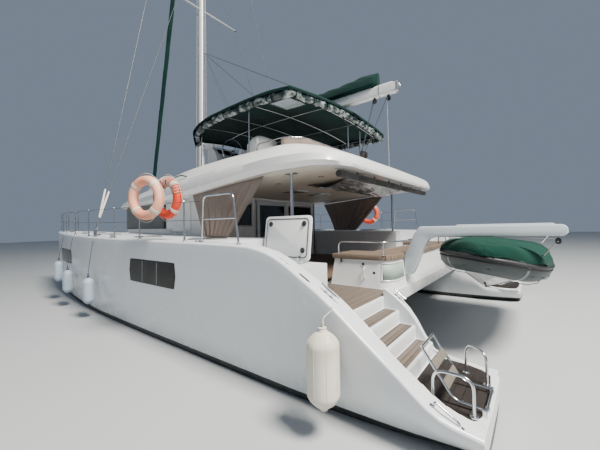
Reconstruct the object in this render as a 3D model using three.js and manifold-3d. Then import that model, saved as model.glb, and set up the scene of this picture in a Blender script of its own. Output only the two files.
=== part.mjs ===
import * as THREE from 'three';
import { mergeVertices } from 'three/addons/utils/BufferGeometryUtils.js';
import Module from 'manifold-3d';

// Cruising sailing catamaran, afloat, in millimetres: +X is forward, +Y is port, +Z is up.
// The origin is on the waterline, on the centreline, amidships.

// Driving dimensions of the hulls
const STERN_X = -6620;
const SOLE_Z = 960;
const BRIDGE_UNDERSIDE_Z = 740;
const HULL_INNER_Y = 2200;
const HULL_CENTRE_Y = 3020;
const PLATFORM_Z = 320;
const WELL_OUTER_Y = 3570;
const HATCH_DECK_Z = 1380;
const GAP = 0.4;

// Driving dimensions of the house and the rig
const SALOON_AFT_X = -1000;
const SALOON_SIDE_Y = 2130;
const WALL = 60;
const FLYBRIDGE_Z = 3330;
const MAST_X = 2330;
const MAST_FOOT_Z = 2960;
const MAST_TOP_Z = 20300;
const MAST_RAKE = 0.031;
const GOOSENECK_X = 2040;
const BOOM_END_X = -4720;

const wasm = await Module();
wasm.setup();

// Finishes: colour, roughness, metalness
const FINISH = {
  gelcoat: [0xe9ebee, 0.32, 0],
  deck: [0xe2e2de, 0.6, 0],
  antifouling: [0x16181b, 0.8, 0],
  glazing: [0x15181c, 0.12, 0],
  stainless: [0xc7cacd, 0.25, 1],
  aluminium: [0xb9bcbd, 0.4, 1],
  bronze: [0x9c7b45, 0.4, 1],
  canvas: [0x0e4a3c, 0.85, 0],
  curtain: [0x8f8178, 0.9, 0],
  roll: [0x3c3c3d, 0.9, 0],
  net: [0xd8d8d2, 0.9, 0],
  ringRed: [0xd8462c, 0.7, 0],
  ringFaded: [0xe59a7c, 0.7, 0],
  fenderWhite: [0xe6e1d4, 0.55, 0],
  fenderBlue: [0xaab8c4, 0.6, 0],
  tubeGrey: [0x7f868b, 0.65, 0],
};

const material = ([color, roughness, metalness]) => new THREE.MeshStandardMaterial({ color, roughness, metalness });

const catamaran = new THREE.Group();

// Places one named piece in the boat or in a group of it
function piece(name, geometry, finish, parent = catamaran) {
  const mesh = new THREE.Mesh(geometryOf(solid(geometry)), material(finish));
  mesh.name = name;
  parent.add(mesh);
  return mesh;
}

// Solid of a closed geometry, ready to join and cut
function solid(geometry) {
  const bare = geometry.clone();
  bare.deleteAttribute('normal');
  bare.deleteAttribute('uv');
  const merged = mergeVertices(bare, 1e-3);
  const triVerts = new Uint32Array(merged.index.array);
  const vertProperties = new Float32Array(merged.attributes.position.array);
  return new wasm.Manifold(new wasm.Mesh({ numProp: 3, vertProperties, triVerts }));
}

// Geometry of a joined or cut solid
function geometryOf(manifold) {
  const mesh = manifold.getMesh();
  const geometry = new THREE.BufferGeometry();
  geometry.setAttribute('position', new THREE.BufferAttribute(mesh.vertProperties, 3));
  geometry.setIndex(new THREE.BufferAttribute(mesh.triVerts, 1));
  return geometry;
}

const union = (parts) => geometryOf(parts.map(solid).reduce((whole, part) => whole.add(part)));

const cut = (whole, tools) => geometryOf(tools.map(solid).reduce((left, tool) => left.subtract(tool), solid(whole)));

// Block between two limits on each axis
function block([x0, x1], [y0, y1], [z0, z1]) {
  const geometry = new THREE.BoxGeometry(x1 - x0, y1 - y0, z1 - z0);
  return geometry.translate((x0 + x1) / 2, (y0 + y1) / 2, (z0 + z1) / 2);
}

// Closed skin through rings that all have the same number of points
function loft(rings) {
  const count = rings[0].length;
  const positions = rings.flat().flatMap((point) => [point.x, point.y, point.z]);
  const index = [];
  for (let ring = 0; ring < rings.length - 1; ring += 1) {
    for (let k = 0; k < count; k += 1) {
      const a = ring * count + k;
      const b = ring * count + ((k + 1) % count);
      index.push(a, b, a + count, b, b + count, a + count);
    }
  }
  const cap = (ring, forward) => {
    const flat = flatten(rings[ring]);
    const flip = THREE.ShapeUtils.area(flat) > 0 !== forward;
    const base = ring * count;
    for (const [a, b, c] of THREE.ShapeUtils.triangulateShape(flat, [])) {
      index.push(base + a, base + (flip ? c : b), base + (flip ? b : c));
    }
  };
  cap(0, false);
  cap(rings.length - 1, true);
  const geometry = new THREE.BufferGeometry();
  geometry.setAttribute('position', new THREE.Float32BufferAttribute(positions, 3));
  geometry.setIndex(index);
  return outward(geometry);
}

// A ring's points seen along the axis it spans least
function flatten(ring) {
  const box = new THREE.Box3().setFromPoints(ring);
  const span = box.getSize(new THREE.Vector3());
  if (span.x <= span.y && span.x <= span.z) return ring.map((p) => new THREE.Vector2(p.y, p.z));
  if (span.y <= span.z) return ring.map((p) => new THREE.Vector2(p.z, p.x));
  return ring.map((p) => new THREE.Vector2(p.x, p.y));
}

// Turns a closed skin's faces outward
function outward(geometry) {
  const at = geometry.attributes.position;
  const index = geometry.index.array;
  const [a, b, c] = [new THREE.Vector3(), new THREE.Vector3(), new THREE.Vector3()];
  let volume = 0;
  for (let k = 0; k < index.length; k += 3) {
    a.fromBufferAttribute(at, index[k]);
    b.fromBufferAttribute(at, index[k + 1]);
    c.fromBufferAttribute(at, index[k + 2]);
    volume += a.dot(b.cross(c));
  }
  if (volume < 0) {
    for (let k = 0; k < index.length; k += 3) [index[k + 1], index[k + 2]] = [index[k + 2], index[k + 1]];
  }
  return geometry;
}

// Round bar from one point to another, thinner at its far end where asked
function rod(from, to, radius, sides = 6, farRadius = radius) {
  const start = new THREE.Vector3(...from);
  const along = new THREE.Vector3(...to).sub(start);
  const geometry = new THREE.CylinderGeometry(farRadius, radius, along.length(), sides);
  geometry.translate(0, along.length() / 2, 0);
  const turn = new THREE.Quaternion().setFromUnitVectors(new THREE.Vector3(0, 1, 0), along.normalize());
  return geometry.applyQuaternion(turn).translate(start.x, start.y, start.z);
}

// Pipe along a run of straight lengths, mitred where they meet
function pipe(points, radius, sides = 6) {
  const at = points.map((point) => new THREE.Vector3(...point));
  const along = at.slice(1).map((point, k) => point.clone().sub(at[k]).normalize());
  const turn = new THREE.Quaternion().setFromUnitVectors(new THREE.Vector3(0, 0, 1), along[0]);
  const rings = [[]];
  for (let k = 0; k < sides; k += 1) {
    const angle = (2 * Math.PI * (k + 0.5)) / sides;
    const spoke = new THREE.Vector3(Math.cos(angle), Math.sin(angle), 0).multiplyScalar(radius);
    rings[0].push(spoke.applyQuaternion(turn).add(at[0]));
  }
  along.forEach((step, k) => {
    const normal = step.clone().add(along[k + 1] ?? step).normalize();
    const mitre = (point) => {
      const reach = normal.dot(at[k + 1].clone().sub(point)) / normal.dot(step);
      return point.clone().addScaledVector(step, reach);
    };
    rings.push(rings[k].map(mitre));
  });
  return loft(rings);
}

// Tube frame of several pipes that run into each other
const frame = (paths, radius, sides = 6) => union(paths.map((path) => pipe(path, radius, sides)));

// Bent round tube through the points of a smooth curve
function bentTube(points, radius, sides, steps) {
  const path = new THREE.CatmullRomCurve3(points.map((p) => new THREE.Vector3(...p)));
  const section = new THREE.Shape();
  section.absarc(0, 0, radius, 0, 2 * Math.PI);
  return new THREE.ExtrudeGeometry(section, { steps, curveSegments: sides, extrudePath: path });
}

// Plate of an outline in the XZ plane, between two limits of y
function sidePlate(outline, [y0, y1]) {
  const shape = new THREE.Shape(outline.map(([x, z]) => new THREE.Vector2(x, z)));
  const geometry = new THREE.ExtrudeGeometry(shape, { depth: y1 - y0, bevelEnabled: false });
  return geometry.rotateX(Math.PI / 2).translate(0, y1, 0);
}

// Plate of an outline in the XY plane, between two limits of z
function deckPlate(outline, [z0, z1], holes = []) {
  const shape = new THREE.Shape(outline.map(([x, y]) => new THREE.Vector2(x, y)));
  for (const hole of holes) shape.holes.push(new THREE.Path(hole.map(([x, y]) => new THREE.Vector2(x, y))));
  const geometry = new THREE.ExtrudeGeometry(shape, { depth: z1 - z0, bevelEnabled: false });
  return geometry.translate(0, 0, z0);
}

// Same outline on the other side of the centreline
const mirrored = (points, side) => points.map(([x, y, ...rest]) => [x, y * side, ...rest]);

const SIDES = [['port', 1], ['starboard', -1]];

// Hull stations of the port hull, from the stern to the stem
// x, sheer z outboard, sheer z inboard, deck y outboard, deck y inboard,
// waterline y outboard, waterline y inboard, bottom z
const STATIONS = [
  [STERN_X, 310, 310, 3740, 2520, 3580, 2640, 10],
  [-6330, 400, 330, 3800, 2430, 3610, 2540, -60],
  [-5960, 690, 375, 3830, 2330, 3650, 2470, -130],
  [-5620, 960, 820, 3845, 2260, 3670, 2430, -200],
  [-5290, 1215, 1060, 3850, HULL_INNER_Y, 3685, 2400, -260],
  [-4930, 1440, 1170, 3850, HULL_INNER_Y, 3695, 2370, -320],
  [-4710, 1565, 1290, 3850, HULL_INNER_Y, 3700, 2360, -350],
  [-4480, 1655, 1430, 3850, HULL_INNER_Y, 3700, 2350, -390],
  [-4150, 1710, 1600, 3850, HULL_INNER_Y, 3700, 2345, -430],
  [-3500, 1725, 1725, 3850, HULL_INNER_Y, 3700, 2340, -490],
  [-1500, 1740, 1740, 3850, HULL_INNER_Y, 3700, 2325, -590],
  [600, 1765, 1765, 3840, HULL_INNER_Y, 3680, 2330, -630],
  [2400, 1800, 1800, 3760, HULL_INNER_Y, 3580, 2410, -590],
  [3900, 1835, 1835, 3600, 2230, 3410, 2560, -490],
  [5200, 1870, 1870, 3360, 2450, 3190, 2720, -340],
  [6100, 1890, 1890, 3130, 2660, 3030, 2830, -180],
  [6520, 1900, 1900, 3010, 2780, 2960, 2880, -40],
  [6700, 1904, 1904, 2960, 2830, 2935, 2905, 620],
  [6790, 1906, 1906, 2935, 2860, 2922, 2900, 1400],
];

// One hull section: down the outer topside, round the bilge, up the inner side
function hullRing([x, outerZ, innerZ, outerY, innerY, outerWlY, innerWlY, bottomZ], side) {
  const centreY = (outerWlY + innerWlY) / 2;
  const half = (outerWlY - innerWlY) / 2;
  const boot = Math.max(100, bottomZ + 60);
  const shelf = Math.min(BRIDGE_UNDERSIDE_Z - 20, boot + 0.62 * (innerZ - boot));
  const section = [
    [outerY, outerZ],
    [THREE.MathUtils.lerp(outerWlY, outerY, 0.82), boot + 0.55 * (outerZ - boot)],
    [outerWlY, boot],
    [centreY + 0.84 * half, bottomZ + 0.55 * (boot - bottomZ)],
    [centreY + 0.5 * half, bottomZ + 0.16 * (boot - bottomZ)],
    [centreY, bottomZ],
    [centreY - 0.5 * half, bottomZ + 0.16 * (boot - bottomZ)],
    [centreY - 0.84 * half, bottomZ + 0.55 * (boot - bottomZ)],
    [innerWlY, boot],
    [innerY, shelf],
    [innerY, innerZ],
  ];
  return section.map(([y, z]) => new THREE.Vector3(x, side * y, z));
}

// Stern stairs: nosing x and tread z, from the landing down to the platform
const STAIRS = [
  [-5300, SOLE_Z],
  [-5510, 800],
  [-5715, 640],
  [-5920, 480],
];
const STAIR_INNER_Y = 2410;
const HATCH = { x: [-4235, -3365], y: [2730, 3350], depth: 560 };

// Everything that is cut out of a hull above its stairs, landing and hatch
function hullCuts(side) {
  const across = (from, to) => [Math.min(side * from, side * to), Math.max(side * from, side * to)];
  const up = 2500;
  const cuts = STAIRS.map(([x, z], step) => {
    const inner = step === 0 ? HULL_INNER_Y - 300 : STAIR_INNER_Y;
    const front = step === 0 ? -4500 : STAIRS[step - 1][0];
    return block([x, front + GAP], across(inner, WELL_OUTER_Y), [z, up]);
  });
  cuts.push(block([STERN_X - 100, STAIRS[3][0] + GAP], across(STAIR_INNER_Y - 300, WELL_OUTER_Y), [PLATFORM_Z, up]));
  cuts.push(block([-4501, -3780], across(HULL_INNER_Y - 300, 2560), [SOLE_Z, up]));
  cuts.push(block([-4501, -3250], across(2559, WELL_OUTER_Y), [HATCH_DECK_Z, up]));
  cuts.push(block(HATCH.x, across(...HATCH.y), [HATCH_DECK_Z - HATCH.depth, up]));
  return cuts;
}

// Stub keel sections: z, leading x, trailing x, half thickness
const KEEL = [
  [-420, 1500, -1500, 160],
  [-900, 1300, -1150, 140],
  [-1240, 1150, -950, 110],
  [-1300, 1080, -900, 80],
];

// Pointed oval of a fin, in a level plane
function foilRing([z, noseX, tailX, half], centreY) {
  const chord = noseX - tailX;
  const shape = [[1, 0], [0.93, 0.62], [0.7, 1], [0.35, 0.75], [0, 0.08], [0, -0.08], [0.35, -0.75], [0.7, -1], [0.93, -0.62]];
  return shape.map(([u, v]) => new THREE.Vector3(tailX + u * chord, centreY + v * half, z));
}

for (const [name, side] of SIDES) {
  const shell = loft(STATIONS.map((station) => hullRing(station, side)));
  const keel = loft(KEEL.map((row) => foilRing(row, side * HULL_CENTRE_Y)));
  const body = union([shell, keel]);
  piece(`hull_${name}`, cut(body, hullCuts(side)), FINISH.gelcoat);
}

// Bridge deck: cockpit sole, saloon sole and foredeck, between the two hulls
const DECK_AFT_X = -5320;
const FOREDECK_X = 4350;
const NACELLE = [
  [DECK_AFT_X, BRIDGE_UNDERSIDE_Z + 40],
  [3650, BRIDGE_UNDERSIDE_Z],
  [FOREDECK_X, 1300],
  [FOREDECK_X, 1740],
  [3860, 1760],
  [3800, SOLE_Z],
  [DECK_AFT_X, SOLE_Z],
];
piece('bridge_deck', sidePlate(NACELLE, [-HULL_INNER_Y + GAP, HULL_INNER_Y - GAP]), FINISH.deck);

// Saloon: upright walls with a round front, windows all round and the door aft
const FRONT_X = 3740;
const FRONT_CORNER_X = 2950;
const ROOF_CLEAR = 1;

// Plan of the saloon, grown outward by some distance, from the port aft corner round the front
function saloonPlan(grow, aftX = SALOON_AFT_X) {
  const half = SALOON_SIDE_Y + grow;
  const reach = FRONT_X - FRONT_CORNER_X + grow;
  const points = [[aftX, half]];
  const facets = 10;
  for (let k = 0; k <= facets; k += 1) {
    const angle = (Math.PI / 2) * (1 - (2 * k) / facets);
    const y = half * Math.sign(Math.sin(angle)) * Math.abs(Math.sin(angle)) ** 0.55;
    points.push([FRONT_CORNER_X + reach * Math.cos(angle) ** 0.8, y]);
  }
  points.push([aftX, -half]);
  return points;
}

// Underside of the hardtop and the house roof at a distance x from the origin
const UNDERSIDE = [
  [-4640, 2830],
  [-4150, 2890],
  [-3300, 2850],
  [-2300, 2770],
  [-1000, 2680],
  [600, 2640],
  [2600, 2600],
  [FRONT_X + 60, 2560],
];

function undersideZ(x) {
  const after = UNDERSIDE.findIndex(([rowX]) => rowX >= x);
  if (after === 0) return UNDERSIDE[0][1];
  if (after < 0) return UNDERSIDE.at(-1)[1];
  const [x0, z0] = UNDERSIDE[after - 1];
  const [x1, z1] = UNDERSIDE[after];
  return THREE.MathUtils.lerp(z0, z1, (x - x0) / (x1 - x0));
}

const WINDOW_Z = [1960, 2520];
const DOOR = { y: [-560, 560], z: [SOLE_Z + 30, 2560] };

// House roof and hardtop: x, half breadth, underside z at the edge, fascia top z, top z at the centre
const ROOF = [
  [-4700, 2200, 2845, 2950, 3030],
  [-4640, 2490, 2835, 2975, 3070],
  [-4500, 2640, 2835, 3015, 3130],
  [-4250, 2710, 2845, 3060, 3230],
  [-3500, 2760, 2835, 3120, 3370],
  [-2300, 2740, 2750, 3080, 3370],
  [-1000, 2720, 2640, 2980, 3330],
  [300, 2600, 2600, 2900, 3240],
  [1600, 2420, 2590, 2840, 3110],
  [2900, 2300, 2570, 2760, 2930],
  [3500, 2180, 2560, 2680, 2800],
  [3860, 1500, 2555, 2630, 2690],
];

const LIP = 90;
const CROWN_Y = 1065;

// One roof section, with rounded shoulders and a slight crown
function roofRing([x, half, edgeZ, fasciaZ, topZ]) {
  const inboard = undersideZ(x);
  const shoulder = half - 330;
  const right = [
    [half - LIP, edgeZ],
    [half, edgeZ + 0.35 * (fasciaZ - edgeZ)],
    [half - 60, fasciaZ],
    [shoulder, THREE.MathUtils.lerp(fasciaZ, topZ, 0.82)],
    [shoulder - 500, topZ],
  ];
  const ring = [];
  for (const [y, z] of right) ring.push([-y, z]);
  for (const [y, z] of [...right].reverse()) ring.push([y, z]);
  ring.push([CROWN_Y, inboard], [-CROWN_Y, inboard]);
  return ring.map(([y, z]) => new THREE.Vector3(x, y, z));
}

const roof = loft(ROOF.map(roofRing));
piece('coachroof', roof, FINISH.gelcoat);

// Cuts a piece that stands on the roof to the roof's top
const onRoof = (geometry) => cut(geometry, [roof.clone().translate(0, 0, GAP)]);

function saloonWalls() {
  const wallTop = 2900;
  const shell = deckPlate(saloonPlan(0), [SOLE_Z + GAP, wallTop]);
  const room = deckPlate(saloonPlan(-WALL, SALOON_AFT_X + WALL), [SOLE_Z + GAP + WALL, wallTop + 10]);
  // Window openings: x limits and y limits
  const openings = [
    [[850, 2750], [-2300, 2300]],
    [[3000, 4000], [-1750, -1080]],
    [[3000, 4000], [-960, 960]],
    [[3000, 4000], [1080, 1750]],
    [[-1200, -900], [-1900, -760]],
    [[-1200, -900], [760, 1900]],
  ];
  const tools = openings.map(([x, y]) => block(x, y, WINDOW_Z));
  tools.push(block([-1200, -900], DOOR.y, DOOR.z));
  const skyZ = 3500;
  tools.push(loft(ROOF.map(([x, half, edgeZ]) => {
    const [edgeY, crownY] = [half - LIP, CROWN_Y];
    const ring = [[-edgeY, edgeZ], [-edgeY, skyZ], [edgeY, skyZ], [edgeY, edgeZ]];
    ring.push([crownY, undersideZ(x)], [-crownY, undersideZ(x)]);
    return ring.map(([y, z]) => new THREE.Vector3(x, y, z - ROOF_CLEAR));
  })));
  return cut(cut(shell, [room]), tools);
}
piece('saloon_walls', saloonWalls(), FINISH.gelcoat);

// Wrap-round glazing, one band outside the window openings
function glazingBand() {
  const [inner, outer] = [GAP, 12];
  const aft = 800;
  const ring = [...saloonPlan(outer, aft), ...saloonPlan(inner, aft).reverse()];
  return deckPlate(ring, [WINDOW_Z[0] - 40, WINDOW_Z[1] + 40]);
}
piece('saloon_glazing', glazingBand(), FINISH.glazing);

// Sliding door in the saloon's aft bulkhead, with its pane
const LEAF = { x: [-1056, -1026], y: [-600, 600], z: [SOLE_Z + 14, 2600], stile: 90 };

function doorLeaf() {
  const pane = LEAF.stile;
  const hole = block([-1100, -1000], [LEAF.y[0] + pane, LEAF.y[1] - pane], [LEAF.z[0] + 2 * pane, LEAF.z[1] - pane]);
  return cut(block(LEAF.x, LEAF.y, LEAF.z), [hole]);
}
piece('saloon_door', doorLeaf(), FINISH.aluminium);
const PANE_INSET = LEAF.stile + GAP;
const doorPane = block(
  [-1046, -1036],
  [LEAF.y[0] + PANE_INSET, LEAF.y[1] - PANE_INSET],
  [LEAF.z[0] + LEAF.stile + PANE_INSET, LEAF.z[1] - PANE_INSET],
);
piece('saloon_door_pane', doorPane, FINISH.glazing);

// Flybridge: low coaming with a helm console forward and a helm seat
function flybridge() {
  const inRoof = 3120;
  const coamingTop = FLYBRIDGE_Z + 150;
  const rim = (grow) => {
    const half = [[-3290 - grow, 1430 + grow], [-3060 - grow / 2, 1740 + grow], [-300, 1640 + grow], [120 + grow, 1280 + grow / 2]];
    return [...half, ...mirrored(half, -1).reverse()];
  };
  const coaming = deckPlate(rim(90), [inRoof, coamingTop], [rim(0).reverse()]);
  const sole = deckPlate(rim(10), [inRoof, FLYBRIDGE_Z + 60]);
  const console = block([-560, -170], [640, 1500], [inRoof, FLYBRIDGE_Z + 660]);
  const foot = block([-180, 160], [640, 1100], [inRoof, coamingTop]);
  const seat = block([-1950, -1420], [560, 1540], [inRoof, FLYBRIDGE_Z + 430]);
  const back = block([-1950, -1850], [560, 1540], [inRoof, FLYBRIDGE_Z + 730]);
  const lounge = block([-3300, -2700], [-1500, 1000], [inRoof, FLYBRIDGE_Z + 300]);
  return onRoof(union([coaming, sole, console, foot, seat, back, lounge]));
}
piece('flybridge_moulding', flybridge(), FINISH.gelcoat);

// Steering wheel on the console's aft face, facing the seat
const WHEEL = { x: -680, y: 1070, z: FLYBRIDGE_Z + 560, radius: 340 };
function steeringWheel() {
  const rimRing = new THREE.TorusGeometry(WHEEL.radius, 14, 6, 20);
  const spokes = [0, 1, 2].map((k) => {
    const angle = (k * 2 * Math.PI) / 3;
    return rod([0, 0, 0], [WHEEL.radius * Math.cos(angle), WHEEL.radius * Math.sin(angle), 0], 9, 6);
  });
  const hub = new THREE.CylinderGeometry(45, 45, 40, 12).rotateX(Math.PI / 2);
  const shaft = rod([0, 0, 0], [0, 0, 115], 16, 8);
  return union([rimRing, hub, shaft, ...spokes]).rotateY(Math.PI / 2);
}
piece('steering_wheel', steeringWheel(), FINISH.stainless).position.set(WHEEL.x, WHEEL.y, WHEEL.z);

// Bimini canopy: x, half breadth, edge z, centre z, depth in the middle
const CANOPY = [
  [-3630, 1780, 4430, 4550, 190],
  [-3470, 2110, 4465, 4580, 190],
  [-3455, 2120, 4465, 4582, 40],
  [-2700, 2190, 4480, 4600, 40],
  [-1200, 2120, 4470, 4610, 40],
  [-100, 1860, 4410, 4560, 40],
  [400, 1450, 4330, 4450, 40],
];
const CANOPY_THICK = 40;

// Curtains rolled up under the canopy's edge
const ROLL = { breadth: 150, depth: 190 };

// Half breadth, edge z and centre z of the canopy at a distance x from the origin
function canopyRow(x) {
  const after = Math.max(1, CANOPY.findIndex(([rowX]) => rowX >= x));
  const [low, high] = [CANOPY[after - 1], CANOPY[after]];
  const t = (x - low[0]) / (high[0] - low[0]);
  return low.slice(1, 4).map((value, column) => THREE.MathUtils.lerp(value, high[column + 1], t));
}

// Top of a canopy row, its centre z less its crown
const crowned = (half, edge, centre, y) => centre - (centre - edge) * (y / half) ** 2;

function canopyRing([x, half, edge, centre, depth]) {
  const steps = 6;
  const ring = [];
  for (let k = 0; k <= steps; k += 1) {
    const y = (-1 + (2 * k) / steps) * half;
    ring.push([y, crowned(half, edge, centre, y)]);
  }
  const inside = half - ROLL.breadth;
  const under = [inside - 1, 0.4 * inside].map((y) => [y, crowned(half, edge, centre, y) - depth]);
  const right = [[half, edge - ROLL.depth], [inside, edge - ROLL.depth], ...under];
  ring.push(...right, ...right.map(([y, z]) => [-y, z]).reverse());
  return ring.map(([y, z]) => new THREE.Vector3(x, y, z));
}
piece('bimini_canopy', loft(CANOPY.map(canopyRing)), FINISH.canvas);

// Bimini frame: posts, side rails and bows just under the canopy
function biminiFrame() {
  const tube = 16;
  const [under, aside] = [18, 25];
  const at = (x, y) => [x, y, crowned(...canopyRow(x), y) - CANOPY_THICK - tube - under];
  const railY = (x) => canopyRow(x)[0] - ROLL.breadth - tube - aside;
  const bowX = [-3300, -2350, -1400, -500];
  const bows = bowX.map((x) => [-railY(x), -800, 800, railY(x)].map((y) => at(x, y)));
  const rails = [1, -1].map((side) => [-3300, -2350, -1400, -500, 0].map((x) => at(x, side * railY(x))));
  const rootZ = 3200;
  // x and y of each post's foot
  const feet = [[-2300, 2020], [-300, 1790]];
  const posts = [1, -1].flatMap((side) => {
    return feet.map(([x, y]) => [[x, side * y, rootZ], at(x, side * railY(x))]);
  });
  const aft = [-100, -720].map((y) => [[-3440, y, rootZ], [-3440, y, 4340], at(-3300, y)]);
  return onRoof(frame([...bows, ...rails, ...posts, ...aft], tube));
}
piece('bimini_frame', biminiFrame(), FINISH.stainless);

// Rail round the aft end of the flybridge coaming, with a weather cloth outside it
const RAIL_TUBE = 12;
const FLY_RAIL = [[-2250, 1730], [-3070, 1785], [-3335, 1455], [-3335, -1455], [-3070, -1785], [-2250, -1730]];
function flybridgeRail() {
  const [foot, top] = [FLYBRIDGE_Z + 150 + 12, FLYBRIDGE_Z + 360];
  const hoop = FLY_RAIL.map(([x, y]) => [x, y, top]);
  const stanchions = [...FLY_RAIL, [-3335, 480], [-3335, -480]].map(([x, y]) => [[x, y, foot], [x, y, top]]);
  return frame([hoop, ...stanchions], RAIL_TUBE);
}
piece('flybridge_rail', flybridgeRail(), FINISH.stainless);

function weatherCloth() {
  const line = [[-3000, 1822], [-3090, 1830], [-3370, 1480], [-3370, -1480], [-3090, -1830], [-3000, -1822]];
  const outer = line.map(([x, y]) => [x - 12, y + 8 * Math.sign(y)]);
  return deckPlate([...line, ...outer.reverse()], [FLYBRIDGE_Z + 165, FLYBRIDGE_Z + 340]);
}
piece('weather_cloth', weatherCloth(), FINISH.curtain);

// Mast with spreaders, masthead crane and gooseneck lugs
const mastX = (z) => MAST_X - (z - MAST_FOOT_Z) * MAST_RAKE;
const SPREADERS = [[9450, 1330], [14600, 1150]];
const GOOSENECK_Z = 4730;
const BOOM_RISE = 0.0148;
const boomAxisZ = (x) => GOOSENECK_Z + (GOOSENECK_X - x) * BOOM_RISE;
const PIN_Z = boomAxisZ(GOOSENECK_X);

function mast() {
  const tube = new THREE.CylinderGeometry(1, 1, MAST_TOP_Z - MAST_FOOT_Z, 12).rotateX(Math.PI / 2);
  tube.scale(130, 88, 1).translate(0, 0, (MAST_TOP_Z + MAST_FOOT_Z) / 2);
  const shear = new THREE.Matrix4().makeShear(0, 0, 0, 0, -MAST_RAKE, 0);
  tube.applyMatrix4(shear).translate(MAST_X + MAST_FOOT_Z * MAST_RAKE, 0, 0);
  const arms = SPREADERS.flatMap(([z, reach]) => {
    return [1, -1].map((side) => rod([mastX(z), 0, z], [mastX(z) - 220, side * reach, z - 150], 38, 6, 24));
  });
  const crane = block([mastX(MAST_TOP_Z) - 330, mastX(MAST_TOP_Z) + 190], [-30, 30], [MAST_TOP_Z - 90, MAST_TOP_Z + 60]);
  const lugs = [-75, 75].map((up) => {
    return block([GOOSENECK_X - 30, mastX(PIN_Z)], [-34, 34], [PIN_Z + up - 12, PIN_Z + up + 12]);
  });
  const bore = rod([GOOSENECK_X, 0, PIN_Z - 200], [GOOSENECK_X, 0, PIN_Z + 200], 15, 12);
  return onRoof(cut(union([tube, ...arms, crane, ...lugs]), [bore]));
}
piece('mast', mast(), FINISH.aluminium);

// Boom with its toggle and gooseneck pin, and the stacked mainsail in its cover on top
function boom() {
  const tube = new THREE.CylinderGeometry(1, 1, GOOSENECK_X - 60 - BOOM_END_X, 10).rotateZ(Math.PI / 2);
  const middle = (GOOSENECK_X - 60 + BOOM_END_X) / 2;
  tube.scale(1, 78, 125).rotateY(Math.atan(BOOM_RISE)).translate(middle, 0, boomAxisZ(middle));
  const toggle = block([GOOSENECK_X - 120, GOOSENECK_X + 26], [-28, 28], [PIN_Z - 56, PIN_Z + 56]);
  const pin = rod([GOOSENECK_X, 0, PIN_Z - 100], [GOOSENECK_X, 0, PIN_Z + 100], 12, 10);
  return union([tube, toggle, pin]);
}
piece('boom', boom(), FINISH.aluminium);

// Stacked sail: x, half width, height over the boom's top
const STACK = [
  [1840, 60, 430],
  [1500, 125, 400],
  [200, 150, 300],
  [-1500, 150, 250],
  [-2900, 150, 250],
  [-4150, 140, 300],
  [-4270, 70, 290],
];
function stackRing([x, half, height]) {
  const base = boomAxisZ(x) + 125 + 3;
  const ring = [[-half * 0.7, 0], [-half, 0.35 * height], [-half * 0.45, 0.9 * height], [0, height]];
  const full = [...ring, ...ring.slice(0, 3).map(([y, z]) => [-y, z]).reverse()];
  return full.map(([y, z]) => new THREE.Vector3(x, y, base + z));
}
piece('sail_cover', loft(STACK.map(stackRing)), FINISH.canvas);

// Forward crossbeam, trampoline and the furled headsail on its stay
const BEAM = { x: 6170, z: 1740, radius: 90, halfSpan: 2645 };
function crossbeam() {
  const tube = rod([BEAM.x, -BEAM.halfSpan, BEAM.z], [BEAM.x, BEAM.halfSpan, BEAM.z], BEAM.radius, 12);
  const strut = rod([BEAM.x, 0, BEAM.z - 60], [BEAM.x, 0, BEAM.z - 420], 30, 8);
  const stays = [1, -1].map((side) => rod([BEAM.x, 0, BEAM.z - 400], [BEAM.x, side * 2560, BEAM.z - 20], 9, 6));
  const plate = block([BEAM.x - 90, BEAM.x + 60], [-12, 12], [BEAM.z + 40, BEAM.z + 210]);
  return union([tube, strut, ...stays, plate]);
}
piece('crossbeam', crossbeam(), FINISH.aluminium);

const NET = [[FOREDECK_X + 20, 2290], [5200, 2435], [6050, 2615]];
const netOutline = [...NET, ...mirrored(NET, -1).reverse()];
piece('trampoline', deckPlate(netOutline, [1705, 1717]), FINISH.net);

const STAY_TOP_Z = 18200;
function furledSail() {
  const start = new THREE.Vector3(BEAM.x - 15, 0, BEAM.z + 214);
  const end = new THREE.Vector3(mastX(STAY_TOP_Z) + 142, 0, STAY_TOP_Z);
  const at = (t) => start.clone().lerp(end, t).toArray();
  const stay = rod(at(0), at(1), 9, 6);
  const drum = rod(at(0.012), at(0.03), 95, 12);
  const roll = rod(at(0.045), at(0.5), 62, 8, 82);
  const rollTop = rod(at(0.499), at(0.965), 82, 8, 40);
  return union([stay, drum, roll, rollTop]);
}
piece('furled_headsail', furledSail(), FINISH.canvas);

// Shrouds of one side: cap and lower shroud from one chainplate
const CHAINPLATE = { x: 1050, y: 3700, z: 1783, half: [75, 14], height: 140 };
// x of the wire's foot from the chainplate's middle, and z of its top
const SHROUDS = [[-45, 17900], [45, 11900]];
for (const [name, side] of SIDES) {
  const [x, y, z] = [CHAINPLATE.x, side * CHAINPLATE.y, CHAINPLATE.z];
  const [halfX, halfY] = CHAINPLATE.half;
  const wires = SHROUDS.map(([aside, topZ]) => rod([x + aside, y, z + 70], [mastX(topZ) - 20, side * 98, topZ], 9, 6));
  const plate = block([x - halfX, x + halfX], [y - halfY, y + halfY], [z, z + CHAINPLATE.height]);
  piece(`shrouds_${name}`, union([...wires, plate]), FINISH.stainless);
}

// Height of the deck edge at a distance x from the origin
function deckZ(x) {
  const after = STATIONS.findIndex(([rowX]) => rowX >= x);
  const [x0, z0] = STATIONS[after - 1];
  const [x1, z1] = STATIONS[after];
  return THREE.MathUtils.lerp(z0, z1, (x - x0) / (x1 - x0));
}
const FOOT_CLEAR = 4;
const footZ = (x) => deckZ(x) + FOOT_CLEAR;

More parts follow.
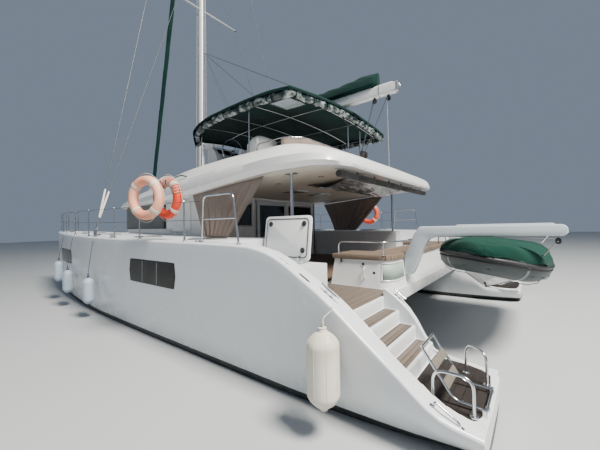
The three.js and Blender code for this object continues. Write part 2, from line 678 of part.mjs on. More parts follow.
// Pulpit on one bow: posts, top rail and middle rail
const PULPIT = [[5500, 3150], [6250, 3010], [6560, 2900], [6250, 2800], [5700, 2680]];
function pulpit(side) {
  const level = (up) => PULPIT.map(([x, y]) => [x, side * y, deckZ(x) + up]);
  const posts = PULPIT.map(([x, y]) => [[x, side * y, footZ(x)], [x, side * y, deckZ(x) + 640]]);
  return frame([level(640), level(330), ...posts], 14);
}

// Side rail: x of each stanchion, and its y at the deck edge
const STANCHIONS = [[5200, 3220], [3900, 3490], [2500, 3670], [1300, 3750], [-160, 3760], [-1250, 3760], [-2710, 3760]];
function sideRail(side) {
  const level = (up) => STANCHIONS.map(([x, y]) => [x, side * y, deckZ(x) + up]);
  const posts = STANCHIONS.map(([x, y]) => [[x, side * y, footZ(x)], [x, side * y, deckZ(x) + 610]]);
  const lines = [600, 320].map((up) => pipe(level(up), 6));
  return union([...lines, ...posts.map((post) => pipe(post, 13))]);
}

// Gate hoop at the aft end of the side deck
function gateHoop(side) {
  const y = side * 3740;
  const top = 2390;
  const [foreX, aftX] = [-3120, -3920];
  const hoop = [[foreX, y, footZ(foreX)], [foreX - 60, y, top], [aftX + 90, y, top], [aftX, y, footZ(aftX)]];
  const middle = [[foreX - 30, y, 2060], [aftX + 45, y, 2060]];
  return frame([hoop, middle], 13);
}

for (const [name, side] of SIDES) {
  piece(`pulpit_${name}`, pulpit(side), FINISH.stainless);
  piece(`side_rail_${name}`, sideRail(side), FINISH.stainless);
  piece(`gate_hoop_${name}`, gateHoop(side), FINISH.stainless);
}

// Life rings: name, centre, yaw from facing port, finish
const RINGS = [
  ['life_ring_outboard', [-1925, 3955, 2440], 16, FINISH.ringFaded],
  ['life_ring_inboard', [-1930, 3590, 2458], 5, FINISH.ringRed],
  ['life_ring_starboard', [-2300, -3640, 2300], 0, FINISH.ringRed],
];
for (const [name, centre, yaw, finish] of RINGS) {
  const ring = new THREE.TorusGeometry(285, 78, 8, 20).rotateX(Math.PI / 2);
  ring.rotateZ(THREE.MathUtils.degToRad(yaw));
  piece(name, ring, finish).position.set(...centre);
}

// Cockpit: bench with a lower seat between its ends, and the two posts under the hardtop
const BENCH_AFT_X = -5290;
const BENCH_TOP_Z = 1470;
// Half of the bench's outline, from its fore corner aft
const BENCH = [[-4240, 2040], [-5060, 2040], [-5190, 1990], [-5265, 1890], [BENCH_AFT_X, 1770]];
function bench() {
  const whole = deckPlate([...BENCH, ...mirrored(BENCH, -1).reverse()], [SOLE_Z + GAP, BENCH_TOP_Z]);
  return cut(whole, [block([-4780, -4000], [-1350, 1350], [1360, 1600])]);
}
piece('cockpit_bench', bench(), FINISH.gelcoat);

for (const [name, side] of SIDES) {
  const post = rod([-3640, side * 2300, deckZ(-3640) + 2], [-3640, side * 2300, 2836], 30, 10);
  piece(`cockpit_post_${name}`, post, FINISH.stainless);
}

// Side curtains of the cockpit, tied back to a narrow foot, and the curtain rolled up aft
const CURTAIN = [[-1120, 2600], [-1500, 1750], [-2320, 1750], [-3240, 2790]];
for (const [name, side] of SIDES) {
  const y = [2560, 2590].map((value) => value * side).sort((a, b) => a - b);
  piece(`side_curtain_${name}`, sidePlate(CURTAIN, y), FINISH.curtain);
}
piece('rolled_curtain', rod([-4500, -2420, 2755], [-4500, 2180, 2755], 60, 10), FINISH.roll);

// Davits on the aft face of the bench
const DAVIT_Y = 1400;
const DAVIT = [
  [BENCH_AFT_X - GAP, 1130],
  [BENCH_AFT_X - GAP, 1440],
  [-5420, 1780],
  [-5500, 1890],
  [-7210, 1900],
  [-7255, 1860],
  [-7255, 1790],
  [-7210, 1755],
  [-5740, 1735],
  [-5640, 1690],
  [-5560, 1540],
  [-5430, 1215],
  [-5380, 1130],
];
for (const [name, side] of SIDES) {
  const y = [DAVIT_Y - 65, DAVIT_Y + 65].map((value) => value * side).sort((a, b) => a - b);
  piece(`davit_${name}`, sidePlate(DAVIT, y), FINISH.gelcoat);
}

// Tender hung athwartships under the davits, bow to port and heeled aft
const tender = new THREE.Group();
tender.position.set(-6380, 110, 1315);
tender.rotation.set(0, THREE.MathUtils.degToRad(-8), Math.PI / 2, 'YXZ');
catamaran.add(tender);
const TUBE_R = 200;
const TUBE_PATH = [
  [-1560, -540, 0],
  [-500, -560, 0],
  [500, -545, 20],
  [1150, -400, 70],
  [1450, 0, 120],
  [1150, 400, 70],
  [500, 545, 20],
  [-500, 560, 0],
  [-1560, 540, 0],
];
piece('tender_tube', bentTube(TUBE_PATH, TUBE_R, 10, 26), FINISH.tubeGrey, tender);

// Rigid bottom of the tender: x, half beam of its deck, deck z, half beam of its chine, chine z, keel z
const TENDER_BOTTOM = [
  [-1480, 320, -60, 400, -250, -390],
  [0, 320, -60, 400, -240, -420],
  [800, 260, -40, 320, -205, -360],
  [1130, 90, -30, 110, -150, -240],
];
function tenderRing([x, half, deckLevel, chine, chineZ, keelZ]) {
  const ring = [[-half, deckLevel], [-chine, chineZ], [0, keelZ], [chine, chineZ], [half, deckLevel]];
  return ring.map(([y, z]) => new THREE.Vector3(x, y, z));
}
const tenderClear = bentTube(TUBE_PATH, TUBE_R + 4, 10, 26);
piece('tender_hull', cut(loft(TENDER_BOTTOM.map(tenderRing)), [tenderClear]), FINISH.gelcoat, tender);

// Cover lashed over the tender: x, half breadth, skirt z, crown z
const COVER = [
  [-1540, 800, 10, 275],
  [-500, 805, 10, 280],
  [600, 795, 20, 300],
  [1150, 700, 70, 345],
  [1450, 440, 100, 370],
  [1600, 250, 110, 345],
  [1690, 120, 120, 280],
];
// Shares of the half breadth and of the height over the skirt
const COVER_PROFILE = [[1, 0], [0.93, 0.53], [0.8, 0.81], [0.62, 0.95], [0.25, 1]];
function coverRing([x, half, skirt, crown]) {
  const ring = COVER_PROFILE.map(([across, up]) => [-across * half, skirt + up * (crown - skirt)]);
  const full = [...ring, ...ring.map(([y, z]) => [-y, z]).reverse()];
  return full.map(([y, z]) => new THREE.Vector3(x, y, z));
}
piece('tender_cover', cut(loft(COVER.map(coverRing)), [tenderClear]), FINISH.canvas, tender);

// Fenders hung along the port side: name, centre, radius, length, finish
const FENDERS = [
  ['fender_quarter', [-5400, 4050, 640], 150, 680, FINISH.fenderWhite],
  ['fender_bow_aft', [710, 3965, 620], 108, 560, FINISH.fenderBlue],
  ['fender_bow_middle', [2300, 3905, 660], 108, 560, FINISH.fenderBlue],
  ['fender_bow_forward', [3350, 3820, 820], 108, 560, FINISH.fenderBlue],
];
for (const [name, centre, radius, length, finish] of FENDERS) {
  // Half profile: radius and height, as shares of the radius and of the length
  const profile = [[0, -0.5], [0.3, -0.5], [0.8, -0.42], [1, -0.3], [1, 0.3], [0.8, 0.42], [0.3, 0.5], [0.3, 0.56], [0, 0.56]];
  const points = profile.map(([r, h]) => new THREE.Vector2(r * radius, h * length));
  const fender = new THREE.LatheGeometry(points, 10).rotateX(Math.PI / 2);
  piece(name, fender, finish).position.set(...centre);
}

// Under the hulls: saildrive legs, propellers and rudders
const DRIVE = { x: -4400, y: 3025, z: -800, bladeR: 225 };
const RUDDER_Y = 3050;
const RUDDER_STOCK_X = -5560;
// z, leading x, trailing x, half thickness
const LEG = [
  [-430, -4270, -4510, 45],
  [DRIVE.z, -4300, -4480, 36],
];
const BLADE = [
  [-290, -5440, -5900, 34],
  [-900, -5460, -5880, 28],
  [-1160, -5520, -5840, 16],
];
function saildrive(side) {
  const y = side * DRIVE.y;
  const leg = loft(LEG.map((row) => foilRing(row, y)));
  const bulb = rod([-4230, y, DRIVE.z], [-4540, y, DRIVE.z], 62, 10, 50);
  return union([leg, bulb]);
}
function propeller() {
  const hub = new THREE.CylinderGeometry(50, 34, 100, 12).rotateZ(-Math.PI / 2);
  const blades = [0, 1, 2].map((k) => {
    const blade = new THREE.BoxGeometry(14, 92, DRIVE.bladeR - 30).rotateZ(0.5);
    return blade.translate(0, 0, (DRIVE.bladeR + 30) / 2).rotateX((k * 2 * Math.PI) / 3);
  });
  return union([hub, ...blades]);
}
for (const [name, side] of SIDES) {
  piece(`saildrive_${name}`, saildrive(side), FINISH.antifouling);
  piece(`propeller_${name}`, propeller(), FINISH.bronze).position.set(-4600, side * DRIVE.y, DRIVE.z);
  const blade = loft(BLADE.map((row) => foilRing(row, side * RUDDER_Y)));
  const stock = rod([RUDDER_STOCK_X, side * RUDDER_Y, -330], [RUDDER_STOCK_X, side * RUDDER_Y, -236], 24, 10);
  piece(`rudder_${name}`, union([blade, stock]), FINISH.antifouling);
}

// Engine hatch lids: the port one stands open, the starboard one is shut
const LID = { length: 950, width: 700, thick: 38, hingeY: 2690, hingeZ: HATCH_DECK_Z + 24 };
const LID_OPEN = THREE.MathUtils.degToRad(98);
function hatchLid(side) {
  const corner = 60;
  const [x1, y1] = [LID.length / 2, LID.width];
  const outline = [[-x1, 0], [x1, 0], [x1, y1 - corner], [x1 - corner, y1], [-x1 + corner, y1], [-x1, y1 - corner]];
  const plate = deckPlate(mirrored(outline, side), [-16, -16 + LID.thick]);
  return plate;
}
for (const [name, side, angle] of [['port', 1, LID_OPEN], ['starboard', -1, 0]]) {
  const lid = piece(`hatch_lid_${name}`, hatchLid(side), FINISH.gelcoat);
  lid.position.set((HATCH.x[0] + HATCH.x[1]) / 2, side * LID.hingeY, LID.hingeZ);
  lid.rotation.x = angle;
}

// Boarding ladder folded on the port platform: flat run from its hinge, then up
const LADDER = { x: -6598, z: 364, y: [3000, 3400], knee: 250, rise: [520, 420] };
function ladder() {
  const stiles = LADDER.y.map((y) => {
    return [[0, y, 0], [LADDER.knee, y, 14], [LADDER.rise[0], y, LADDER.rise[1]]];
  });
  const bars = [[0, LADDER.y], [1, LADDER.y]].map(([end, [near, far]]) => {
    const [x, z] = end ? LADDER.rise : [0, 0];
    return [[x, near, z], [x, far, z]];
  });
  const treads = [0.25, 0.62].map((share) => {
    const x = THREE.MathUtils.lerp(LADDER.knee, LADDER.rise[0], share);
    const z = THREE.MathUtils.lerp(14, LADDER.rise[1], share);
    return block([x - 12, x + 12], LADDER.y, [z - 38, z + 38]);
  });
  return union([frame([...stiles, ...bars], 12.5), ...treads]);
}
piece('boarding_ladder', ladder(), FINISH.stainless).position.set(LADDER.x, 0, LADDER.z);

// Grab hoops on the port platform: name, fore and aft feet, height
const HOOPS = [
  ['grab_hoop_inner', [-6330, 2700], [-6540, 2860], 330],
  ['grab_hoop_outer', [-6200, 3500], [-6520, 3500], 330],
];
for (const [name, [x0, y0], [x1, y1], height] of HOOPS) {
  const footLevel = PLATFORM_Z + FOOT_CLEAR;
  const top = PLATFORM_Z + height;
  const [dx, dy] = [(x1 - x0) * 0.12, (y1 - y0) * 0.12];
  const path = [[x0, y0, footLevel], [x0, y0, top - 60], [x0 + dx, y0 + dy, top], [x1 - dx, y1 - dy, top]];
  path.push([x1, y1, top - 60], [x1, y1, footLevel]);
  piece(name, frame([path], 14), FINISH.stainless);
}

export default catamaran;
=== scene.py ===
"""Looks of a cruising sailing catamaran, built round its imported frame.

Metres throughout: +X is forward, +Y is to port, +Z is up, and the waterline is z = 0.
"""

import logging
import math
import random
from collections.abc import Iterable, Sequence
from dataclasses import dataclass
from enum import Enum
from functools import cache
from typing import NamedTuple, Self

import bmesh
import bpy
import numpy as np
from mathutils import Matrix, Vector


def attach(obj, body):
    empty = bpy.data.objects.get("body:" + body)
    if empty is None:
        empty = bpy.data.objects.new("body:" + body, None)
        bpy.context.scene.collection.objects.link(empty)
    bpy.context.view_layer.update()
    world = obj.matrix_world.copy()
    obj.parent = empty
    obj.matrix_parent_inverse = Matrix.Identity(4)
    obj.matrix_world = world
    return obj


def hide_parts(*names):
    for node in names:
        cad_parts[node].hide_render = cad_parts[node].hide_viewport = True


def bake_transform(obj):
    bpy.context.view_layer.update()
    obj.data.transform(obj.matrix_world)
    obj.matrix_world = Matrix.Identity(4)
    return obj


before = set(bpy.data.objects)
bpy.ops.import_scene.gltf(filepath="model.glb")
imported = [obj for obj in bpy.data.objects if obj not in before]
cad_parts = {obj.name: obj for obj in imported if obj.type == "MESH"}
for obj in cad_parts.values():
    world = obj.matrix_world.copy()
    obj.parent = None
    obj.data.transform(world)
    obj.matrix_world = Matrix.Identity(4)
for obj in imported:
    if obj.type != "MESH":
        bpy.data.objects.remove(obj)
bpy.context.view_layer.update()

log = logging.getLogger("catamaran")

Point = Sequence[float]
Colour = tuple[float, float, float]
Spot = tuple[float, float, float]
Pairs = tuple[tuple[float, float], ...]
Rows = tuple[tuple[float, ...], ...]
SIDES = (("port", 1.0), ("starboard", -1.0))
HULL_BODY = "boat"
SHARP_EDGE = math.radians(32)


# Shader kit


class Wire:
    """A node socket that takes part in arithmetic and adds the Math nodes that this needs."""

    def __init__(self, sheet: "NodeSheet", socket: bpy.types.NodeSocket) -> None:
        """Keeps the socket and the sheet that it is on."""
        self.sheet = sheet
        self.socket = socket

    def __add__(self, other: "Value") -> "Wire":
        """Sum."""
        return self.sheet.math("ADD", self, other)

    __radd__ = __add__

    def __sub__(self, other: "Value") -> "Wire":
        """Difference."""
        return self.sheet.math("SUBTRACT", self, other)

    def __rsub__(self, other: "Value") -> "Wire":
        """Difference with the sides changed over."""
        return self.sheet.math("SUBTRACT", other, self)

    def __mul__(self, other: "Value") -> "Wire":
        """Product."""
        return self.sheet.math("MULTIPLY", self, other)

    __rmul__ = __mul__

    def __truediv__(self, other: "Value") -> "Wire":
        """Quotient."""
        return self.sheet.math("DIVIDE", self, other)

    def __pow__(self, other: "Value") -> "Wire":
        """Power."""
        return self.sheet.math("POWER", self, other)

    def __gt__(self, other: "Value") -> "Wire":
        """1 where the value is greater, 0 elsewhere."""
        return self.sheet.math("GREATER_THAN", self, other)

    def __lt__(self, other: "Value") -> "Wire":
        """1 where the value is smaller, 0 elsewhere."""
        return self.sheet.math("LESS_THAN", self, other)

    def __abs__(self) -> "Wire":
        """Value without its sign."""
        return self.sheet.math("ABSOLUTE", self, 0.0)

    def floor(self) -> "Wire":
        """Whole number below."""
        return self.sheet.math("FLOOR", self, 0.0)

    def fract(self) -> "Wire":
        """Part after the point."""
        return self.sheet.math("FRACT", self, 0.0)

    def sine(self) -> "Wire":
        """Sine of the value in radians."""
        return self.sheet.math("SINE", self, 0.0)

    def ramp(self, low: float, high: float) -> "Wire":
        """0 at low, 1 at high, straight between and level beyond."""
        return self.sheet.math("MULTIPLY", self - low, 1.0 / (high - low), clamp=True)


Value = Wire | float


class NodeSheet:
    """The node tree of one material, with short calls that add to it."""

    def __init__(self, name: str) -> None:
        """Starts a material that holds one Principled shader."""
        self.material = bpy.data.materials.new(name)
        self.material.use_nodes = True
        self.tree = self.material.node_tree
        self.shader = self.tree.nodes["Principled BSDF"]

    def put(self, socket: bpy.types.NodeSocket, value: object) -> None:
        """Links a wire to a socket, or sets the socket to a plain value."""
        if isinstance(value, Wire):
            self.tree.links.new(value.socket, socket)
        else:
            socket.default_value = value

    def node(self, kind: str, settings: dict | None = None, inputs: dict | None = None) -> bpy.types.Node:
        """Adds a node.

        Args:
            kind: the node's type.
            settings: what is set on the node first, such as its operation.
            inputs: values or wires by the socket's name or number.

        Returns:
            The node.
        """
        node = self.tree.nodes.new(kind)
        for key, value in (settings or {}).items():
            setattr(node, key, value)
        for key, value in (inputs or {}).items():
            self.put(node.inputs[key], value)
        return node

    def math(self, operation: str, a: Value, b: Value, clamp: bool = False) -> Wire:
        """Adds a Math node for one operation on two values."""
        made = self.node("ShaderNodeMath", {"operation": operation, "use_clamp": clamp}, {0: a, 1: b})
        return Wire(self, made.outputs[0])

    def place(self) -> Wire:
        """Position on the piece, in the boat's frame."""
        return Wire(self, self.node("ShaderNodeTexCoord").outputs["Object"])

    def axes(self) -> tuple[Wire, Wire, Wire]:
        """Position along X, Y and Z."""
        split = self.node("ShaderNodeSeparateXYZ", inputs={0: self.place()})
        return Wire(self, split.outputs[0]), Wire(self, split.outputs[1]), Wire(self, split.outputs[2])

    def uv(self) -> tuple[Wire, Wire]:
        """The piece's own UV map: round and along, in metres."""
        split = self.node("ShaderNodeSeparateXYZ",
                          inputs={0: Wire(self, self.node("ShaderNodeUVMap").outputs[0])})
        return Wire(self, split.outputs[0]), Wire(self, split.outputs[1])

    def facing_up(self) -> Wire:
        """1 where the surface looks up, 0 on its sides."""
        normal = Wire(self, self.node("ShaderNodeNewGeometry").outputs["Normal"])
        split = self.node("ShaderNodeSeparateXYZ", inputs={0: normal})
        return Wire(self, split.outputs[2])

    def noise(self, scale: float, detail: float = 3.0, stretch: Point = (1, 1, 1)) -> Wire:
        """Soft random value about 0.5.

        Args:
            scale: how many blotches a metre holds.
            detail: how many finer layers lie over it.
            stretch: a factor on the scale along each axis.

        Returns:
            The value's wire.
        """
        mapped = self.node("ShaderNodeMapping", inputs={"Vector": self.place(), "Scale": tuple(stretch)})
        made = self.node(
            "ShaderNodeTexNoise",
            inputs={"Vector": Wire(self, mapped.outputs[0]), "Scale": scale, "Detail": detail},
        )
        return Wire(self, made.outputs["Fac"])

    def cells(self, scale: float) -> Wire:
        """Distance to the middle of small irregular cells."""
        made = self.node("ShaderNodeTexVoronoi", inputs={"Vector": self.place(), "Scale": scale})
        return Wire(self, made.outputs["Distance"])

    def random_of(self, index: Wire) -> Wire:
        """A random value for each whole number."""
        made = self.node("ShaderNodeTexWhiteNoise", {"noise_dimensions": "1D"}, {"W": index})
        return Wire(self, made.outputs["Value"])

    def blend(self, share: Value, low: Colour | Wire, high: Colour | Wire) -> Wire:
        """Colour between two others."""
        made = self.node("ShaderNodeMix", {"data_type": "RGBA"})
        for number, value in ((0, share), (6, low), (7, high)):
            plain = (*value, 1.0) if isinstance(value, tuple) else value
            self.put(made.inputs[number], plain)
        return Wire(self, made.outputs[2])

    def surface(self, colour: Colour | Wire, roughness: Value, metallic: float = 0.0) -> None:
        """Sets the colour, the roughness and the metallic share of the shader."""
        self.put(self.shader.inputs["Base Color"], (*colour, 1.0) if isinstance(colour, tuple) else colour)
        self.put(self.shader.inputs["Roughness"], roughness)
        self.put(self.shader.inputs["Metallic"], metallic)

    def fixed(self, **values: float) -> None:
        """Sets shader sockets that are the same all over; an underscore stands for a space."""
        for name, value in values.items():
            self.shader.inputs[name.replace("_", " ")].default_value = value

    def bump(self, height: Wire, depth: float) -> None:
        """Raises the surface by a height of 0 to 1, to a depth in metres."""
        made = self.node("ShaderNodeBump", inputs={"Height": height, "Distance": depth, "Strength": 1.0})
        self.tree.links.new(made.outputs[0], self.shader.inputs["Normal"])


# Finishes


class Axis(Enum):
    """The direction in which planks or a weave run."""

    X = 0
    Y = 1


@dataclass(frozen=True)
class Gelcoat:
    """White moulded gelcoat with faint chalking, streaks and a fine grip on level places."""

    name: str
    tint: Colour
    slot: str = "gelcoat"
    grip: bool = False
    bottom: bool = False
    boot_z: float = 0.1
    scum_z: float = 0.34

    def dress(self, sheet: NodeSheet) -> None:
        """Adds the finish to a sheet."""
        _, _, z = sheet.axes()
        chalk = sheet.noise(0.9, 4).ramp(0.3, 0.75)
        streaks = sheet.noise(7, 3, (1, 1, 0.12)).ramp(0.52, 0.8)
        worn = tuple(0.86 * c for c in self.tint)
        colour = sheet.blend(chalk * 0.35 + streaks * 0.3, self.tint, worn)
        rough = sheet.noise(3.0, 2) * 0.12 + 0.2
        height = sheet.noise(260, 2) * 0.12
        if self.grip:
            level = sheet.facing_up().ramp(0.93, 0.985)
            trodden = tuple(0.9 * c for c in self.tint)
            colour = sheet.blend(level * (sheet.noise(2.2, 4).ramp(0.35, 0.7) * 0.5 + 0.35), colour, trodden)
            rough = rough + level * 0.3
            height = height + level * sheet.cells(120)
        if self.bottom:
            wet = 1 - z.ramp(self.boot_z, self.scum_z)
            scum = wet * sheet.noise(5, 4, (1, 1, 0.4)).ramp(0.35, 0.75)
            colour = sheet.blend(scum * 0.35, colour, (0.45, 0.43, 0.33))
            edge = z + (sheet.noise(14, 2) - 0.5) * 0.006
            painted = edge < self.boot_z
            slime = sheet.noise(11, 4).ramp(0.4, 0.7)
            paint = sheet.blend(slime, (0.012, 0.013, 0.016), (0.03, 0.034, 0.032))
            colour = sheet.blend(painted, colour, paint)
            rough = rough + painted * 0.42
            height = height + painted * sheet.noise(60, 3) * 0.6
        sheet.surface(colour, rough)
        sheet.fixed(Coat_Weight=0.25, Coat_Roughness=0.12)
        sheet.bump(height, 0.0006)


@dataclass(frozen=True)
class Teak:
    """Weathered teak planks with dark caulked seams."""

    name: str
    light: Colour
    dark: Colour
    along: Axis = Axis.Y
    width: float = 0.058
    seam: float = 0.007
    slot: str | None = None

    def dress(self, sheet: NodeSheet) -> None:
        """Adds the finish to a sheet."""
        x, y, _ = sheet.axes()
        across, stretch = (x, (14, 1, 14)) if self.along is Axis.Y else (y, (1, 14, 14))
        index = (across / self.width).floor()
        within = (across / self.width).fract()
        seam = within < self.seam / self.width
        tone = sheet.random_of(index)
        grain = sheet.noise(16, 5, stretch).ramp(0.32, 0.7)
        plank = sheet.blend(grain * 0.6 + tone * 0.4, self.dark, self.light)
        grey = sheet.noise(1.7, 4).ramp(0.4, 0.75)
        aged = sheet.blend(grey * 0.45, plank,
                           tuple(0.8 * (a + b) / 2 for a, b in zip(self.light, self.dark)))
        sheet.surface(sheet.blend(seam, aged, (0.012, 0.011, 0.011)), 0.66 - seam * 0.2 - grain * 0.12)
        sheet.fixed(Specular_IOR_Level=0.2)
        sheet.bump((1 - seam) * (0.7 + grain * 0.3), 0.0022)


@dataclass(frozen=True)
class Metal:
    """Polished, brushed or anodised metal with fine marks."""

    name: str
    tint: Colour
    rough: float
    slot: str
    streak: Point = (1, 1, 1)
    metallic: float = 1.0

    def dress(self, sheet: NodeSheet) -> None:
        """Adds the finish to a sheet."""
        smudge = sheet.noise(9, 4).ramp(0.35, 0.8)
        lines = sheet.noise(180, 2, self.streak)
        dull = tuple(0.72 * c for c in self.tint)
        sheet.surface(sheet.blend(smudge * 0.5, self.tint, dull), smudge * 0.14 + lines * 0.08 + self.rough,
                      self.metallic)
        sheet.bump(lines, 0.0002)


@dataclass(frozen=True)
class Glass:
    """Dark tinted glazing with a faint film of salt."""

    name: str
    tint: Colour
    alpha: float = 1.0
    film: float = 0.1
    coat: float = 0.5
    gloss: float = 0.5
    slot: str | None = "glazing"

    def dress(self, sheet: NodeSheet) -> None:
        """Adds the finish to a sheet."""
        salt = sheet.noise(4, 5).ramp(0.42, 0.8)
        pale = tuple(min(1.0, c + self.film) for c in self.tint)
        sheet.surface(sheet.blend(salt, self.tint, pale), salt * 0.12 + 0.05)
        sheet.fixed(Alpha=self.alpha, IOR=1.5, Coat_Weight=self.coat, Coat_Roughness=0.04,
                    Specular_IOR_Level=self.gloss)
        sheet.bump(sheet.noise(2.2, 1), 0.0015)


@dataclass(frozen=True)
class Canvas:
    """Woven cloth that is faded in patches, with its threads as relief."""

    name: str
    tint: Colour
    faded: Colour
    slot: str
    thread: float = 0.0025
    crease: float = 0.006
    sheen: float = 0.2
    alpha: float = 1.0

    def dress(self, sheet: NodeSheet) -> None:
        """Adds the finish to a sheet."""
        x, y, z = sheet.axes()
        turn = math.tau / self.thread
        weave = ((x + z * 0.6) * turn).sine() * ((y + z * 0.6) * turn).sine() * 0.5 + 0.5
        patches = sheet.noise(1.6, 5).ramp(0.35, 0.72)
        dust = sheet.noise(26, 4).ramp(0.5, 0.85)
        colour = sheet.blend(patches * 0.6 + dust * 0.25, self.tint, self.faded)
        folds = sheet.noise(3.2, 3, (1, 1, 2.2))
        sheet.surface(colour, 0.94 - patches * 0.08)
        sheet.fixed(Sheen_Weight=self.sheen, Sheen_Roughness=0.5, Specular_IOR_Level=0.15, Alpha=self.alpha)
        sheet.bump(folds * 0.8 + weave * 0.2 * (self.thread / 0.0025), self.crease)


@dataclass(frozen=True)
class Moulded:
    """Plastic, rubber or vinyl, matt or with a soft gloss, with scuffs."""

    name: str
    tint: Colour
    worn: Colour
    rough: float = 0.5
    relief: float = 0.0004
    slot: str | None = None
    patch: float = 6.0

    def dress(self, sheet: NodeSheet) -> None:
        """Adds the finish to a sheet."""
        scuffs = sheet.noise(self.patch, 5).ramp(0.42, 0.78)
        grain = sheet.noise(90, 3)
        sheet.surface(sheet.blend(scuffs, self.tint, self.worn), self.rough + scuffs * 0.12 + grain * 0.06)
        sheet.bump(grain, self.relief)


@dataclass(frozen=True)
class ClearVinyl:
    """Clear curtain rolled or folded away: crumpled and shiny, dark, with painted highlights on its folds."""

    name: str
    dark: Colour
    painted_highlight: Colour
    stretch: Point = (1, 1, 1.7)
    slot: str | None = None

    def dress(self, sheet: NodeSheet) -> None:
        """Adds the finish to a sheet."""
        folds = sheet.noise(6.5, 5, self.stretch)
        # Raised folds turn to the painted highlight colour.
        painted_highlight = folds.ramp(0.48, 0.66)
        sheet.surface(sheet.blend(painted_highlight, self.dark, self.painted_highlight), folds * 0.3 + 0.06)
        sheet.fixed(Coat_Weight=0.6, Coat_Roughness=0.08)
        sheet.bump(folds, 0.05)


@dataclass(frozen=True)
class Rope:
    """Laid or braided rope, its strands turning along the piece's UV map, with painted shade in the grooves
    between strands.
    """

    name: str
    tint: Colour
    dark: Colour
    pitch: float = 0.03
    slot: str | None = None

    def dress(self, sheet: NodeSheet) -> None:
        """Adds the finish to a sheet."""
        round_it, along = sheet.uv()
        strand_height_and_shade = abs((round_it * 3 + along / self.pitch).fract() - 0.5) * 2
        fuzz = sheet.noise(70, 4).ramp(0.3, 0.8)
        # The grooves between the strands are painted darker: painted shade.
        sheet.surface(sheet.blend(strand_height_and_shade * 0.7 + fuzz * 0.3, self.dark, self.tint), 0.85)
        sheet.bump(strand_height_and_shade, 0.002)


Finish = Gelcoat | Teak | Metal | Glass | Canvas | Moulded | ClearVinyl | Rope

HULL_WHITE = Gelcoat("gelcoat_hull", (0.74, 0.77, 0.8), bottom=True, grip=True)
WHITE = Gelcoat("gelcoat_house", (0.78, 0.79, 0.79))
DECK_WHITE = Gelcoat("gelcoat_deck", (0.72, 0.73, 0.71), slot="deck_gelcoat", grip=True)
DAVIT_GREY = Gelcoat("gelcoat_davit", (0.52, 0.57, 0.61))
# The headliner's warm, dark cream is partly painted shade under the hardtop.
WARM_SHADED_CREAM = Moulded("cream_headliner_warm_shade", (0.56, 0.51, 0.44), (0.5, 0.455, 0.39), 0.5, 0.0003, "gelcoat", 0.9)
TEAK_TREAD = Teak("teak_treads", (0.2, 0.16, 0.13), (0.085, 0.064, 0.052))
# The platform's teak is wet teak, painted far darker than the treads as painted shade.
TEAK_WET_SHADED = Teak("teak_platform", (0.034, 0.027, 0.025), (0.014, 0.011, 0.01), width=0.09)
TEAK_SOLE = Teak("teak_sole", (0.22, 0.15, 0.11), (0.09, 0.055, 0.04), along=Axis.X)
TEAK_CAP = Teak("teak_cap", (0.25, 0.19, 0.145), (0.135, 0.097, 0.072), along=Axis.X, width=0.06)
TEAK_SLAT = Teak("teak_slat", (0.33, 0.23, 0.16), (0.18, 0.115, 0.075), width=0.5)
STAINLESS = Metal("stainless", (0.66, 0.67, 0.68), 0.1, "stainless")
WIRE = Metal("stainless_wire", (0.14, 0.145, 0.15), 0.4, "stainless")
ALLOY = Metal("anodised_alloy", (0.5, 0.51, 0.52), 0.32, "aluminium", (1, 1, 0.05))
MAST_GREY = Metal("painted_mast", (0.7, 0.71, 0.72), 0.36, "aluminium", (1, 1, 0.05), 0.25)
BOOM_GREY = Metal("painted_boom", (0.62, 0.64, 0.65), 0.36, "aluminium", (0.05, 1, 1), 0.2)
BRONZE = Metal("bronze", (0.36, 0.24, 0.1), 0.3, "bronze")
BOTTOM_PAINT = Moulded("bottom_paint", (0.014, 0.015, 0.018), (0.035, 0.04, 0.036), 0.75, 0.0012,
                       "antifouling")
DARK_GLASS = Glass("dark_glazing", (0.01, 0.011, 0.012), film=0.02, coat=0.0, gloss=0.18)
TINTED_GLASS = Glass("tinted_glazing", (0.02, 0.025, 0.028), alpha=0.85, film=0.04, coat=0.2, gloss=0.35)
CLEAR_PANEL = Glass("clear_panel", (0.5, 0.56, 0.58), alpha=0.35, slot=None)
GREEN = Canvas("green_canvas", (0.0015, 0.018, 0.0155), (0.005, 0.032, 0.028), "canvas_green", sheen=0.04)
TENDER_GREEN = Canvas("green_cover", (0.003, 0.034, 0.023), (0.009, 0.055, 0.04), "canvas_green",
                      crease=0.004, sheen=0.05)
TAN = Canvas("tan_mesh", (0.25, 0.2, 0.17), (0.33, 0.27, 0.235), "canvas_tan", 0.005, alpha=0.88)
SCREEN = Canvas("grey_mesh", (0.12, 0.125, 0.13), (0.18, 0.185, 0.19), "canvas_tan", 0.005, 0.002)
CHARCOAL = Canvas("charcoal_cloth", (0.04, 0.04, 0.042), (0.09, 0.088, 0.086), "canvas_grey")
NET = Moulded("netting", (0.6, 0.6, 0.56), (0.42, 0.42, 0.4), 0.8, slot="net_white")
RING_RED = Moulded("ring_red", (0.62, 0.045, 0.012), (0.55, 0.16, 0.1), 0.6, 0.0012, "ring_red", 4)
RING_FADED = Moulded("ring_faded", (0.8, 0.33, 0.2), (0.86, 0.52, 0.4), 0.6, 0.0012, "ring_faded", 4)
FENDER_WHITE = Moulded("fender_white", (0.74, 0.7, 0.6), (0.5, 0.45, 0.36), 0.42, 0.0008, "fender_white", 2.2)
FENDER_BLUE = Moulded("fender_blue", (0.36, 0.45, 0.53), (0.22, 0.27, 0.31), 0.45, 0.0008, "fender_blue", 3)
FENDER_NAVY = Moulded("fender_navy", (0.01, 0.02, 0.09), (0.03, 0.05, 0.12), 0.4, slot="fender_blue")
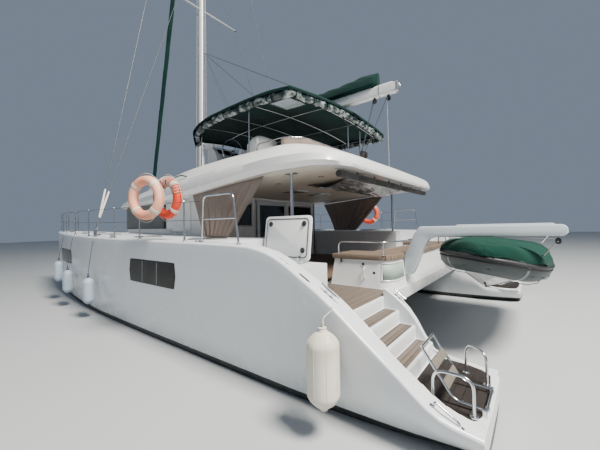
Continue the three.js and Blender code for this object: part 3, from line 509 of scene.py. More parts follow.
TUBE_GREY = Moulded("tube_grey", (0.045, 0.058, 0.062), (0.075, 0.09, 0.096), 0.5, 0.0006, "tube_grey", 2)
BLACK = Moulded("black_plastic", (0.012, 0.012, 0.013), (0.04, 0.04, 0.042), 0.45)
GREY_PLASTIC = Moulded("grey_plastic", (0.2, 0.21, 0.22), (0.3, 0.3, 0.31), 0.4)
LAMP = Moulded("lamp_lens", (0.5, 0.48, 0.42), (0.42, 0.4, 0.36), 0.35)
WHITE_ROPE = Rope("white_rope", (0.68, 0.66, 0.6), (0.36, 0.34, 0.3))
DARK_ROPE = Rope("dark_rope", (0.07, 0.075, 0.09), (0.02, 0.02, 0.025))
# The second colour of each clear curtain is its painted highlight.
ROLLED_VINYL = ClearVinyl("clear_curtain_roll", (0.008, 0.022, 0.02), (0.36, 0.4, 0.4))
STOWED_VINYL = ClearVinyl("clear_curtain_stowed", (0.07, 0.075, 0.07), (0.5, 0.52, 0.5), (1.6, 0.5, 1))
LADDER_TEAK = Teak("teak_ladder", (0.21, 0.185, 0.155), (0.1, 0.088, 0.072), along=Axis.Y, width=0.5)
# The locker panel's grey-green is painted shade of the bench's aft face.
LOCKER_PANEL_SHADE = Moulded("locker_panel_painted_shade", (0.3, 0.36, 0.33), (0.25, 0.31, 0.285), 0.5)
CUSHION = Canvas("seat_cloth", (0.5, 0.49, 0.46), (0.6, 0.59, 0.56), "canvas_grey")


@cache
def material_of(finish: Finish) -> bpy.types.Material:
    """The one material of a finish, made at its first use."""
    sheet = NodeSheet(finish.name)
    finish.dress(sheet)
    return sheet.material


# Form kit


def smooth_rows(knots: Sequence[float], rows: np.ndarray, at: np.ndarray) -> np.ndarray:
    """Monotone cubic through a table's rows, which never overshoots between them.

    Args:
        knots: where the rows stand, rising.
        rows: one row of values for each knot.
        at: the places wanted.

    Returns:
        One row for each place.
    """
    x, v = np.asarray(knots, float), np.asarray(rows, float)
    h = np.diff(x)[:, None]
    slope = np.diff(v, axis=0) / h
    tangent = np.vstack([slope[:1], np.zeros_like(slope[:-1]), slope[-1:]])
    before, after = slope[:-1], slope[1:]
    same = before * after > 0
    w1, w2 = 2 * h[1:] + h[:-1], h[1:] + 2 * h[:-1]
    safe_before, safe_after = np.where(same, before, 1.0), np.where(same, after, 1.0)
    tangent[1:-1] = np.where(same, (w1 + w2) / (w1 / safe_before + w2 / safe_after), 0.0)
    k = np.clip(np.searchsorted(x, at, side="right") - 1, 0, len(x) - 2)
    step = h[k]
    t = ((np.asarray(at, float) - x[k]) / step[:, 0])[:, None]
    start = (1 + 2 * t) * (1 - t) ** 2 * v[k] + t * (1 - t) ** 2 * step * tangent[k]
    end = t**2 * (3 - 2 * t) * v[k + 1] - t**2 * (1 - t) * step * tangent[k + 1]
    return start + end


def row_at(rows: Sequence[Sequence[float]], place: float) -> np.ndarray:
    """A table's row at a place, smooth between those given; its first column is the place."""
    table = np.array(rows, float)
    return smooth_rows(table[:, 0], table, np.array([place]))[0]


def smooth_line(points: Sequence[Point], count: int) -> list[Vector]:
    """Evenly spread points on a monotone cubic through a few."""
    given = np.array(points, float)
    run = np.concatenate([[0.0], np.cumsum(np.linalg.norm(np.diff(given, axis=0), axis=1))])
    return [Vector(p) for p in smooth_rows(run, given, np.linspace(0, run[-1], count))]


def rounded(path: Sequence[Point], bend: float, steps: int = 6) -> list[Vector]:
    """A path whose inner corners are turned into bends."""
    points = [Vector(p) for p in path]
    made = [points[0]]
    for before, corner, after in zip(points, points[1:], points[2:]):
        back, ahead = before - corner, after - corner
        reach = min(bend, 0.45 * back.length, 0.45 * ahead.length)
        start, end = corner + back.normalized() * reach, corner + ahead.normalized() * reach
        for k in range(steps + 1):
            t = k / steps
            made.append(start.lerp(corner, t).lerp(corner.lerp(end, t), t))
    return [*made, points[-1]]


def flip_y(path: Iterable[Point], side: float) -> list[Vector]:
    """The same points on one side of the boat or the other."""
    return [Vector((p[0], p[1] * side, p[2])) for p in path]


def add_object(name: str, data: bpy.types.ID) -> bpy.types.Object:
    """A new object in the scene."""
    made = bpy.data.objects.new(name, data)
    bpy.context.scene.collection.objects.link(made)
    return made


class Form:
    """The mesh of one piece, put together from simple shapes that stand in the boat's frame."""

    def __init__(self) -> None:
        """Starts with nothing in it."""
        self.points: list[Spot] = []
        self.faces: list[tuple[int, ...]] = []
        self.maps: dict[int, list[tuple[float, float]]] = {}

    def add(self, points: Iterable[Point], faces: Iterable[Sequence[int]]) -> Self:
        """Adds points and the faces between them."""
        base = len(self.points)
        self.points.extend(tuple(map(float, p)) for p in points)
        self.faces.extend(tuple(base + k for k in face) for face in faces)
        return self

    def join(self, other: "Form") -> Self:
        """Adds another form."""
        first = len(self.faces)
        self.add(other.points, other.faces)
        self.maps.update({first + k: uv for k, uv in other.maps.items()})
        return self

    def moved(self, matrix: Matrix) -> "Form":
        """A copy that is turned and placed by a matrix."""
        made = Form().add([matrix @ Vector(p) for p in self.points], self.faces)
        made.maps = dict(self.maps)
        return made

    def mirrored(self) -> "Form":
        """The form on the other side of the centreline."""
        made = Form().add([(x, -y, z) for x, y, z in self.points], [face[::-1] for face in self.faces])
        made.maps = {k: uv[::-1] for k, uv in self.maps.items()}
        return made

    def both_sides(self) -> "Form":
        """The form and its mirror image across the centreline."""
        return Form().join(self).join(self.mirrored())

    def take(self, mesh: bmesh.types.BMesh) -> Self:
        """Adds a bmesh and frees it."""
        mesh.verts.index_update()
        self.add([v.co for v in mesh.verts], [[v.index for v in face.verts] for face in mesh.faces])
        mesh.free()
        return self

    def box(self, low: Point, high: Point, edge: float = 0.0, steps: int = 2) -> Self:
        """Adds a block between two corners, its edges rounded where asked."""
        mesh = bmesh.new()
        bmesh.ops.create_cube(mesh, size=1.0)
        size, middle = Vector(high) - Vector(low), (Vector(high) + Vector(low)) / 2
        for v in mesh.verts:
            v.co = Vector(a * b for a, b in zip(v.co, size)) + middle
        if edge:
            bmesh.ops.bevel(mesh, geom=mesh.edges[:], offset=edge, segments=steps, profile=0.5,
                            affect="EDGES")
        return self.take(mesh)

    def plate(self, outline: Sequence[Point], low: float, high: float, plane: str = "xy",
              edge: float = 0.0) -> Self:
        """Adds a flat plate.

        Args:
            outline: its corners in the plane.
            low: where it starts on the third axis.
            high: where it ends.
            plane: xy, xz or yz.
            edge: the radius of its rims.

        Returns:
            The form.
        """
        order = {"xy": (0, 1, 2), "xz": (0, 2, 1), "yz": (1, 2, 0)}[plane]
        mesh = bmesh.new()
        rims = []
        for level in (low, high):
            corners = []
            for a, b in outline:
                place = [0.0, 0.0, 0.0]
                place[order[0]], place[order[1]], place[order[2]] = a, b, level
                corners.append(mesh.verts.new(place))
            rims.append(corners)
        count = len(outline)
        caps = [mesh.faces.new(rims[0][::-1]), mesh.faces.new(rims[1])]
        for k in range(count):
            near, far = k, (k + 1) % count
            mesh.faces.new([rims[0][near], rims[0][far], rims[1][far], rims[1][near]])
        bmesh.ops.recalc_face_normals(mesh, faces=mesh.faces[:])
        if edge:
            edges = list({e for cap in caps for e in cap.edges})
            bmesh.ops.bevel(mesh, geom=edges, offset=edge, segments=2, profile=0.5, affect="EDGES")
        return self.take(mesh)

    def loft(self, rings: Sequence[Sequence[Point]], capped: bool = True, closed: bool = True) -> Self:
        """Adds a skin through rings with equal numbers of points."""
        count = len(rings[0])
        points = [p for ring in rings for p in ring]
        faces = []
        for r in range(len(rings) - 1):
            for k in range(count if closed else count - 1):
                a, b = r * count + k, r * count + (k + 1) % count
                faces.append((a, b, b + count, a + count))
        if capped:
            last = (len(rings) - 1) * count
            faces.append(tuple(reversed(range(count))))
            faces.append(tuple(range(last, last + count)))
        return self.add(points, faces)

    def skin(self, rows: Sequence[Sequence[Point]]) -> Self:
        """Adds an open skin through rows with equal numbers of points."""
        return self.loft(rows, capped=False, closed=False)

    def tube(self, path: Sequence[Point], radius: float | Sequence[float], sides: int = 12, bend: float = 0.0,
             closed: bool = False) -> Self:
        """Adds a round tube along a path.

        Args:
            path: the points it follows.
            radius: one radius, or one for each point of the path.
            sides: how many flats go round it.
            bend: how far from a corner its bend starts.
            closed: whether the path comes back to its start.

        Returns:
            The form.
        """
        line = rounded(path, bend) if bend else [Vector(p) for p in path]
        radii = [radius] * len(line) if isinstance(radius, (int, float)) else list(radius)
        count, run = len(line), 0.0
        first = len(self.faces)
        rings, runs = [], []
        normal = None
        for k, point in enumerate(line):
            ahead = line[(k + 1) % count] if closed or k < count - 1 else point
            behind = line[k - 1] if closed or k else point
            along = (ahead - behind).normalized()
            if normal is None:
                normal = along.orthogonal().normalized()
            normal = (normal - along * normal.dot(along)).normalized()
            other = along.cross(normal)
            turns = [math.tau * s / sides for s in range(sides)]
            rings.append([point + (normal * math.cos(a) + other * math.sin(a)) * radii[k] for a in turns])
            run += (point - line[k - 1]).length if k else 0.0
            runs.append(run)
        if closed:
            drift = min(range(sides), key=lambda s: (rings[0][s] - rings[-1][0]).length)
            rings.append(rings[0][drift:] + rings[0][:drift])
            runs.append(run + (line[0] - line[-1]).length)
        self.loft(rings, capped=not closed)
        for r in range(len(rings) - 1):
            for s in range(sides):
                low, high = s / sides, (s + 1) / sides
                self.maps[first + r * sides + s] = [(low, runs[r]), (high, runs[r]), (high, runs[r + 1]),
                                                    (low, runs[r + 1])]
        return self

    def lathe(self, profile: Sequence[Point], centre: Point, axis: Point = (0, 0, 1),
              sides: int = 28) -> Self:
        """Adds a turned shape: its profile is radius and height along the axis from the centre."""
        turn = Vector((0, 0, 1)).rotation_difference(Vector(axis).normalized()).to_matrix()
        rings = []
        for radius, height in profile:
            ring = []
            for k in range(sides):
                angle = math.tau * k / sides
                spoke = Vector((max(radius, 1e-4) * math.cos(angle), max(radius, 1e-4) * math.sin(angle),
                                height))
                ring.append(turn @ spoke + Vector(centre))
            rings.append(ring)
        return self.loft(rings)

    def mesh(self, name: str) -> bpy.types.Mesh:
        """The mesh, its doubles merged, its faces out and its soft edges smooth."""
        mesh = bpy.data.meshes.new(name)
        mesh.from_pydata(self.points, [], self.faces)
        if self.maps:
            layer = mesh.uv_layers.new(name="UVMap")
            for number, uvs in self.maps.items():
                start = mesh.polygons[number].loop_start
                for k, uv in enumerate(uvs):
                    layer.data[start + k].uv = uv
        work = bmesh.new()
        work.from_mesh(mesh)
        bmesh.ops.remove_doubles(work, verts=work.verts[:], dist=2e-5)
        bmesh.ops.recalc_face_normals(work, faces=work.faces[:])
        work.to_mesh(mesh)
        work.free()
        mesh.polygons.foreach_set("use_smooth", [True] * len(mesh.polygons))
        mesh.set_sharp_from_angle(angle=SHARP_EDGE)
        return mesh

    def carved(self, tools: Sequence["Form"]) -> "Form":
        """The form with other closed forms cut out of it."""
        whole = add_object("whole", self.mesh("whole"))
        blades = []
        for tool in tools:
            blade = add_object("blade", tool.mesh("blade"))
            blades.append(blade)
            cut = whole.modifiers.new("cut", "BOOLEAN")
            cut.object, cut.operation, cut.solver = blade, "DIFFERENCE", "MANIFOLD"
        result = bpy.data.meshes.new_from_object(whole.evaluated_get(bpy.context.evaluated_depsgraph_get()))
        made = Form().add([v.co[:] for v in result.vertices], [p.vertices[:] for p in result.polygons])
        for obj in (whole, *blades):
            bpy.data.objects.remove(obj)
        return made

    def piece(self, name: str, finish: Finish, body: str | None = HULL_BODY, replaces: Sequence[str] = (),
              thick: float = 0.0) -> bpy.types.Object:
        """Makes the form a piece of the boat.

        Args:
            name: the piece's name.
            finish: what it is dressed with.
            body: the body that it rides on, or None for a piece on no body.
            replaces: the CAD nodes that it stands for.
            thick: the thickness given to an open skin, inward.

        Returns:
            The piece.
        """
        piece = add_object(name, self.mesh(name))
        if thick:
            wall = piece.modifiers.new("wall", "SOLIDIFY")
            wall.thickness, wall.offset = thick, -1.0
        return settle(piece, finish, body, replaces)


def settle(piece: bpy.types.Object, finish: Finish, body: str | None,
           replaces: Sequence[str] = ()) -> bpy.types.Object:
    """Dresses a piece, puts it on its body and logs it."""
    piece.data.materials.clear()
    piece.data.materials.append(material_of(finish))
    if body:
        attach(piece, body)
    if replaces:
        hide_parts(*replaces)
    log.info("%s: %d faces on %s", piece.name, len(piece.data.polygons), body)
    return piece


def dress(node: str, finish: Finish) -> None:
    """Gives a carried-over CAD node its finish."""
    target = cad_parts[node]
    target.data.materials.clear()
    target.data.materials.append(material_of(finish))
    log.info("%s: dressed", node)


# Geometry Nodes kit


class Tree:
    """A Geometry Nodes tree that is built in the script and turned into plain mesh."""

    def __init__(self, name: str) -> None:
        """Starts an empty tree with a geometry input and output."""
        self.tree = bpy.data.node_groups.new(name, "GeometryNodeTree")
        self.tree.interface.new_socket("Geometry", in_out="INPUT", socket_type="NodeSocketGeometry")
        self.tree.interface.new_socket("Geometry", in_out="OUTPUT", socket_type="NodeSocketGeometry")
        self.source = self.tree.nodes.new("NodeGroupInput")
        self.keys: dict[str, str] = {}

    def size(self, name: str, kind: str = "Float") -> bpy.types.NodeSocket:
        """Adds a named input and gives the socket that carries it."""
        made = self.tree.interface.new_socket(name, in_out="INPUT", socket_type=f"NodeSocket{kind}")
        self.keys[name] = made.identifier
        return self.source.outputs[name]

    def node(self, kind: str, settings: dict | None = None, inputs: dict | None = None) -> bpy.types.Node:
        """Adds a node: settings are set first, and inputs are values or the sockets that feed them."""
        node = self.tree.nodes.new(kind)
        for key, value in (settings or {}).items():
            setattr(node, key, value)
        for key, value in (inputs or {}).items():
            if isinstance(value, bpy.types.NodeSocket):
                self.tree.links.new(value, node.inputs[key])
            else:
                node.inputs[key].default_value = value
        return node

    def end(self, geometry: bpy.types.NodeSocket, finish: Finish) -> None:
        """Realizes the instances and sets the finish."""
        real = self.node("GeometryNodeRealizeInstances", inputs={0: geometry})
        dressed = self.node("GeometryNodeSetMaterial",
                            inputs={0: real.outputs[0], "Material": material_of(finish)})
        sink = self.tree.nodes.new("NodeGroupOutput")
        self.tree.links.new(dressed.outputs[0], sink.inputs[0])

    def run(self, name: str, base: bpy.types.Mesh, sizes: dict[str, float], finish: Finish,
            body: str = HULL_BODY, replaces: Sequence[str] = ()) -> bpy.types.Object:
        """Runs the tree on a mesh and keeps the result as a plain piece.

        Args:
            name: the piece's name.
            base: the mesh that the tree starts from.
            sizes: the value of each named input.
            finish: what the piece is dressed with.
            body: the body that it rides on.
            replaces: the CAD nodes that it stands for.

        Returns:
            The piece.
        """
        holder = add_object(name + "_base", base)
        modifier = holder.modifiers.new("nodes", "NODES")
        modifier.node_group = self.tree
        for key, value in sizes.items():
            modifier[self.keys[key]] = value
        made = bpy.data.meshes.new_from_object(holder.evaluated_get(bpy.context.evaluated_depsgraph_get()))
        bpy.data.objects.remove(holder)
        piece = add_object(name, made)
        return settle(piece, finish, body, replaces)


def line_mesh(name: str, paths: Sequence[Sequence[Point]]) -> bpy.types.Mesh:
    """Bare lines through points, for a tree to follow."""
    mesh = bpy.data.meshes.new(name)
    points, edges = [], []
    for path in paths:
        base = len(points)
        points.extend(tuple(p) for p in path)
        edges.extend((base + k, base + k + 1) for k in range(len(path) - 1))
    mesh.from_pydata(points, edges, [])
    return mesh


@cache
def bead_tree(finish: Finish) -> Tree:
    """Tree that sets small rounded beads along lines, such as stitches, snaps and a zip's teeth."""
    tree = Tree("beads_" + finish.name)
    spacing, length, width = tree.size("Spacing"), tree.size("Length"), tree.size("Width")
    curve = tree.node("GeometryNodeMeshToCurve", inputs={0: tree.source.outputs[0]})
    spread = tree.node("GeometryNodeResampleCurve", {"mode": "LENGTH"},
                       {"Curve": curve.outputs[0], "Length": spacing})
    tangent = tree.node("GeometryNodeInputTangent")
    turn = tree.node("FunctionNodeAlignRotationToVector", {"axis": "X"}, {"Vector": tangent.outputs[0]})
    bead = tree.node("GeometryNodeMeshIcoSphere", inputs={"Radius": 0.5, "Subdivisions": 2})
    size = tree.node("ShaderNodeCombineXYZ", inputs={0: length, 1: width, 2: width})
    placed = tree.node("GeometryNodeInstanceOnPoints", inputs={
        "Points": spread.outputs[0], "Instance": bead.outputs[0],
        "Rotation": turn.outputs[0], "Scale": size.outputs[0],
    })
    tree.end(placed.outputs[0], finish)
    return tree


def beads(name: str, lines: Sequence[Sequence[Point]], sizes: Spot, finish: Finish,
          body: str = HULL_BODY) -> None:
    """Sets beads along lines, by their spacing, length and width."""
    base = line_mesh(f"{name}_lines", lines)
    bead_tree(finish).run(name, base, dict(zip(("Spacing", "Length", "Width"), sizes)), finish, body=body)


@cache
def slat_tree(finish: Finish) -> Tree:
    """Tree that lays slats with small gaps between them, across a line along Y."""
    tree = Tree("slats_" + finish.name)
    size = tree.size("Slat", "Vector")
    curve = tree.node("GeometryNodeMeshToCurve", inputs={0: tree.source.outputs[0]})
    pitch = tree.size("Pitch")
    spread = tree.node("GeometryNodeResampleCurve", {"mode": "LENGTH"},
                       {"Curve": curve.outputs[0], "Length": pitch})
    slat = tree.node("GeometryNodeMeshCube", inputs={"Size": size})
    placed = tree.node("GeometryNodeInstanceOnPoints",
                       inputs={"Points": spread.outputs[0], "Instance": slat.outputs[0]})
    tree.end(placed.outputs[0], finish)
    return tree


@cache
def net_tree(finish: Finish) -> Tree:
    """Tree that turns the edges of a grid into cords, one run for each row and each column."""
    tree = Tree("net_" + finish.name)
    radius = tree.size("Radius")
    ends = tree.node("GeometryNodeInputMeshEdgeVertices")
    along = tree.node("ShaderNodeVectorMath", {"operation": "SUBTRACT"},
                      {0: ends.outputs[2], 1: ends.outputs[3]})
    parts = tree.node("ShaderNodeSeparateXYZ", inputs={0: along.outputs[0]})
    sizes = [tree.node("ShaderNodeMath", {"operation": "ABSOLUTE"}, {0: parts.outputs[k]}) for k in (0, 1)]
    profile = tree.node("GeometryNodeCurvePrimitiveCircle", inputs={"Resolution": 5, "Radius": radius})
    joined = tree.node("GeometryNodeJoinGeometry")
    for a, b in ((0, 1), (1, 0)):
        chosen = tree.node("FunctionNodeCompare", {"data_type": "FLOAT", "operation": "GREATER_THAN"},
                           {0: sizes[a].outputs[0], 1: sizes[b].outputs[0]})
        runs = tree.node("GeometryNodeMeshToCurve", inputs={0: tree.source.outputs[0], 1: chosen.outputs[0]})
        cords = tree.node("GeometryNodeCurveToMesh", inputs={0: runs.outputs[0], 1: profile.outputs[0]})
        cords.inputs["Fill Caps"].default_value = True
        tree.tree.links.new(cords.outputs[0], joined.inputs[0])
    tree.end(joined.outputs[0], finish)
    return tree


# Shapes that several parts share


def square(x: float, y: float, half: float, corner: float,
           half_y: float | None = None) -> list[tuple[float, float]]:
    """Outline of a rectangle with round corners about a point."""
    high = half if half_y is None else half_y
    made = []
    for k, (sx, sy) in enumerate(((1, 1), (-1, 1), (-1, -1), (1, -1))):
        for step in range(5):
            angle = math.radians(90 * k + 22.5 * step)
            made.append((x + sx * (half - corner) + corner * math.cos(angle),
                         y + sy * (high - corner) + corner * math.sin(angle)))
    return made


def cleat(foot: Point, half: float) -> Form:
    """A mooring cleat: two legs and a bar with tapered horns."""
    shares, girths = (-1, -0.92, -0.6, -0.3, 0.3, 0.6, 0.92, 1), (0.3, 0.6, 0.85, 1, 1, 0.85, 0.6, 0.3)
    lifts = (0.062, 0.058, 0.052, 0.05, 0.05, 0.052, 0.058, 0.062)
    bar = Form().tube([(s * half, 0, z) for s, z in zip(shares, lifts)], [0.014 * g for g in girths], 12)
    for x in (-0.3 * half, 0.3 * half):
        bar.lathe([(0.026, 0), (0.024, 0.006), (0.012, 0.02), (0.012, 0.05)], (x, 0, 0), sides=14)
    return bar.moved(Matrix.Translation(foot))


# Hulls


class Station(NamedTuple):
    """One row of the port hull's lines: its sheer, its breadths outboard and inboard, and its bottom."""

    x: float
    outer_z: float
    inner_z: float
    outer_y: float
    inner_y: float
    outer_wl: float
    inner_wl: float
    bottom_z: float


STATIONS = (
    Station(-6.62, 0.31, 0.31, 3.74, 2.52, 3.58, 2.64, 0.01),
    Station(-6.33, 0.4, 0.33, 3.8, 2.43, 3.61, 2.54, -0.06),
    Station(-5.96, 0.69, 0.375, 3.83, 2.33, 3.65, 2.47, -0.13),
    Station(-5.62, 0.96, 0.82, 3.845, 2.26, 3.67, 2.43, -0.2),
    Station(-5.29, 1.215, 1.06, 3.85, 2.2, 3.685, 2.4, -0.26),
    Station(-4.93, 1.44, 1.17, 3.85, 2.2, 3.695, 2.37, -0.32),
    Station(-4.71, 1.565, 1.29, 3.85, 2.2, 3.7, 2.36, -0.35),
    Station(-4.48, 1.655, 1.43, 3.85, 2.2, 3.7, 2.35, -0.39),
    Station(-4.15, 1.71, 1.6, 3.85, 2.2, 3.7, 2.345, -0.43),
    Station(-3.5, 1.725, 1.725, 3.85, 2.2, 3.7, 2.34, -0.49),
    Station(-1.5, 1.74, 1.74, 3.85, 2.2, 3.7, 2.325, -0.59),
    Station(0.6, 1.765, 1.765, 3.84, 2.2, 3.68, 2.33, -0.63),
    Station(2.4, 1.8, 1.8, 3.76, 2.2, 3.58, 2.41, -0.59),
    Station(3.9, 1.835, 1.835, 3.6, 2.23, 3.41, 2.56, -0.49),
    Station(5.2, 1.87, 1.87, 3.36, 2.45, 3.19, 2.72, -0.34),
    Station(6.1, 1.89, 1.89, 3.13, 2.66, 3.03, 2.83, -0.18),
    Station(6.52, 1.9, 1.9, 3.01, 2.78, 2.96, 2.88, -0.04),
    Station(6.7, 1.904, 1.904, 2.96, 2.83, 2.935, 2.905, 0.62),
    Station(6.79, 1.906, 1.906, 2.935, 2.86, 2.922, 2.9, 1.4),
)


@dataclass
class Hulls:
    """Both hulls with their stairs, hatch wells, keels, topside windows and underwater gear."""

    boot: float = 0.1
    bridge_z: float = 0.74
    sheer_radius: float = 0.03
    sole_z: float = 0.96
    platform_z: float = 0.32
    hatch_deck_z: float = 1.38
    well_outer: float = 3.57
    stair_inner: float = 2.41
    # Nosing x and tread z, from the landing down to the platform
    stairs: Pairs = ((-5.3, 0.96), (-5.51, 0.8), (-5.715, 0.64), (-5.92, 0.48))
    hatch_x: tuple[float, float] = (-4.235, -3.365)
    hatch_y: tuple[float, float] = (2.73, 3.35)
    hatch_depth: float = 0.56
    # Keel rows: z, nose x, tail x, half thickness
    keel: Rows = (
        (-0.42, 1.5, -1.5, 0.16), (-0.9, 1.3, -1.15, 0.14), (-1.24, 1.15, -0.95, 0.11),
        (-1.3, 1.08, -0.9, 0.08),
    )
    # Topside windows: aft x and fore x at the sill, sill z, head z, slant of the ends
    windows: Rows = ((-2.52, -0.97, 1.0, 1.39, 0.05), (2.7, 4.25, 1.06, 1.4, 0.05))

    def station(self, x: float) -> Station:
        """The hull's lines at a distance from the origin."""
        return Station(*row_at(STATIONS, x))

    def section(self, x: float) -> list[Spot]:
        """Points of the port hull's section, from the outboard sheer under the keel to the inboard sheer."""
        row = self.station(x)
        centre, half = (row.outer_wl + row.inner_wl) / 2, (row.outer_wl - row.inner_wl) / 2
        boot = max(self.boot, row.bottom_z + 0.06)
        rise = row.inner_z - boot
        shelf = max(min(self.bridge_z - 0.02, boot + 0.62 * rise), boot + 0.1 * rise)
        r = min(self.sheer_radius, 0.3 * (row.outer_y - row.inner_y), 0.3 * rise)
        control = [
            (row.outer_y, row.outer_z - r),
            (row.outer_wl + 0.82 * (row.outer_y - row.outer_wl), boot + 0.55 * (row.outer_z - boot)),
            (row.outer_wl, boot),
        ]
        for share, drop in ((0.84, 0.55), (0.5, 0.16), (0.0, 0.0), (-0.5, 0.16), (-0.84, 0.55)):
            control.append((centre + share * half, row.bottom_z + drop * (boot - row.bottom_z)))
        control += [(row.inner_wl, boot), (row.inner_y, shelf), (row.inner_y, row.inner_z - r)]
        side = smooth_line([(y, z, 0.0) for y, z in control], 42)
        turn = [math.radians(a) for a in (90, 68, 45, 22)]
        outer = [(row.outer_y - r * (1 - math.cos(a)), row.outer_z - r * (1 - math.sin(a))) for a in turn]
        inner = [(row.inner_y + r * (1 - math.cos(a)),
                  row.inner_z - r * (1 - math.sin(a))) for a in reversed(turn)]
        return [(x, y, z) for y, z in (*outer, *((p.x, p.y) for p in side), *inner)]

    def topside_y(self, x: float, z: float) -> float:
        """Breadth of the port topside at a height."""
        row = self.station(x)
        outboard = sorted((p[2], p[1]) for p in self.section(x) if p[1] > row.outer_wl - 0.2)
        heights, breadths = zip(*outboard)
        return float(np.interp(z, heights, breadths))

    def skin(self) -> Form:
        """The port hull before anything is cut from it."""
        places = [*np.linspace(-6.62, 6.2, 128), *np.linspace(6.25, 6.79, 22)]
        return Form().loft([self.section(float(x)) for x in places])

    def tools(self) -> list[Form]:
        """What is cut out of the port hull: stairs, landing, corridor, hatch deck and hatch well."""
        top, cuts = 2.6, []
        for step, (x, z) in enumerate(self.stairs):
            inner = 1.9 if step == 0 else self.stair_inner
            fore = -4.5 if step == 0 else self.stairs[step - 1][0]
            cuts.append(Form().box((x, inner, z), (fore + 0.001, self.well_outer, top)))
        cuts.append(Form().box((-6.8, 2.1, self.platform_z),
                               (self.stairs[3][0] + 0.001, self.well_outer, top)))
        cuts.append(Form().box((-4.501, 1.9, self.sole_z), (-3.78, 2.56, top)))
        cuts.append(Form().box((-4.501, 2.559, self.hatch_deck_z), (-3.25, self.well_outer, top)))
        well_z = self.hatch_deck_z - self.hatch_depth
        cuts.append(Form().box((self.hatch_x[0], self.hatch_y[0], well_z),
                               (self.hatch_x[1], self.hatch_y[1], top)))
        return cuts

    def keel_form(self) -> Form:
        """Port stub keel with a smooth foil section."""
        rings, centre, sides = [], 3.02, 40
        for z, nose, tail, half in self.keel:
            ring = []
            for k in range(sides):
                angle = math.tau * k / sides
                along = (1 + math.cos(angle)) / 2
                thick = half * abs(math.sin(angle)) * (0.55 + 0.6 * along)
                ring.append((tail + along * (nose - tail), centre + math.copysign(thick, math.sin(angle)), z))
            rings.append(ring)
        return Form().loft(rings)

    def window(self, x0: float, x1: float, z0: float, z1: float, slant: float, proud: float,
               rim: float) -> Form:
        """A panel that lies on the topside, its corners round and its ends slanted."""
        rings, steps = [], 44
        for k in range(steps + 1):
            u = k / steps
            reach = (1 - abs(2 * u - 1) ** 16) ** (1 / 16)
            middle, half = (z0 + z1) / 2, (z1 - z0) / 2 + rim
            outer, inner = [], []
            for s in range(9):
                z = middle + half * max(reach, 0.02) * (s / 4 - 1)
                x = x0 - rim + u * (x1 - x0 + 2 * rim) - slant * (z - z0) / (z1 - z0)
                y = self.topside_y(x, z)
                outer.append((x, y + proud, z))
                inner.append((x, y - 0.03, z))
            rings.append([*outer, *reversed(inner)])
        return Form().loft(rings)

    def windows_of(self) -> None:
        """Dark topside windows in both hulls, each with a thin frame and two bars."""
        panes, frames, bars = Form(), Form(), Form()
        for x0, x1, z0, z1, slant in self.windows:
            panes.join(self.window(x0, x1, z0, z1, slant, 0.006, 0.0))
            frames.join(self.window(x0, x1, z0, z1, slant, 0.003, 0.014))
            for share in (0.36, 0.68):
                x = x0 + share * (x1 - x0)
                bars.join(self.window(x - 0.007, x + 0.007, z0 + 0.012, z1 - 0.012, slant, 0.0085, 0.0))
        panes.both_sides().piece("hull_windows", DARK_GLASS)
        frames.both_sides().piece("hull_window_rims", BLACK)
        bars.both_sides().piece("hull_window_bars", GREY_PLASTIC)

    def stair_line(self, lift: float) -> list[Vector]:
        """The stairs from the side, from the platform up to the landing, with soft corners."""
        line = [(-6.6, 0, self.platform_z + lift), (self.stairs[3][0] - lift, 0, self.platform_z + lift)]
        for step in (3, 2, 1):
            x, z = self.stairs[step]
            line += [(x - lift, 0, z + lift), (self.stairs[step - 1][0] - lift, 0, z + lift)]
        x, z = self.stairs[0]
        line += [(x - lift, 0, z + lift), (-3.79, 0, z + lift)]
        return rounded(line, 0.022, 5)

    def stair_lining(self) -> Form:
        """Moulded lining of the port stairs, which rounds their nosings and inner corners."""
        top, under = self.stair_line(0.003), self.stair_line(-0.01)
        outline = [(p.x, p.z) for p in top] + [(p.x, p.z) for p in reversed(under)]
        inner, outer = self.stair_inner + 0.001, self.well_outer - 0.001
        aft = [p for p in outline if p[0] < -4.5]
        return Form().plate(aft, inner, outer, "xz")

    def treads(self) -> None:
        """Teak boards on the stairs, the landings and the platforms."""
        steps, wet = Form(), Form()
        margin, board = 0.035, 0.014
        inner, outer = self.stair_inner + margin, self.well_outer - margin
        for step, (x, z) in enumerate(self.stairs[1:], 1):
            fore = self.stairs[step - 1][0]
            steps.box((x + 0.03, inner, z), (fore - 0.018, outer, z + board), 0.004)
        landing = [(-5.27, 2.06), (-5.27, outer), (-4.52, outer), (-4.52, 2.53), (-3.8, 2.53), (-3.8, 2.18)]
        landing += [(-4.2, 2.18), (-4.2, 2.06)]
        steps.plate(landing, self.sole_z, self.sole_z + board, edge=0.004)
        edge = [(-6.545, 2.62), (-6.575, 2.9), (-6.58, 3.2), (-6.565, 3.45), (-6.53, 3.535), (-5.945, 3.535)]
        edge += [(-5.945, 2.45), (-6.3, 2.47), (-6.46, 2.53)]
        wet.plate(edge, self.platform_z, self.platform_z + board, edge=0.004)
        steps.both_sides().piece("stair_boards", TEAK_TREAD)
        # The platform boards' near-black teak holds painted shade.
        wet.both_sides().piece("platform_boards", TEAK_WET_SHADED)

    def edge_line(self, y: float, x0: float, x1: float, drop: float, count: int = 40) -> list[Vector]:
        """Points along a bulwark's inner edge, which follow its sheer."""
        line = []
        for x in np.linspace(x0, x1, count):
            row = self.station(float(x))
            across = (y - row.inner_y) / (row.outer_y - row.inner_y)
            z = row.inner_z + across * (row.outer_z - row.inner_z)
            line.append(Vector((float(x), y, z - drop)))
        return line

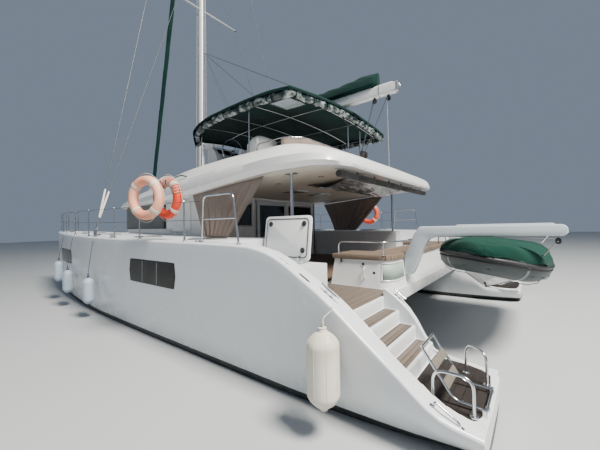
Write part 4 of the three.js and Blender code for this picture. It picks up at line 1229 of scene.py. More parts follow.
    def caps(self) -> None:
        """Rounded edges, moulded lines and rails of the bulwarks, and the rims of the platforms."""
        soft = 0.014
        edges = Form().tube(self.edge_line(self.well_outer + soft, -6.6, -3.26, soft - 0.001), soft, 12)
        edges.tube(self.edge_line(self.stair_inner - soft, -6.4, -5.302, soft - 0.001), soft, 12)
        edges.both_sides().piece("bulwark_edges", WHITE)
        line = self.edge_line(self.well_outer + 0.2, -5.76, -4.4, 0.001)
        Form().tube(line, 0.005, 8).both_sides().piece("bulwark_lines", WHITE)
        rims = Form()
        rim = [(-6.1, 2.43, 0.33), (-6.42, 2.475, 0.318), (-6.575, 2.56, 0.312), (-6.612, 2.75, 0.308),
               (-6.618, 3.2, 0.308), (-6.612, 3.5, 0.308), (-6.6, 3.57, 0.31)]
        rims.tube(rim, 0.011, 12, 0.08).both_sides().piece("platform_rims", WHITE)
        rail_y = 3.73
        rail = [(x, rail_y, z) for x, z in ((-6.25, 0.44), (-6.27, 0.49), (-6.45, 0.38), (-6.465, 0.33))]
        rails = Form().tube(rail, 0.01, 14, 0.04)
        for x, y, z in (rail[0], rail[-1]):
            rails.lathe([(0.024, 0), (0.024, 0.006), (0.012, 0.012)], (x, y, z + 0.012), sides=18)
        rails.both_sides().piece("bulwark_rails", STAINLESS)

    def below(self) -> None:
        """Finishes of the legs, rudders and propellers, whose shapes are the frame's own."""
        for side, _ in SIDES:
            dress(f"saildrive_{side}", BOTTOM_PAINT)
            dress(f"rudder_{side}", BOTTOM_PAINT)
            dress(f"propeller_{side}", BRONZE)

    def on_sheer(self, x: float, y: float) -> Matrix:
        """Place and slope of the hull's top at a point."""
        low, high = self.edge_line(y, x - 0.1, x + 0.1, 0.0, 2)
        turn = Matrix.Rotation(-math.atan2(high.z - low.z, high.x - low.x), 4, "Y")
        return Matrix.Translation((low + high) / 2) @ turn

    def deck_gear(self) -> None:
        """Flush deck hatches, mooring cleats and fairleads of both hulls; each fairlead's slot is a black
        plate of painted shade.
        """
        panes, rims, cleats, slot_shades = Form(), Form(), Form(), Form()
        for x, y, half in ((4.9, 2.88, 0.22), (3.3, 3.0, 0.25), (1.9, 3.15, 0.25), (-0.4, 3.2, 0.22),
                           (-2.5, 3.2, 0.25)):
            z = self.station(x).outer_z
            rims.plate(square(x, y, half, 0.05), z - 0.01, z + 0.022, edge=0.006)
            panes.plate(square(x, y, half - 0.03, 0.04), z, z + 0.027, edge=0.004)
        for x, y, length in ((5.75, 2.9, 0.13), (0.2, 3.68, 0.13), (-3.0, 3.72, 0.13), (-5.25, 3.71, 0.13),
                             (-5.46, 2.32, 0.1)):
            cleats.join(cleat((0, 0, -0.001), length).moved(self.on_sheer(x, y)))
        for x in (-5.0, -4.72):
            place = self.on_sheer(x, 3.79)
            cleats.join(Form().plate(square(0, 0, 0.085, 0.02, 0.026), -0.004, 0.004,
                                     edge=0.002).moved(place))
            # The black plate on each fairlead paints the shade in its slot.
            slot_shades.join(Form().plate(square(0, 0, 0.065, 0.012, 0.014), -0.002, 0.0055).moved(place))
        panes.both_sides().piece("deck_hatch_panes", DARK_GLASS)
        rims.both_sides().piece("deck_hatch_rims", ALLOY)
        cleats.both_sides().piece("mooring_cleats", STAINLESS)
        slot_shades.both_sides().piece("fairlead_slot_shades", BLACK)

    def build(self) -> None:
        """Builds both hulls."""
        port = self.skin().carved(self.tools())
        for name, side in SIDES:
            shape = Form().join(port).join(self.keel_form()).join(self.stair_lining())
            if side < 0:
                shape = shape.mirrored()
            shape.piece(f"hull_{name}_skin", HULL_WHITE, replaces=[f"hull_{name}"])
        self.windows_of()
        self.treads()
        self.caps()
        self.deck_gear()
        self.below()


@cache
def sheer_z(x: float) -> float:
    """Height of the hulls' outboard sheer at a place."""
    return Hulls().station(x).outer_z


# House


def between(rows: Sequence[Sequence[float]], x: float) -> np.ndarray:
    """Values of a table at a place, straight between its rows."""
    table = np.array(rows, float)
    return np.array([np.interp(x, table[:, 0], table[:, k]) for k in range(1, table.shape[1])])


UNDERSIDE = (
    (-4.64, 2.83), (-4.15, 2.89), (-3.3, 2.85), (-2.3, 2.77), (-1.0, 2.68), (0.6, 2.64), (2.6, 2.6),
    (3.8, 2.56),
)
# x, half breadth, underside z at the edge, fascia top z, top z at the centre
ROOF = (
    (-4.7, 2.2, 2.845, 2.95, 3.03),
    (-4.64, 2.49, 2.835, 2.975, 3.07),
    (-4.5, 2.64, 2.835, 3.015, 3.13),
    (-4.25, 2.71, 2.845, 3.06, 3.23),
    (-3.5, 2.76, 2.835, 3.12, 3.37),
    (-2.3, 2.74, 2.75, 3.08, 3.37),
    (-1.0, 2.72, 2.64, 2.98, 3.33),
    (0.3, 2.6, 2.6, 2.9, 3.24),
    (1.6, 2.42, 2.59, 2.84, 3.11),
    (2.9, 2.3, 2.57, 2.76, 2.93),
    (3.5, 2.18, 2.56, 2.68, 2.8),
    (3.86, 1.5, 2.555, 2.63, 2.69),
)


@dataclass
class Roof:
    """The house roof and the hardtop over the cockpit, one moulding."""

    lip: float = 0.09
    crown_y: float = 1.065
    lamps: Pairs = ((-1.75, 1.55), (-2.8, 1.7), (-3.75, 1.55))
    skylight: tuple[float, float, float, float] = (-2.2, 0.5, 0.34, 0.24)
    # x limits, y limits and sag of the clear curtain stowed under the hardtop
    stowed: tuple[float, ...] = (-3.98, -3.0, -2.0, 0.98, 0.11)
    rail: tuple[Spot, ...] = ((0.55, 2.47, 2.99), (0.3, 2.49, 3.06), (-0.65, 2.56, 3.12), (-0.9, 2.58, 3.06))

    def underside(self, x: float, y: float) -> float:
        """Height of the roof's underside over a point."""
        half, edge_z = between(ROOF, x)[:2]
        inner_z = between(UNDERSIDE, x)[0]
        return float(np.interp(abs(y), (self.crown_y, half - self.lip), (inner_z, edge_z)))

    def top(self, x: float, y: float) -> float:
        """Height of the roof's top over a point."""
        half, _, fascia_z, top_z = between(ROOF, x)
        shoulder = half - 0.33
        rise = fascia_z + 0.82 * (top_z - fascia_z)
        return float(np.interp(abs(y), (shoulder - 0.5, shoulder, half - 0.06), (top_z, rise, fascia_z)))

    def ring(self, x: float, shrink: float = 1.0) -> list[Spot]:
        """One section of the roof, round at its shoulders; shrink pulls it together at the ends."""
        _, half, edge_z, fascia_z, top_z = row_at(ROOF, x)
        inner_z = between(UNDERSIDE, x)[0]
        shoulder = half - 0.33
        control = [
            (half - self.lip, edge_z, 0),
            (half - 0.035, edge_z + 0.02, 0),
            (half, edge_z + 0.4 * (fascia_z - edge_z), 0),
            (half - 0.03, fascia_z - 0.03, 0),
            (half - 0.1, fascia_z + 0.01, 0),
            (shoulder, fascia_z + 0.82 * (top_z - fascia_z), 0),
            (shoulder - 0.5, top_z, 0),
            (0.0, top_z + 0.012, 0),
        ]
        over = [(p.x, p.y) for p in smooth_line(control, 26)]
        under = [(self.crown_y, inner_z), (half - self.lip - 0.02, edge_z)]
        port = [*under, *over]
        ring = [*port, *((-y, z) for y, z in reversed(port[:-1]))]
        middle = (edge_z + fascia_z) / 2
        return [(x, y * (0.985 if shrink < 1 else 1), middle + (z - middle) * shrink) for y, z in ring]

    def fittings(self) -> None:
        """Lamps and skylights under the hardtop, and handrails on the roof."""
        rims, lenses, rails = Form(), Form(), Form()
        for x, y in self.lamps:
            z = self.underside(x, y)
            rims.lathe([(0.062, 0.004), (0.062, -0.006), (0.05, -0.011), (0.046, -0.006)], (x, y, z),
                       sides=28)
            lenses.lathe([(0.045, 0.0), (0.043, -0.008), (0.02, -0.012), (0.0, -0.013)], (x, y, z), sides=24)
        rims.both_sides().piece("ceiling_lamp_rims", STAINLESS)
        lenses.both_sides().piece("ceiling_lamps", LAMP)
        x, y, half_x, half_y = self.skylight
        z = self.underside(x, y)
        frame_form = Form().plate(square(x, y, half_x, 0.06, half_y), z - 0.012, z + 0.02, edge=0.005)
        pane = Form().plate(square(x, y, half_x - 0.035, 0.05, half_y - 0.035), z - 0.016, z, edge=0.003)
        frame_form.both_sides().piece("ceiling_window_rims", ALLOY)
        pane.both_sides().piece("ceiling_windows", TINTED_GLASS)
        rails.tube(self.rail, 0.013, 14, 0.06)
        rails.tube([(-3.3, 2.43, 3.12), (-3.28, 2.43, 3.24), (-2.5, 2.44, 3.2), (-2.48, 2.44, 3.08)], 0.013,
                   14, 0.05)
        rails.both_sides().piece("roof_rails", BLACK)

    def headliner(self) -> None:
        """Cream lining under the hardtop, its warm, dark tone partly painted shade."""
        rows = []
        for x in np.linspace(-4.42, -1.16, 40):
            reach = between(ROOF, float(x))[0] - self.lip - 0.05
            across = (-reach, -self.crown_y - 0.2, -self.crown_y, 0.0, self.crown_y, self.crown_y + 0.2,
                      reach)
            rows.append([(float(x), y, self.underside(float(x), y) - 0.004) for y in across])
        Form().skin(rows).piece("hardtop_lining", WARM_SHADED_CREAM, thick=-0.002)

    def stowed_curtain(self) -> None:
        """The clear aft curtain, strapped up under the hardtop and sagging between its two edges."""
        x0, x1, y0, y1, sag = self.stowed
        rows = []
        for y in np.linspace(y0, y1, 110):
            row = []
            for t in np.linspace(0, 1, 26):
                x = x0 + t * (x1 - x0)
                loose = math.sin(math.pi * t)
                swell = 0.75 + 0.25 * math.cos(math.tau * (y - y0) / (y1 - y0) * 3)
                creases = 0.009 * math.sin(31 * x + 2.2 * y) + 0.006 * math.sin(19 * x - 7 * y)
                row.append((x, float(y),
                            self.underside(x, float(y)) - 0.02 - (sag * swell + creases) * loose))
            rows.append(row)
        film = Form().skin(rows).piece("stowed_clear_curtain", STOWED_VINYL, thick=0.0015)
        straps = Form()
        for y in np.linspace(y0 + 0.05, y1 - 0.05, 4):
            for x in (x0, x1):
                up = self.underside(x, float(y))
                straps.box((x - 0.012, y - 0.018, up - 0.03), (x + 0.012, y + 0.018, up - 0.002), 0.003)
        straps.piece("stowed_curtain_clips", GREY_PLASTIC)

    def build(self) -> None:
        """Builds the roof."""
        places = [*np.linspace(-4.7, -4.2, 26), *np.linspace(-4.14, 3.3, 64), *np.linspace(3.36, 3.86, 24)]
        rings = [self.ring(-4.718, 0.05), self.ring(-4.714, 0.45), self.ring(-4.706, 0.8)]
        rings += [self.ring(float(x)) for x in places]
        rings += [self.ring(3.868, 0.8), self.ring(3.876, 0.45), self.ring(3.88, 0.05)]
        Form().loft(rings).piece("roof_moulding", WHITE, replaces=["coachroof"])
        self.headliner()
        self.stowed_curtain()
        self.fittings()


HOUSE_ROOF = Roof()


def roof_top(x: float, y: float) -> float:
    """Height of the house roof over a point."""
    return HOUSE_ROOF.top(x, y)


@dataclass
class Saloon:
    """The house walls with their windows, sunscreens and sliding door, and what shows inside."""

    roof: Roof
    sole_z: float = 0.9604
    aft_x: float = -1.0
    half: float = 2.13
    front_x: float = 3.74
    corner_x: float = 2.95
    wall: float = 0.06
    window_z: tuple[float, float] = (1.96, 2.52)
    # x limits and y limits of the window openings
    openings: Rows = (
        (0.85, 2.75, -2.3, 2.3), (3.0, 4.0, -1.75, -1.08), (3.0, 4.0, -0.96, 0.96), (3.0, 4.0, 1.08, 1.75),
        (-1.2, -0.9, -1.9, -0.76), (-1.2, -0.9, 0.76, 1.9),
    )

    def plan(self, grow: float, aft_x: float | None = None) -> list[tuple[float, float]]:
        """Outline of the walls, grown outward, from the port aft corner round the front."""
        half, reach = self.half + grow, self.front_x - self.corner_x + grow
        start = self.aft_x if aft_x is None else aft_x
        side = [start + (self.corner_x - start) * k / 12 for k in range(12)]
        made, steps = [(x, half) for x in side], 56
        for k in range(steps + 1):
            angle = math.pi / 2 * (1 - 2 * k / steps)
            s, c = math.sin(angle), max(math.cos(angle), 0.0)
            made.append((self.corner_x + reach * c**0.8, half * math.copysign(abs(s) ** 0.55, s)))
        return [*made, *((x, -half) for x in reversed(side))]

    def band(self, outer: float, inner: float, low: float, high: float | None,
             aft_x: float | None = None) -> Form:
        """A wall along the plan; with no top given it runs up into the roof."""
        rings = []
        for (x0, y0), (x1, y1) in zip(self.plan(outer, aft_x), self.plan(inner, aft_x)):
            top = self.roof.underside(x0, y0) + 0.02 if high is None else high
            rings.append([(x0, y0, low), (x0, y0, top), (x1, y1, top), (x1, y1, low)])
        return Form().loft(rings)

    def walls(self) -> None:
        """The moulded walls, cut for their windows and the door."""
        shell = self.band(0.0, -self.wall, self.sole_z, None)
        aft = Form()
        aft.box((self.aft_x, -self.half + 0.002, self.sole_z),
                (self.aft_x + self.wall, self.half - 0.002, 2.7))
        low, high = self.window_z
        cuts = [Form().box((x0, y0, low), (x1, y1, high), 0.05, 4) for x0, x1, y0, y1 in self.openings]
        shell = shell.carved(cuts[:4])
        cuts.append(Form().box((-1.2, -0.56, self.sole_z + 0.03), (-0.9, 0.56, 2.56)))
        aft = aft.carved(cuts[4:])
        shell.join(aft).piece("saloon_shell", WHITE, replaces=["saloon_walls"])
        bulge = []
        for x in np.linspace(-0.35, 0.82, 24):
            share = (x + 0.35) / 1.17
            out = 0.055 * math.sin(math.pi * min(1.0, 0.15 + share * 0.85)) ** 0.7
            swell = [(self.half + out * part, z) for part,
                     z in ((0.6, 1.85), (1.0, 2.1), (1.0, 2.45), (0.7, 2.6))]
            flush = self.half - 0.01
            bulge.append([(float(x), y, z) for y, z in ((flush, 1.8), *swell, (flush, 2.62))])
        Form().loft(bulge).both_sides().piece("saloon_side_mouldings", WHITE)

    def glazing(self) -> None:
        """Wrap-round windows with thin bars, and the panes beside the door."""
        low, high = self.window_z
        self.band(0.012, 0.001, low - 0.04, high + 0.04,
                  0.8).piece("saloon_windows", TINTED_GLASS, replaces=["saloon_glazing"])
        panes, rims = Form(), Form()
        for y0, y1 in ((0.76, 1.9), (-1.9, -0.76)):
            panes.box((-0.985, y0 - 0.01, low - 0.01), (-0.975, y1 + 0.01, high + 0.01))
            rims.box((-1.012, y0 - 0.03, low - 0.03), (-0.99, y1 + 0.03, low + 0.01), 0.005)
            rims.box((-1.012, y0 - 0.03, high - 0.01), (-0.99, y1 + 0.03, high + 0.03), 0.005)
            rims.box((-1.012, y0 - 0.03, low), (-0.99, y0 + 0.01, high), 0.005)
            rims.box((-1.012, y1 - 0.01, low), (-0.99, y1 + 0.03, high), 0.005)
        panes.piece("aft_window_panes", TINTED_GLASS)
        rims.piece("aft_window_rims", ALLOY)

    def screens(self) -> None:
        """Grey mesh sunscreens snapped over the side windows, and the snaps along their edges."""
        for name, side in SIDES:
            outline = self.plan(0.02, 0.9)
            run = [p for p in outline if p[1] > 1.72]
            rings, length = [], 0.0
            for k, (x, y) in enumerate(run):
                length += math.dist(run[k - 1], (x, y)) if k else 0.0
                rings.append([(x, side * (y + 0.003 * math.sin(9 * x + z * 5)),
                               z) for z in np.linspace(1.93, 2.58, 14)])
            screen = Form().skin(rings).piece(f"sunscreen_{name}", SCREEN, thick=0.002)
            edge = [(x, side * (y + 0.006), z) for z in (1.95, 2.56) for x, y in run]
            half = len(edge) // 2
            beads(f"sunscreen_snaps_{name}", [edge[:half], edge[half:]], (0.16, 0.014, 0.014), STAINLESS)

    def inside(self) -> None:
        """The sole, a table with a settee and the galley, which show through the glass."""
        Form().plate(self.plan(-0.07, -0.93), 1.01, 1.03).piece("saloon_sole", TEAK_SOLE)
        wood, seats = Form(), Form()
        wood.box((1.2, 0.5, 1.03), (1.3, 0.6, 1.7), 0.01)
        wood.box((0.6, 0.2, 1.7), (1.9, 1.2, 1.74), 0.012)
        wood.box((-0.8, -2.0, 1.03), (1.4, -1.45, 1.92), 0.015)
        seats.box((0.5, 1.45, 1.03), (2.6, 2.0, 1.46), 0.05, 3)
        seats.box((0.5, 1.9, 1.46), (2.6, 2.04, 1.86), 0.04, 3)
        seats.box((2.2, 0.0, 1.03), (2.7, 1.9, 1.46), 0.05, 3)
        wood.piece("saloon_furniture", TEAK_CAP)
        padded = seats.piece("saloon_settee", CUSHION)

    def door(self) -> None:
        """The sliding door's handle and tracks; its leaf and pane are the frame's own."""
        dress("saloon_door", ALLOY)
        dress("saloon_door_pane", TINTED_GLASS)
        pull = Form().tube([(-1.056, -0.55, 1.65), (-1.085, -0.55, 1.66), (-1.085, -0.55, 1.94),
                            (-1.056, -0.55, 1.95)], 0.009, 12, 0.02)
        pull.piece("door_handle", STAINLESS, body="door")
        tracks = Form().box((-1.064, -1.75, 0.9605), (-1.018, 0.62, 0.9715), 0.002)
        tracks.box((-1.064, -1.75, 2.603), (-1.0, 0.62, 2.625), 0.003)
        tracks.piece("door_tracks", ALLOY)

    def build(self) -> None:
        """Builds the house."""
        self.walls()
        self.glazing()
        self.screens()
        self.inside()
        self.door()


@dataclass
class BridgeDeck:
    """The deck between the hulls, with the cockpit's teak sole."""

    sole_z: float = 0.96
    board: float = 0.014

    def build(self) -> None:
        """Dresses the deck and lays the sole."""
        dress("bridge_deck", DECK_WHITE)
        sole = Form()
        sole.plate([(-4.06, -2.17), (-1.1, -2.17), (-1.1, 2.17), (-4.06, 2.17)], self.sole_z,
                   self.sole_z + self.board, edge=0.004)
        sole.piece("cockpit_sole", TEAK_SOLE)


# Flybridge


def sweep(path: Sequence[Vector], section: Sequence[tuple[float, float]]) -> Form:
    """A section of outward and upward offsets, carried round a level closed path."""
    rings, count = [], len(path)
    for k, point in enumerate(path):
        along = (path[(k + 1) % count] - path[k - 1]).normalized()
        out = Vector((along.y, -along.x, 0)).normalized()
        rings.append([point + out * across + Vector((0, 0, up)) for across, up in section])
    return Form().loft([*rings, rings[0]], capped=False)


def round_loop(corners: Sequence[Point], bend: float, steps: int = 6) -> list[Vector]:
    """A closed path with every corner turned into a bend."""
    middle = (Vector(corners[0]) + Vector(corners[-1])) / 2
    return rounded([middle, *corners, middle], bend, steps)[:-1]


def cushion(name: str, low: Point, high: Point, finish: Finish, seams: int = 1) -> None:
    """A stuffed seat or back cushion, swelled by cloth under pressure, with a piped seam round it.

    Args:
        name: the piece's name.
        low: the lowest corner of the room it fills.
        high: the highest corner.
        finish: its cloth.
        seams: how many cushions lie side by side along its longest side.
    """
    low, high = Vector(low), Vector(high)
    size = high - low
    longest = max(range(3), key=lambda k: size[k])
    for number in range(seams):
        start, end = low.copy(), high.copy()
        start[longest] = low[longest] + size[longest] * number / seams + 0.006
        end[longest] = low[longest] + size[longest] * (number + 1) / seams - 0.006
        swell = 0.016
        core = Form().box([a + swell for a in start], [b - swell for b in end], 0.022, 3)
        obj = add_object(f"{name}_{number + 1}" if seams > 1 else name, core.mesh(name))
        remesh = obj.modifiers.new("voxels", "REMESH")
        remesh.mode, remesh.voxel_size = "VOXEL", 0.013
        freeze(obj)
        rest = [v.co.copy() for v in obj.data.vertices]
        inflate(obj, frames=12, pressure=4.0)
        for v, before in zip(obj.data.vertices, rest):
            step = v.co - before
            if step.length > swell:
                v.co = before + step.normalized() * swell
        smooth = obj.modifiers.new("smooth", "SUBSURF")
        smooth.levels = smooth.render_levels = 1
        freeze(obj)
        obj.data.polygons.foreach_set("use_smooth", [True] * len(obj.data.polygons))
        settle(obj, finish, HULL_BODY)
        thin = min(range(3), key=lambda k: size[k])
        ring = []
        a, b = [k for k in range(3) if k != thin]
        for u, v in ((0, 0), (1, 0), (1, 1), (0, 1)):
            corner = Vector((0, 0, 0))
            corner[thin] = (start[thin] + end[thin]) / 2
            corner[a] = start[a] + 0.006 + u * (end[a] - start[a] - 0.012)
            corner[b] = start[b] + 0.006 + v * (end[b] - start[b] - 0.012)
            ring.append(corner)
        Form().tube(round_loop(ring, 0.03), 0.004, 8, closed=True).piece(f"{obj.name}_piping", finish)


def freeze(obj: bpy.types.Object) -> None:
    """Applies every modifier of an object that isn't settled yet."""
    mesh = bpy.data.meshes.new_from_object(obj.evaluated_get(bpy.context.evaluated_depsgraph_get()))
    obj.modifiers.clear()
    obj.data = mesh


def inflate(obj: bpy.types.Object, frames: int, pressure: float) -> None:
    """Runs cloth under pressure on an object and keeps its last shape."""
    cloth = obj.modifiers.new("cloth", "CLOTH")
    cloth.settings.use_pressure, cloth.settings.uniform_pressure_force = True, pressure
    cloth.settings.quality, cloth.settings.effector_weights.gravity = 5, 0.0
    cloth.point_cache.frame_start, cloth.point_cache.frame_end = 1, frames
    scene = bpy.context.scene
    for frame_number in range(1, frames + 1):
        scene.frame_set(frame_number)
    freeze(obj)
    scene.frame_set(1)


@dataclass
class Flybridge:
    """Coaming, sole, helm console, wheel, seats, rail and weather cloth on the roof."""

    foot_z: float = 3.12
    sole_top: float = 3.39
    coaming_top: float = 3.48
    outline: Pairs = ((-3.335, 1.45), (-3.08, 1.785), (-0.3, 1.685), (0.165, 1.3))
    console_x: tuple[float, float] = (-0.56, -0.17)
    console_y: tuple[float, float] = (0.64, 1.5)
    wheel: Spot = (-0.68, 1.07, 3.89)
    wheel_radius: float = 0.34
    rail_line: Pairs = (
        (-2.25, 1.73), (-3.07, 1.785), (-3.335, 1.455), (-3.335, -1.455), (-3.07, -1.785), (-2.25, -1.73),
    )
    cloth_line: Pairs = (
        (-3.0, 1.822), (-3.09, 1.83), (-3.37, 1.48), (-3.37, -1.48), (-3.09, -1.83), (-3.0, -1.822),
    )
    cloth_z: tuple[float, float] = (3.495, 3.67)

    def moulding(self) -> None:
        """Coaming, sole, console, seat bases and steps, all one moulding."""
        loop = [(x, y, 0) for x, y in self.outline] + [(x, -y, 0) for x, y in reversed(self.outline)]
        path = round_loop(loop, 0.22, 8)
        top = self.coaming_top
        section = [(-0.05, self.foot_z), (-0.05, top - 0.03), (-0.038, top - 0.008), (-0.015, top + 0.002),
                   (0.015, top + 0.002), (0.038, top - 0.008), (0.05, top - 0.03), (0.055, self.foot_z)]
        shape = sweep(path, section)
        shape.plate([(p.x, p.y) for p in path], self.foot_z, self.sole_top)
        (x0, x1), (y0, y1) = self.console_x, self.console_y
        side = [(x0, self.foot_z), (x0, 3.7), (x0 + 0.05, 3.82), (x0 + 0.16, 3.965), (x0 + 0.2, 3.985),
                (x1 - 0.03, 3.97), (x1, 3.9)]
        shape.plate([*side, (x1, self.foot_z)], y0, y1, "xz", 0.025)
        shape.box((x1 - 0.01, y0, self.foot_z), (0.15, 1.1, top - 0.004), 0.03, 3)
        shape.box((-1.95, 0.56, self.foot_z), (-1.42, 1.54, 3.63), 0.04, 3)
        shape.box((-3.28, -1.48, self.foot_z), (-2.72, 0.98, 3.54), 0.04, 3)
        back = []
        for k in range(33):
            t = k / 32
            y = 0.56 + 0.98 * t
            bow = abs(2 * t - 1)
            x = -1.95 + 0.17 * bow**4
            high = 4.04 - 0.22 * bow**6
            back.append([(x, y, 3.6), (x, y, high - 0.03), (x + 0.02, y, high), (x + 0.05, y, high - 0.01),
                         (x + 0.06, y, 3.6)])
        shape.loft(back)
        shape.piece("flybridge_mould", WHITE, replaces=["flybridge_moulding"])
        sole = [(x + (0.12 if x < -1 else -0.12), y - 0.12) for x, y in self.outline]
        sole += [(x, -y) for x, y in reversed(sole)]
        Form().plate(sole, self.sole_top - 0.002, self.sole_top + 0.012,
                     edge=0.004).piece("flybridge_sole", DECK_WHITE)

    def helm(self) -> None:
        """Wheel, instruments, throttles, compass and a low windscreen."""
        wheel, r = Form(), self.wheel_radius
        rim = [(0, r * math.cos(a), r * math.sin(a)) for a in np.linspace(0, math.tau, 72, endpoint=False)]
        wheel.tube(rim, 0.014, 12, closed=True)
        for k in range(3):
            a = k * math.tau / 3
            bends = ((0.0, 0.03), (-0.012, 0.5 * r), (0.0, r))
            spoke = [(dish, out * math.cos(a), out * math.sin(a)) for dish, out in bends]
            wheel.tube(spoke, [0.011, 0.009, 0.008], 12)
        wheel.lathe([(0.02, -0.028), (0.045, -0.02), (0.05, 0.0), (0.042, 0.02), (0.018, 0.03),
                     (0.016, 0.11)], (0, 0, 0), (1, 0, 0), 28)
        wheel.moved(Matrix.Translation(self.wheel)).piece("helm_wheel", STAINLESS, body="wheel",
                                                          replaces=["steering_wheel"])
        screens, rims, dials = Form(), Form(), Form()
        slope = Matrix.Translation((-0.455, 0, 3.895)) @ Matrix.Rotation(math.radians(-51), 4, "Y")
        for side_y, wide in ((0.83, 0.12), (1.1, 0.1), (1.33, 0.07)):
            rims.join(Form().plate(square(0, side_y, 0.075, 0.012, wide), -0.006, 0.012,
                                   edge=0.004).moved(slope))
            screens.join(Form().plate(square(0, side_y, 0.06, 0.006, wide - 0.015), 0.0, 0.0145,
                                      edge=0.002).moved(slope))
        rims.piece("helm_instrument_rims", BLACK)
        screens.piece("helm_screens", DARK_GLASS)
        dials.lathe([(0.06, 0), (0.062, 0.012), (0.05, 0.02), (0.046, 0.04), (0.03, 0.062), (0.0, 0.07)],
                    (-0.28, 1.07, 3.975), sides=28)
        dials.piece("helm_compass", BLACK)
        levers = Form().box((-0.5, 0.66, 3.7), (-0.4, 0.74, 3.78), 0.01)
        for lever_y in (0.65, 0.745):
            levers.tube([(-0.47, lever_y, 3.78), (-0.5, lever_y, 3.86), (-0.5, lever_y, 3.88)],
                        [0.006, 0.006, 0.012], 12)
        levers.piece("helm_levers", STAINLESS)
        screen = Form()
        rings = []
        for t in np.linspace(0, 1, 25):
            bend = abs(2 * t - 1)
            px, py = -0.16 - 0.25 * bend**5, 0.66 + 0.82 * t
            rings.append([(px, py, 3.95), (px - 0.045, py, 4.085), (px - 0.039, py, 4.086),
                          (px + 0.006, py, 3.951)])
        screen.loft(rings).piece("helm_windscreen", CLEAR_PANEL)
        cushion("helm_seat", (-1.87, 0.59, 3.63), (-1.43, 1.51, 3.74), CUSHION)
        cushion("helm_back", (-1.885, 0.68, 3.76), (-1.825, 1.42, 4.0), CUSHION)
        cushion("lounge_cushion", (-3.26, -1.46, 3.54), (-2.74, 0.96, 3.63), CUSHION, seams=3)

    def rail(self) -> None:
        """Stainless rail round the aft end, with its posts and bases."""
        low, top = self.coaming_top + 0.002, 3.69
        line = [(x, y, top) for x, y in self.rail_line]
        first, last = self.rail_line[0], self.rail_line[-1]
        path = [(first[0] + 0.02, first[1], low + 0.02), *line, (last[0] + 0.02, last[1], low + 0.02)]
        rail = Form().tube(path, 0.0125, 14, 0.14)
        for x, y in (*self.rail_line[1:-1], (-3.335, 0.48), (-3.335, -0.48)):
            px = x + (0.06 if abs(y) > 1.6 else 0.0)
            rail.tube([(px, y, low), (px, y, top)], 0.011, 12)
            rail.lathe([(0.03, 0), (0.03, 0.006), (0.015, 0.014)], (px, y, low), sides=18)
        rail.piece("flybridge_hoops", STAINLESS, replaces=["flybridge_rail"])

    def weather(self) -> None:
        """Tan mesh laced under the rail, with hems and panel seams."""
        path = rounded([(x, y, 0) for x, y in self.cloth_line], 0.1, 8)
        fine = resampled(path, 0.03)
        low, high = self.cloth_z
        rings = []
        for k, p in enumerate(fine):
            wave = 0.004 * math.sin(k * 0.55) + 0.003 * math.sin(k * 0.21)
            scallop = 0.006 * abs(math.sin(k * math.pi / 9))
            rings.append([(p.x * (1 - wave / 4), p.y,
                           low + (high - scallop - low) * s / 8) for s in range(9)])
        band = Form().skin(rings).piece("weather_band", TAN, replaces=["weather_cloth"], thick=0.002)
        hems = Form()
        for z in (low + 0.004, high - 0.012):
            hems.tube([Vector((p.x, p.y, z)) for p in fine], 0.006, 8)
        for k in range(14, len(fine) - 5, 24):
            p = fine[k]
            hems.tube([(p.x - 0.002, p.y, low), (p.x - 0.002, p.y, high - 0.01)], 0.004, 6)
        hems.piece("weather_hems", TAN)
        ties = [[(p.x, p.y, high - 0.02), (p.x + 0.015, p.y * 0.992, 3.69)] for p in fine[6:-6:9]]
        lacing = Form()
        for tie in ties:
            lacing.tube(tie, 0.003, 6)
        lacing.piece("weather_lacing", WHITE_ROPE)

    def build(self) -> None:
        """Builds the flybridge."""
        self.moulding()
        self.helm()
        self.rail()
        self.weather()


def resampled(path: Sequence[Vector], step: float) -> list[Vector]:
    """A path with points a step apart."""
    points = [Vector(p) for p in path]
    runs = [0.0]
    for a, b in zip(points, points[1:]):
        runs.append(runs[-1] + (b - a).length)
    count = max(2, round(runs[-1] / step) + 1)
    at = np.linspace(0, runs[-1], count)
    axes = [np.interp(at, runs, [p[k] for p in points]) for k in range(3)]
    return [Vector(p) for p in zip(*axes)]


# x, half breadth, edge z, centre z
CANOPY = (
    (-3.63, 1.78, 4.43, 4.55),
    (-3.47, 2.11, 4.465, 4.58),
    (-2.7, 2.19, 4.48, 4.6),
    (-1.2, 2.12, 4.47, 4.61),
    (-0.1, 1.86, 4.41, 4.56),
    (0.4, 1.45, 4.33, 4.45),
)

# radius and height of the small plate under a rail's post, and of the plate at a canopy tube's foot
RAIL_BASE = ((0.03, 0.0), (0.03, 0.006), (0.015, 0.013))
FOOT_PLATE = ((0.034, 0), (0.034, 0.007), (0.019, 0.02), (0.019, 0.05))


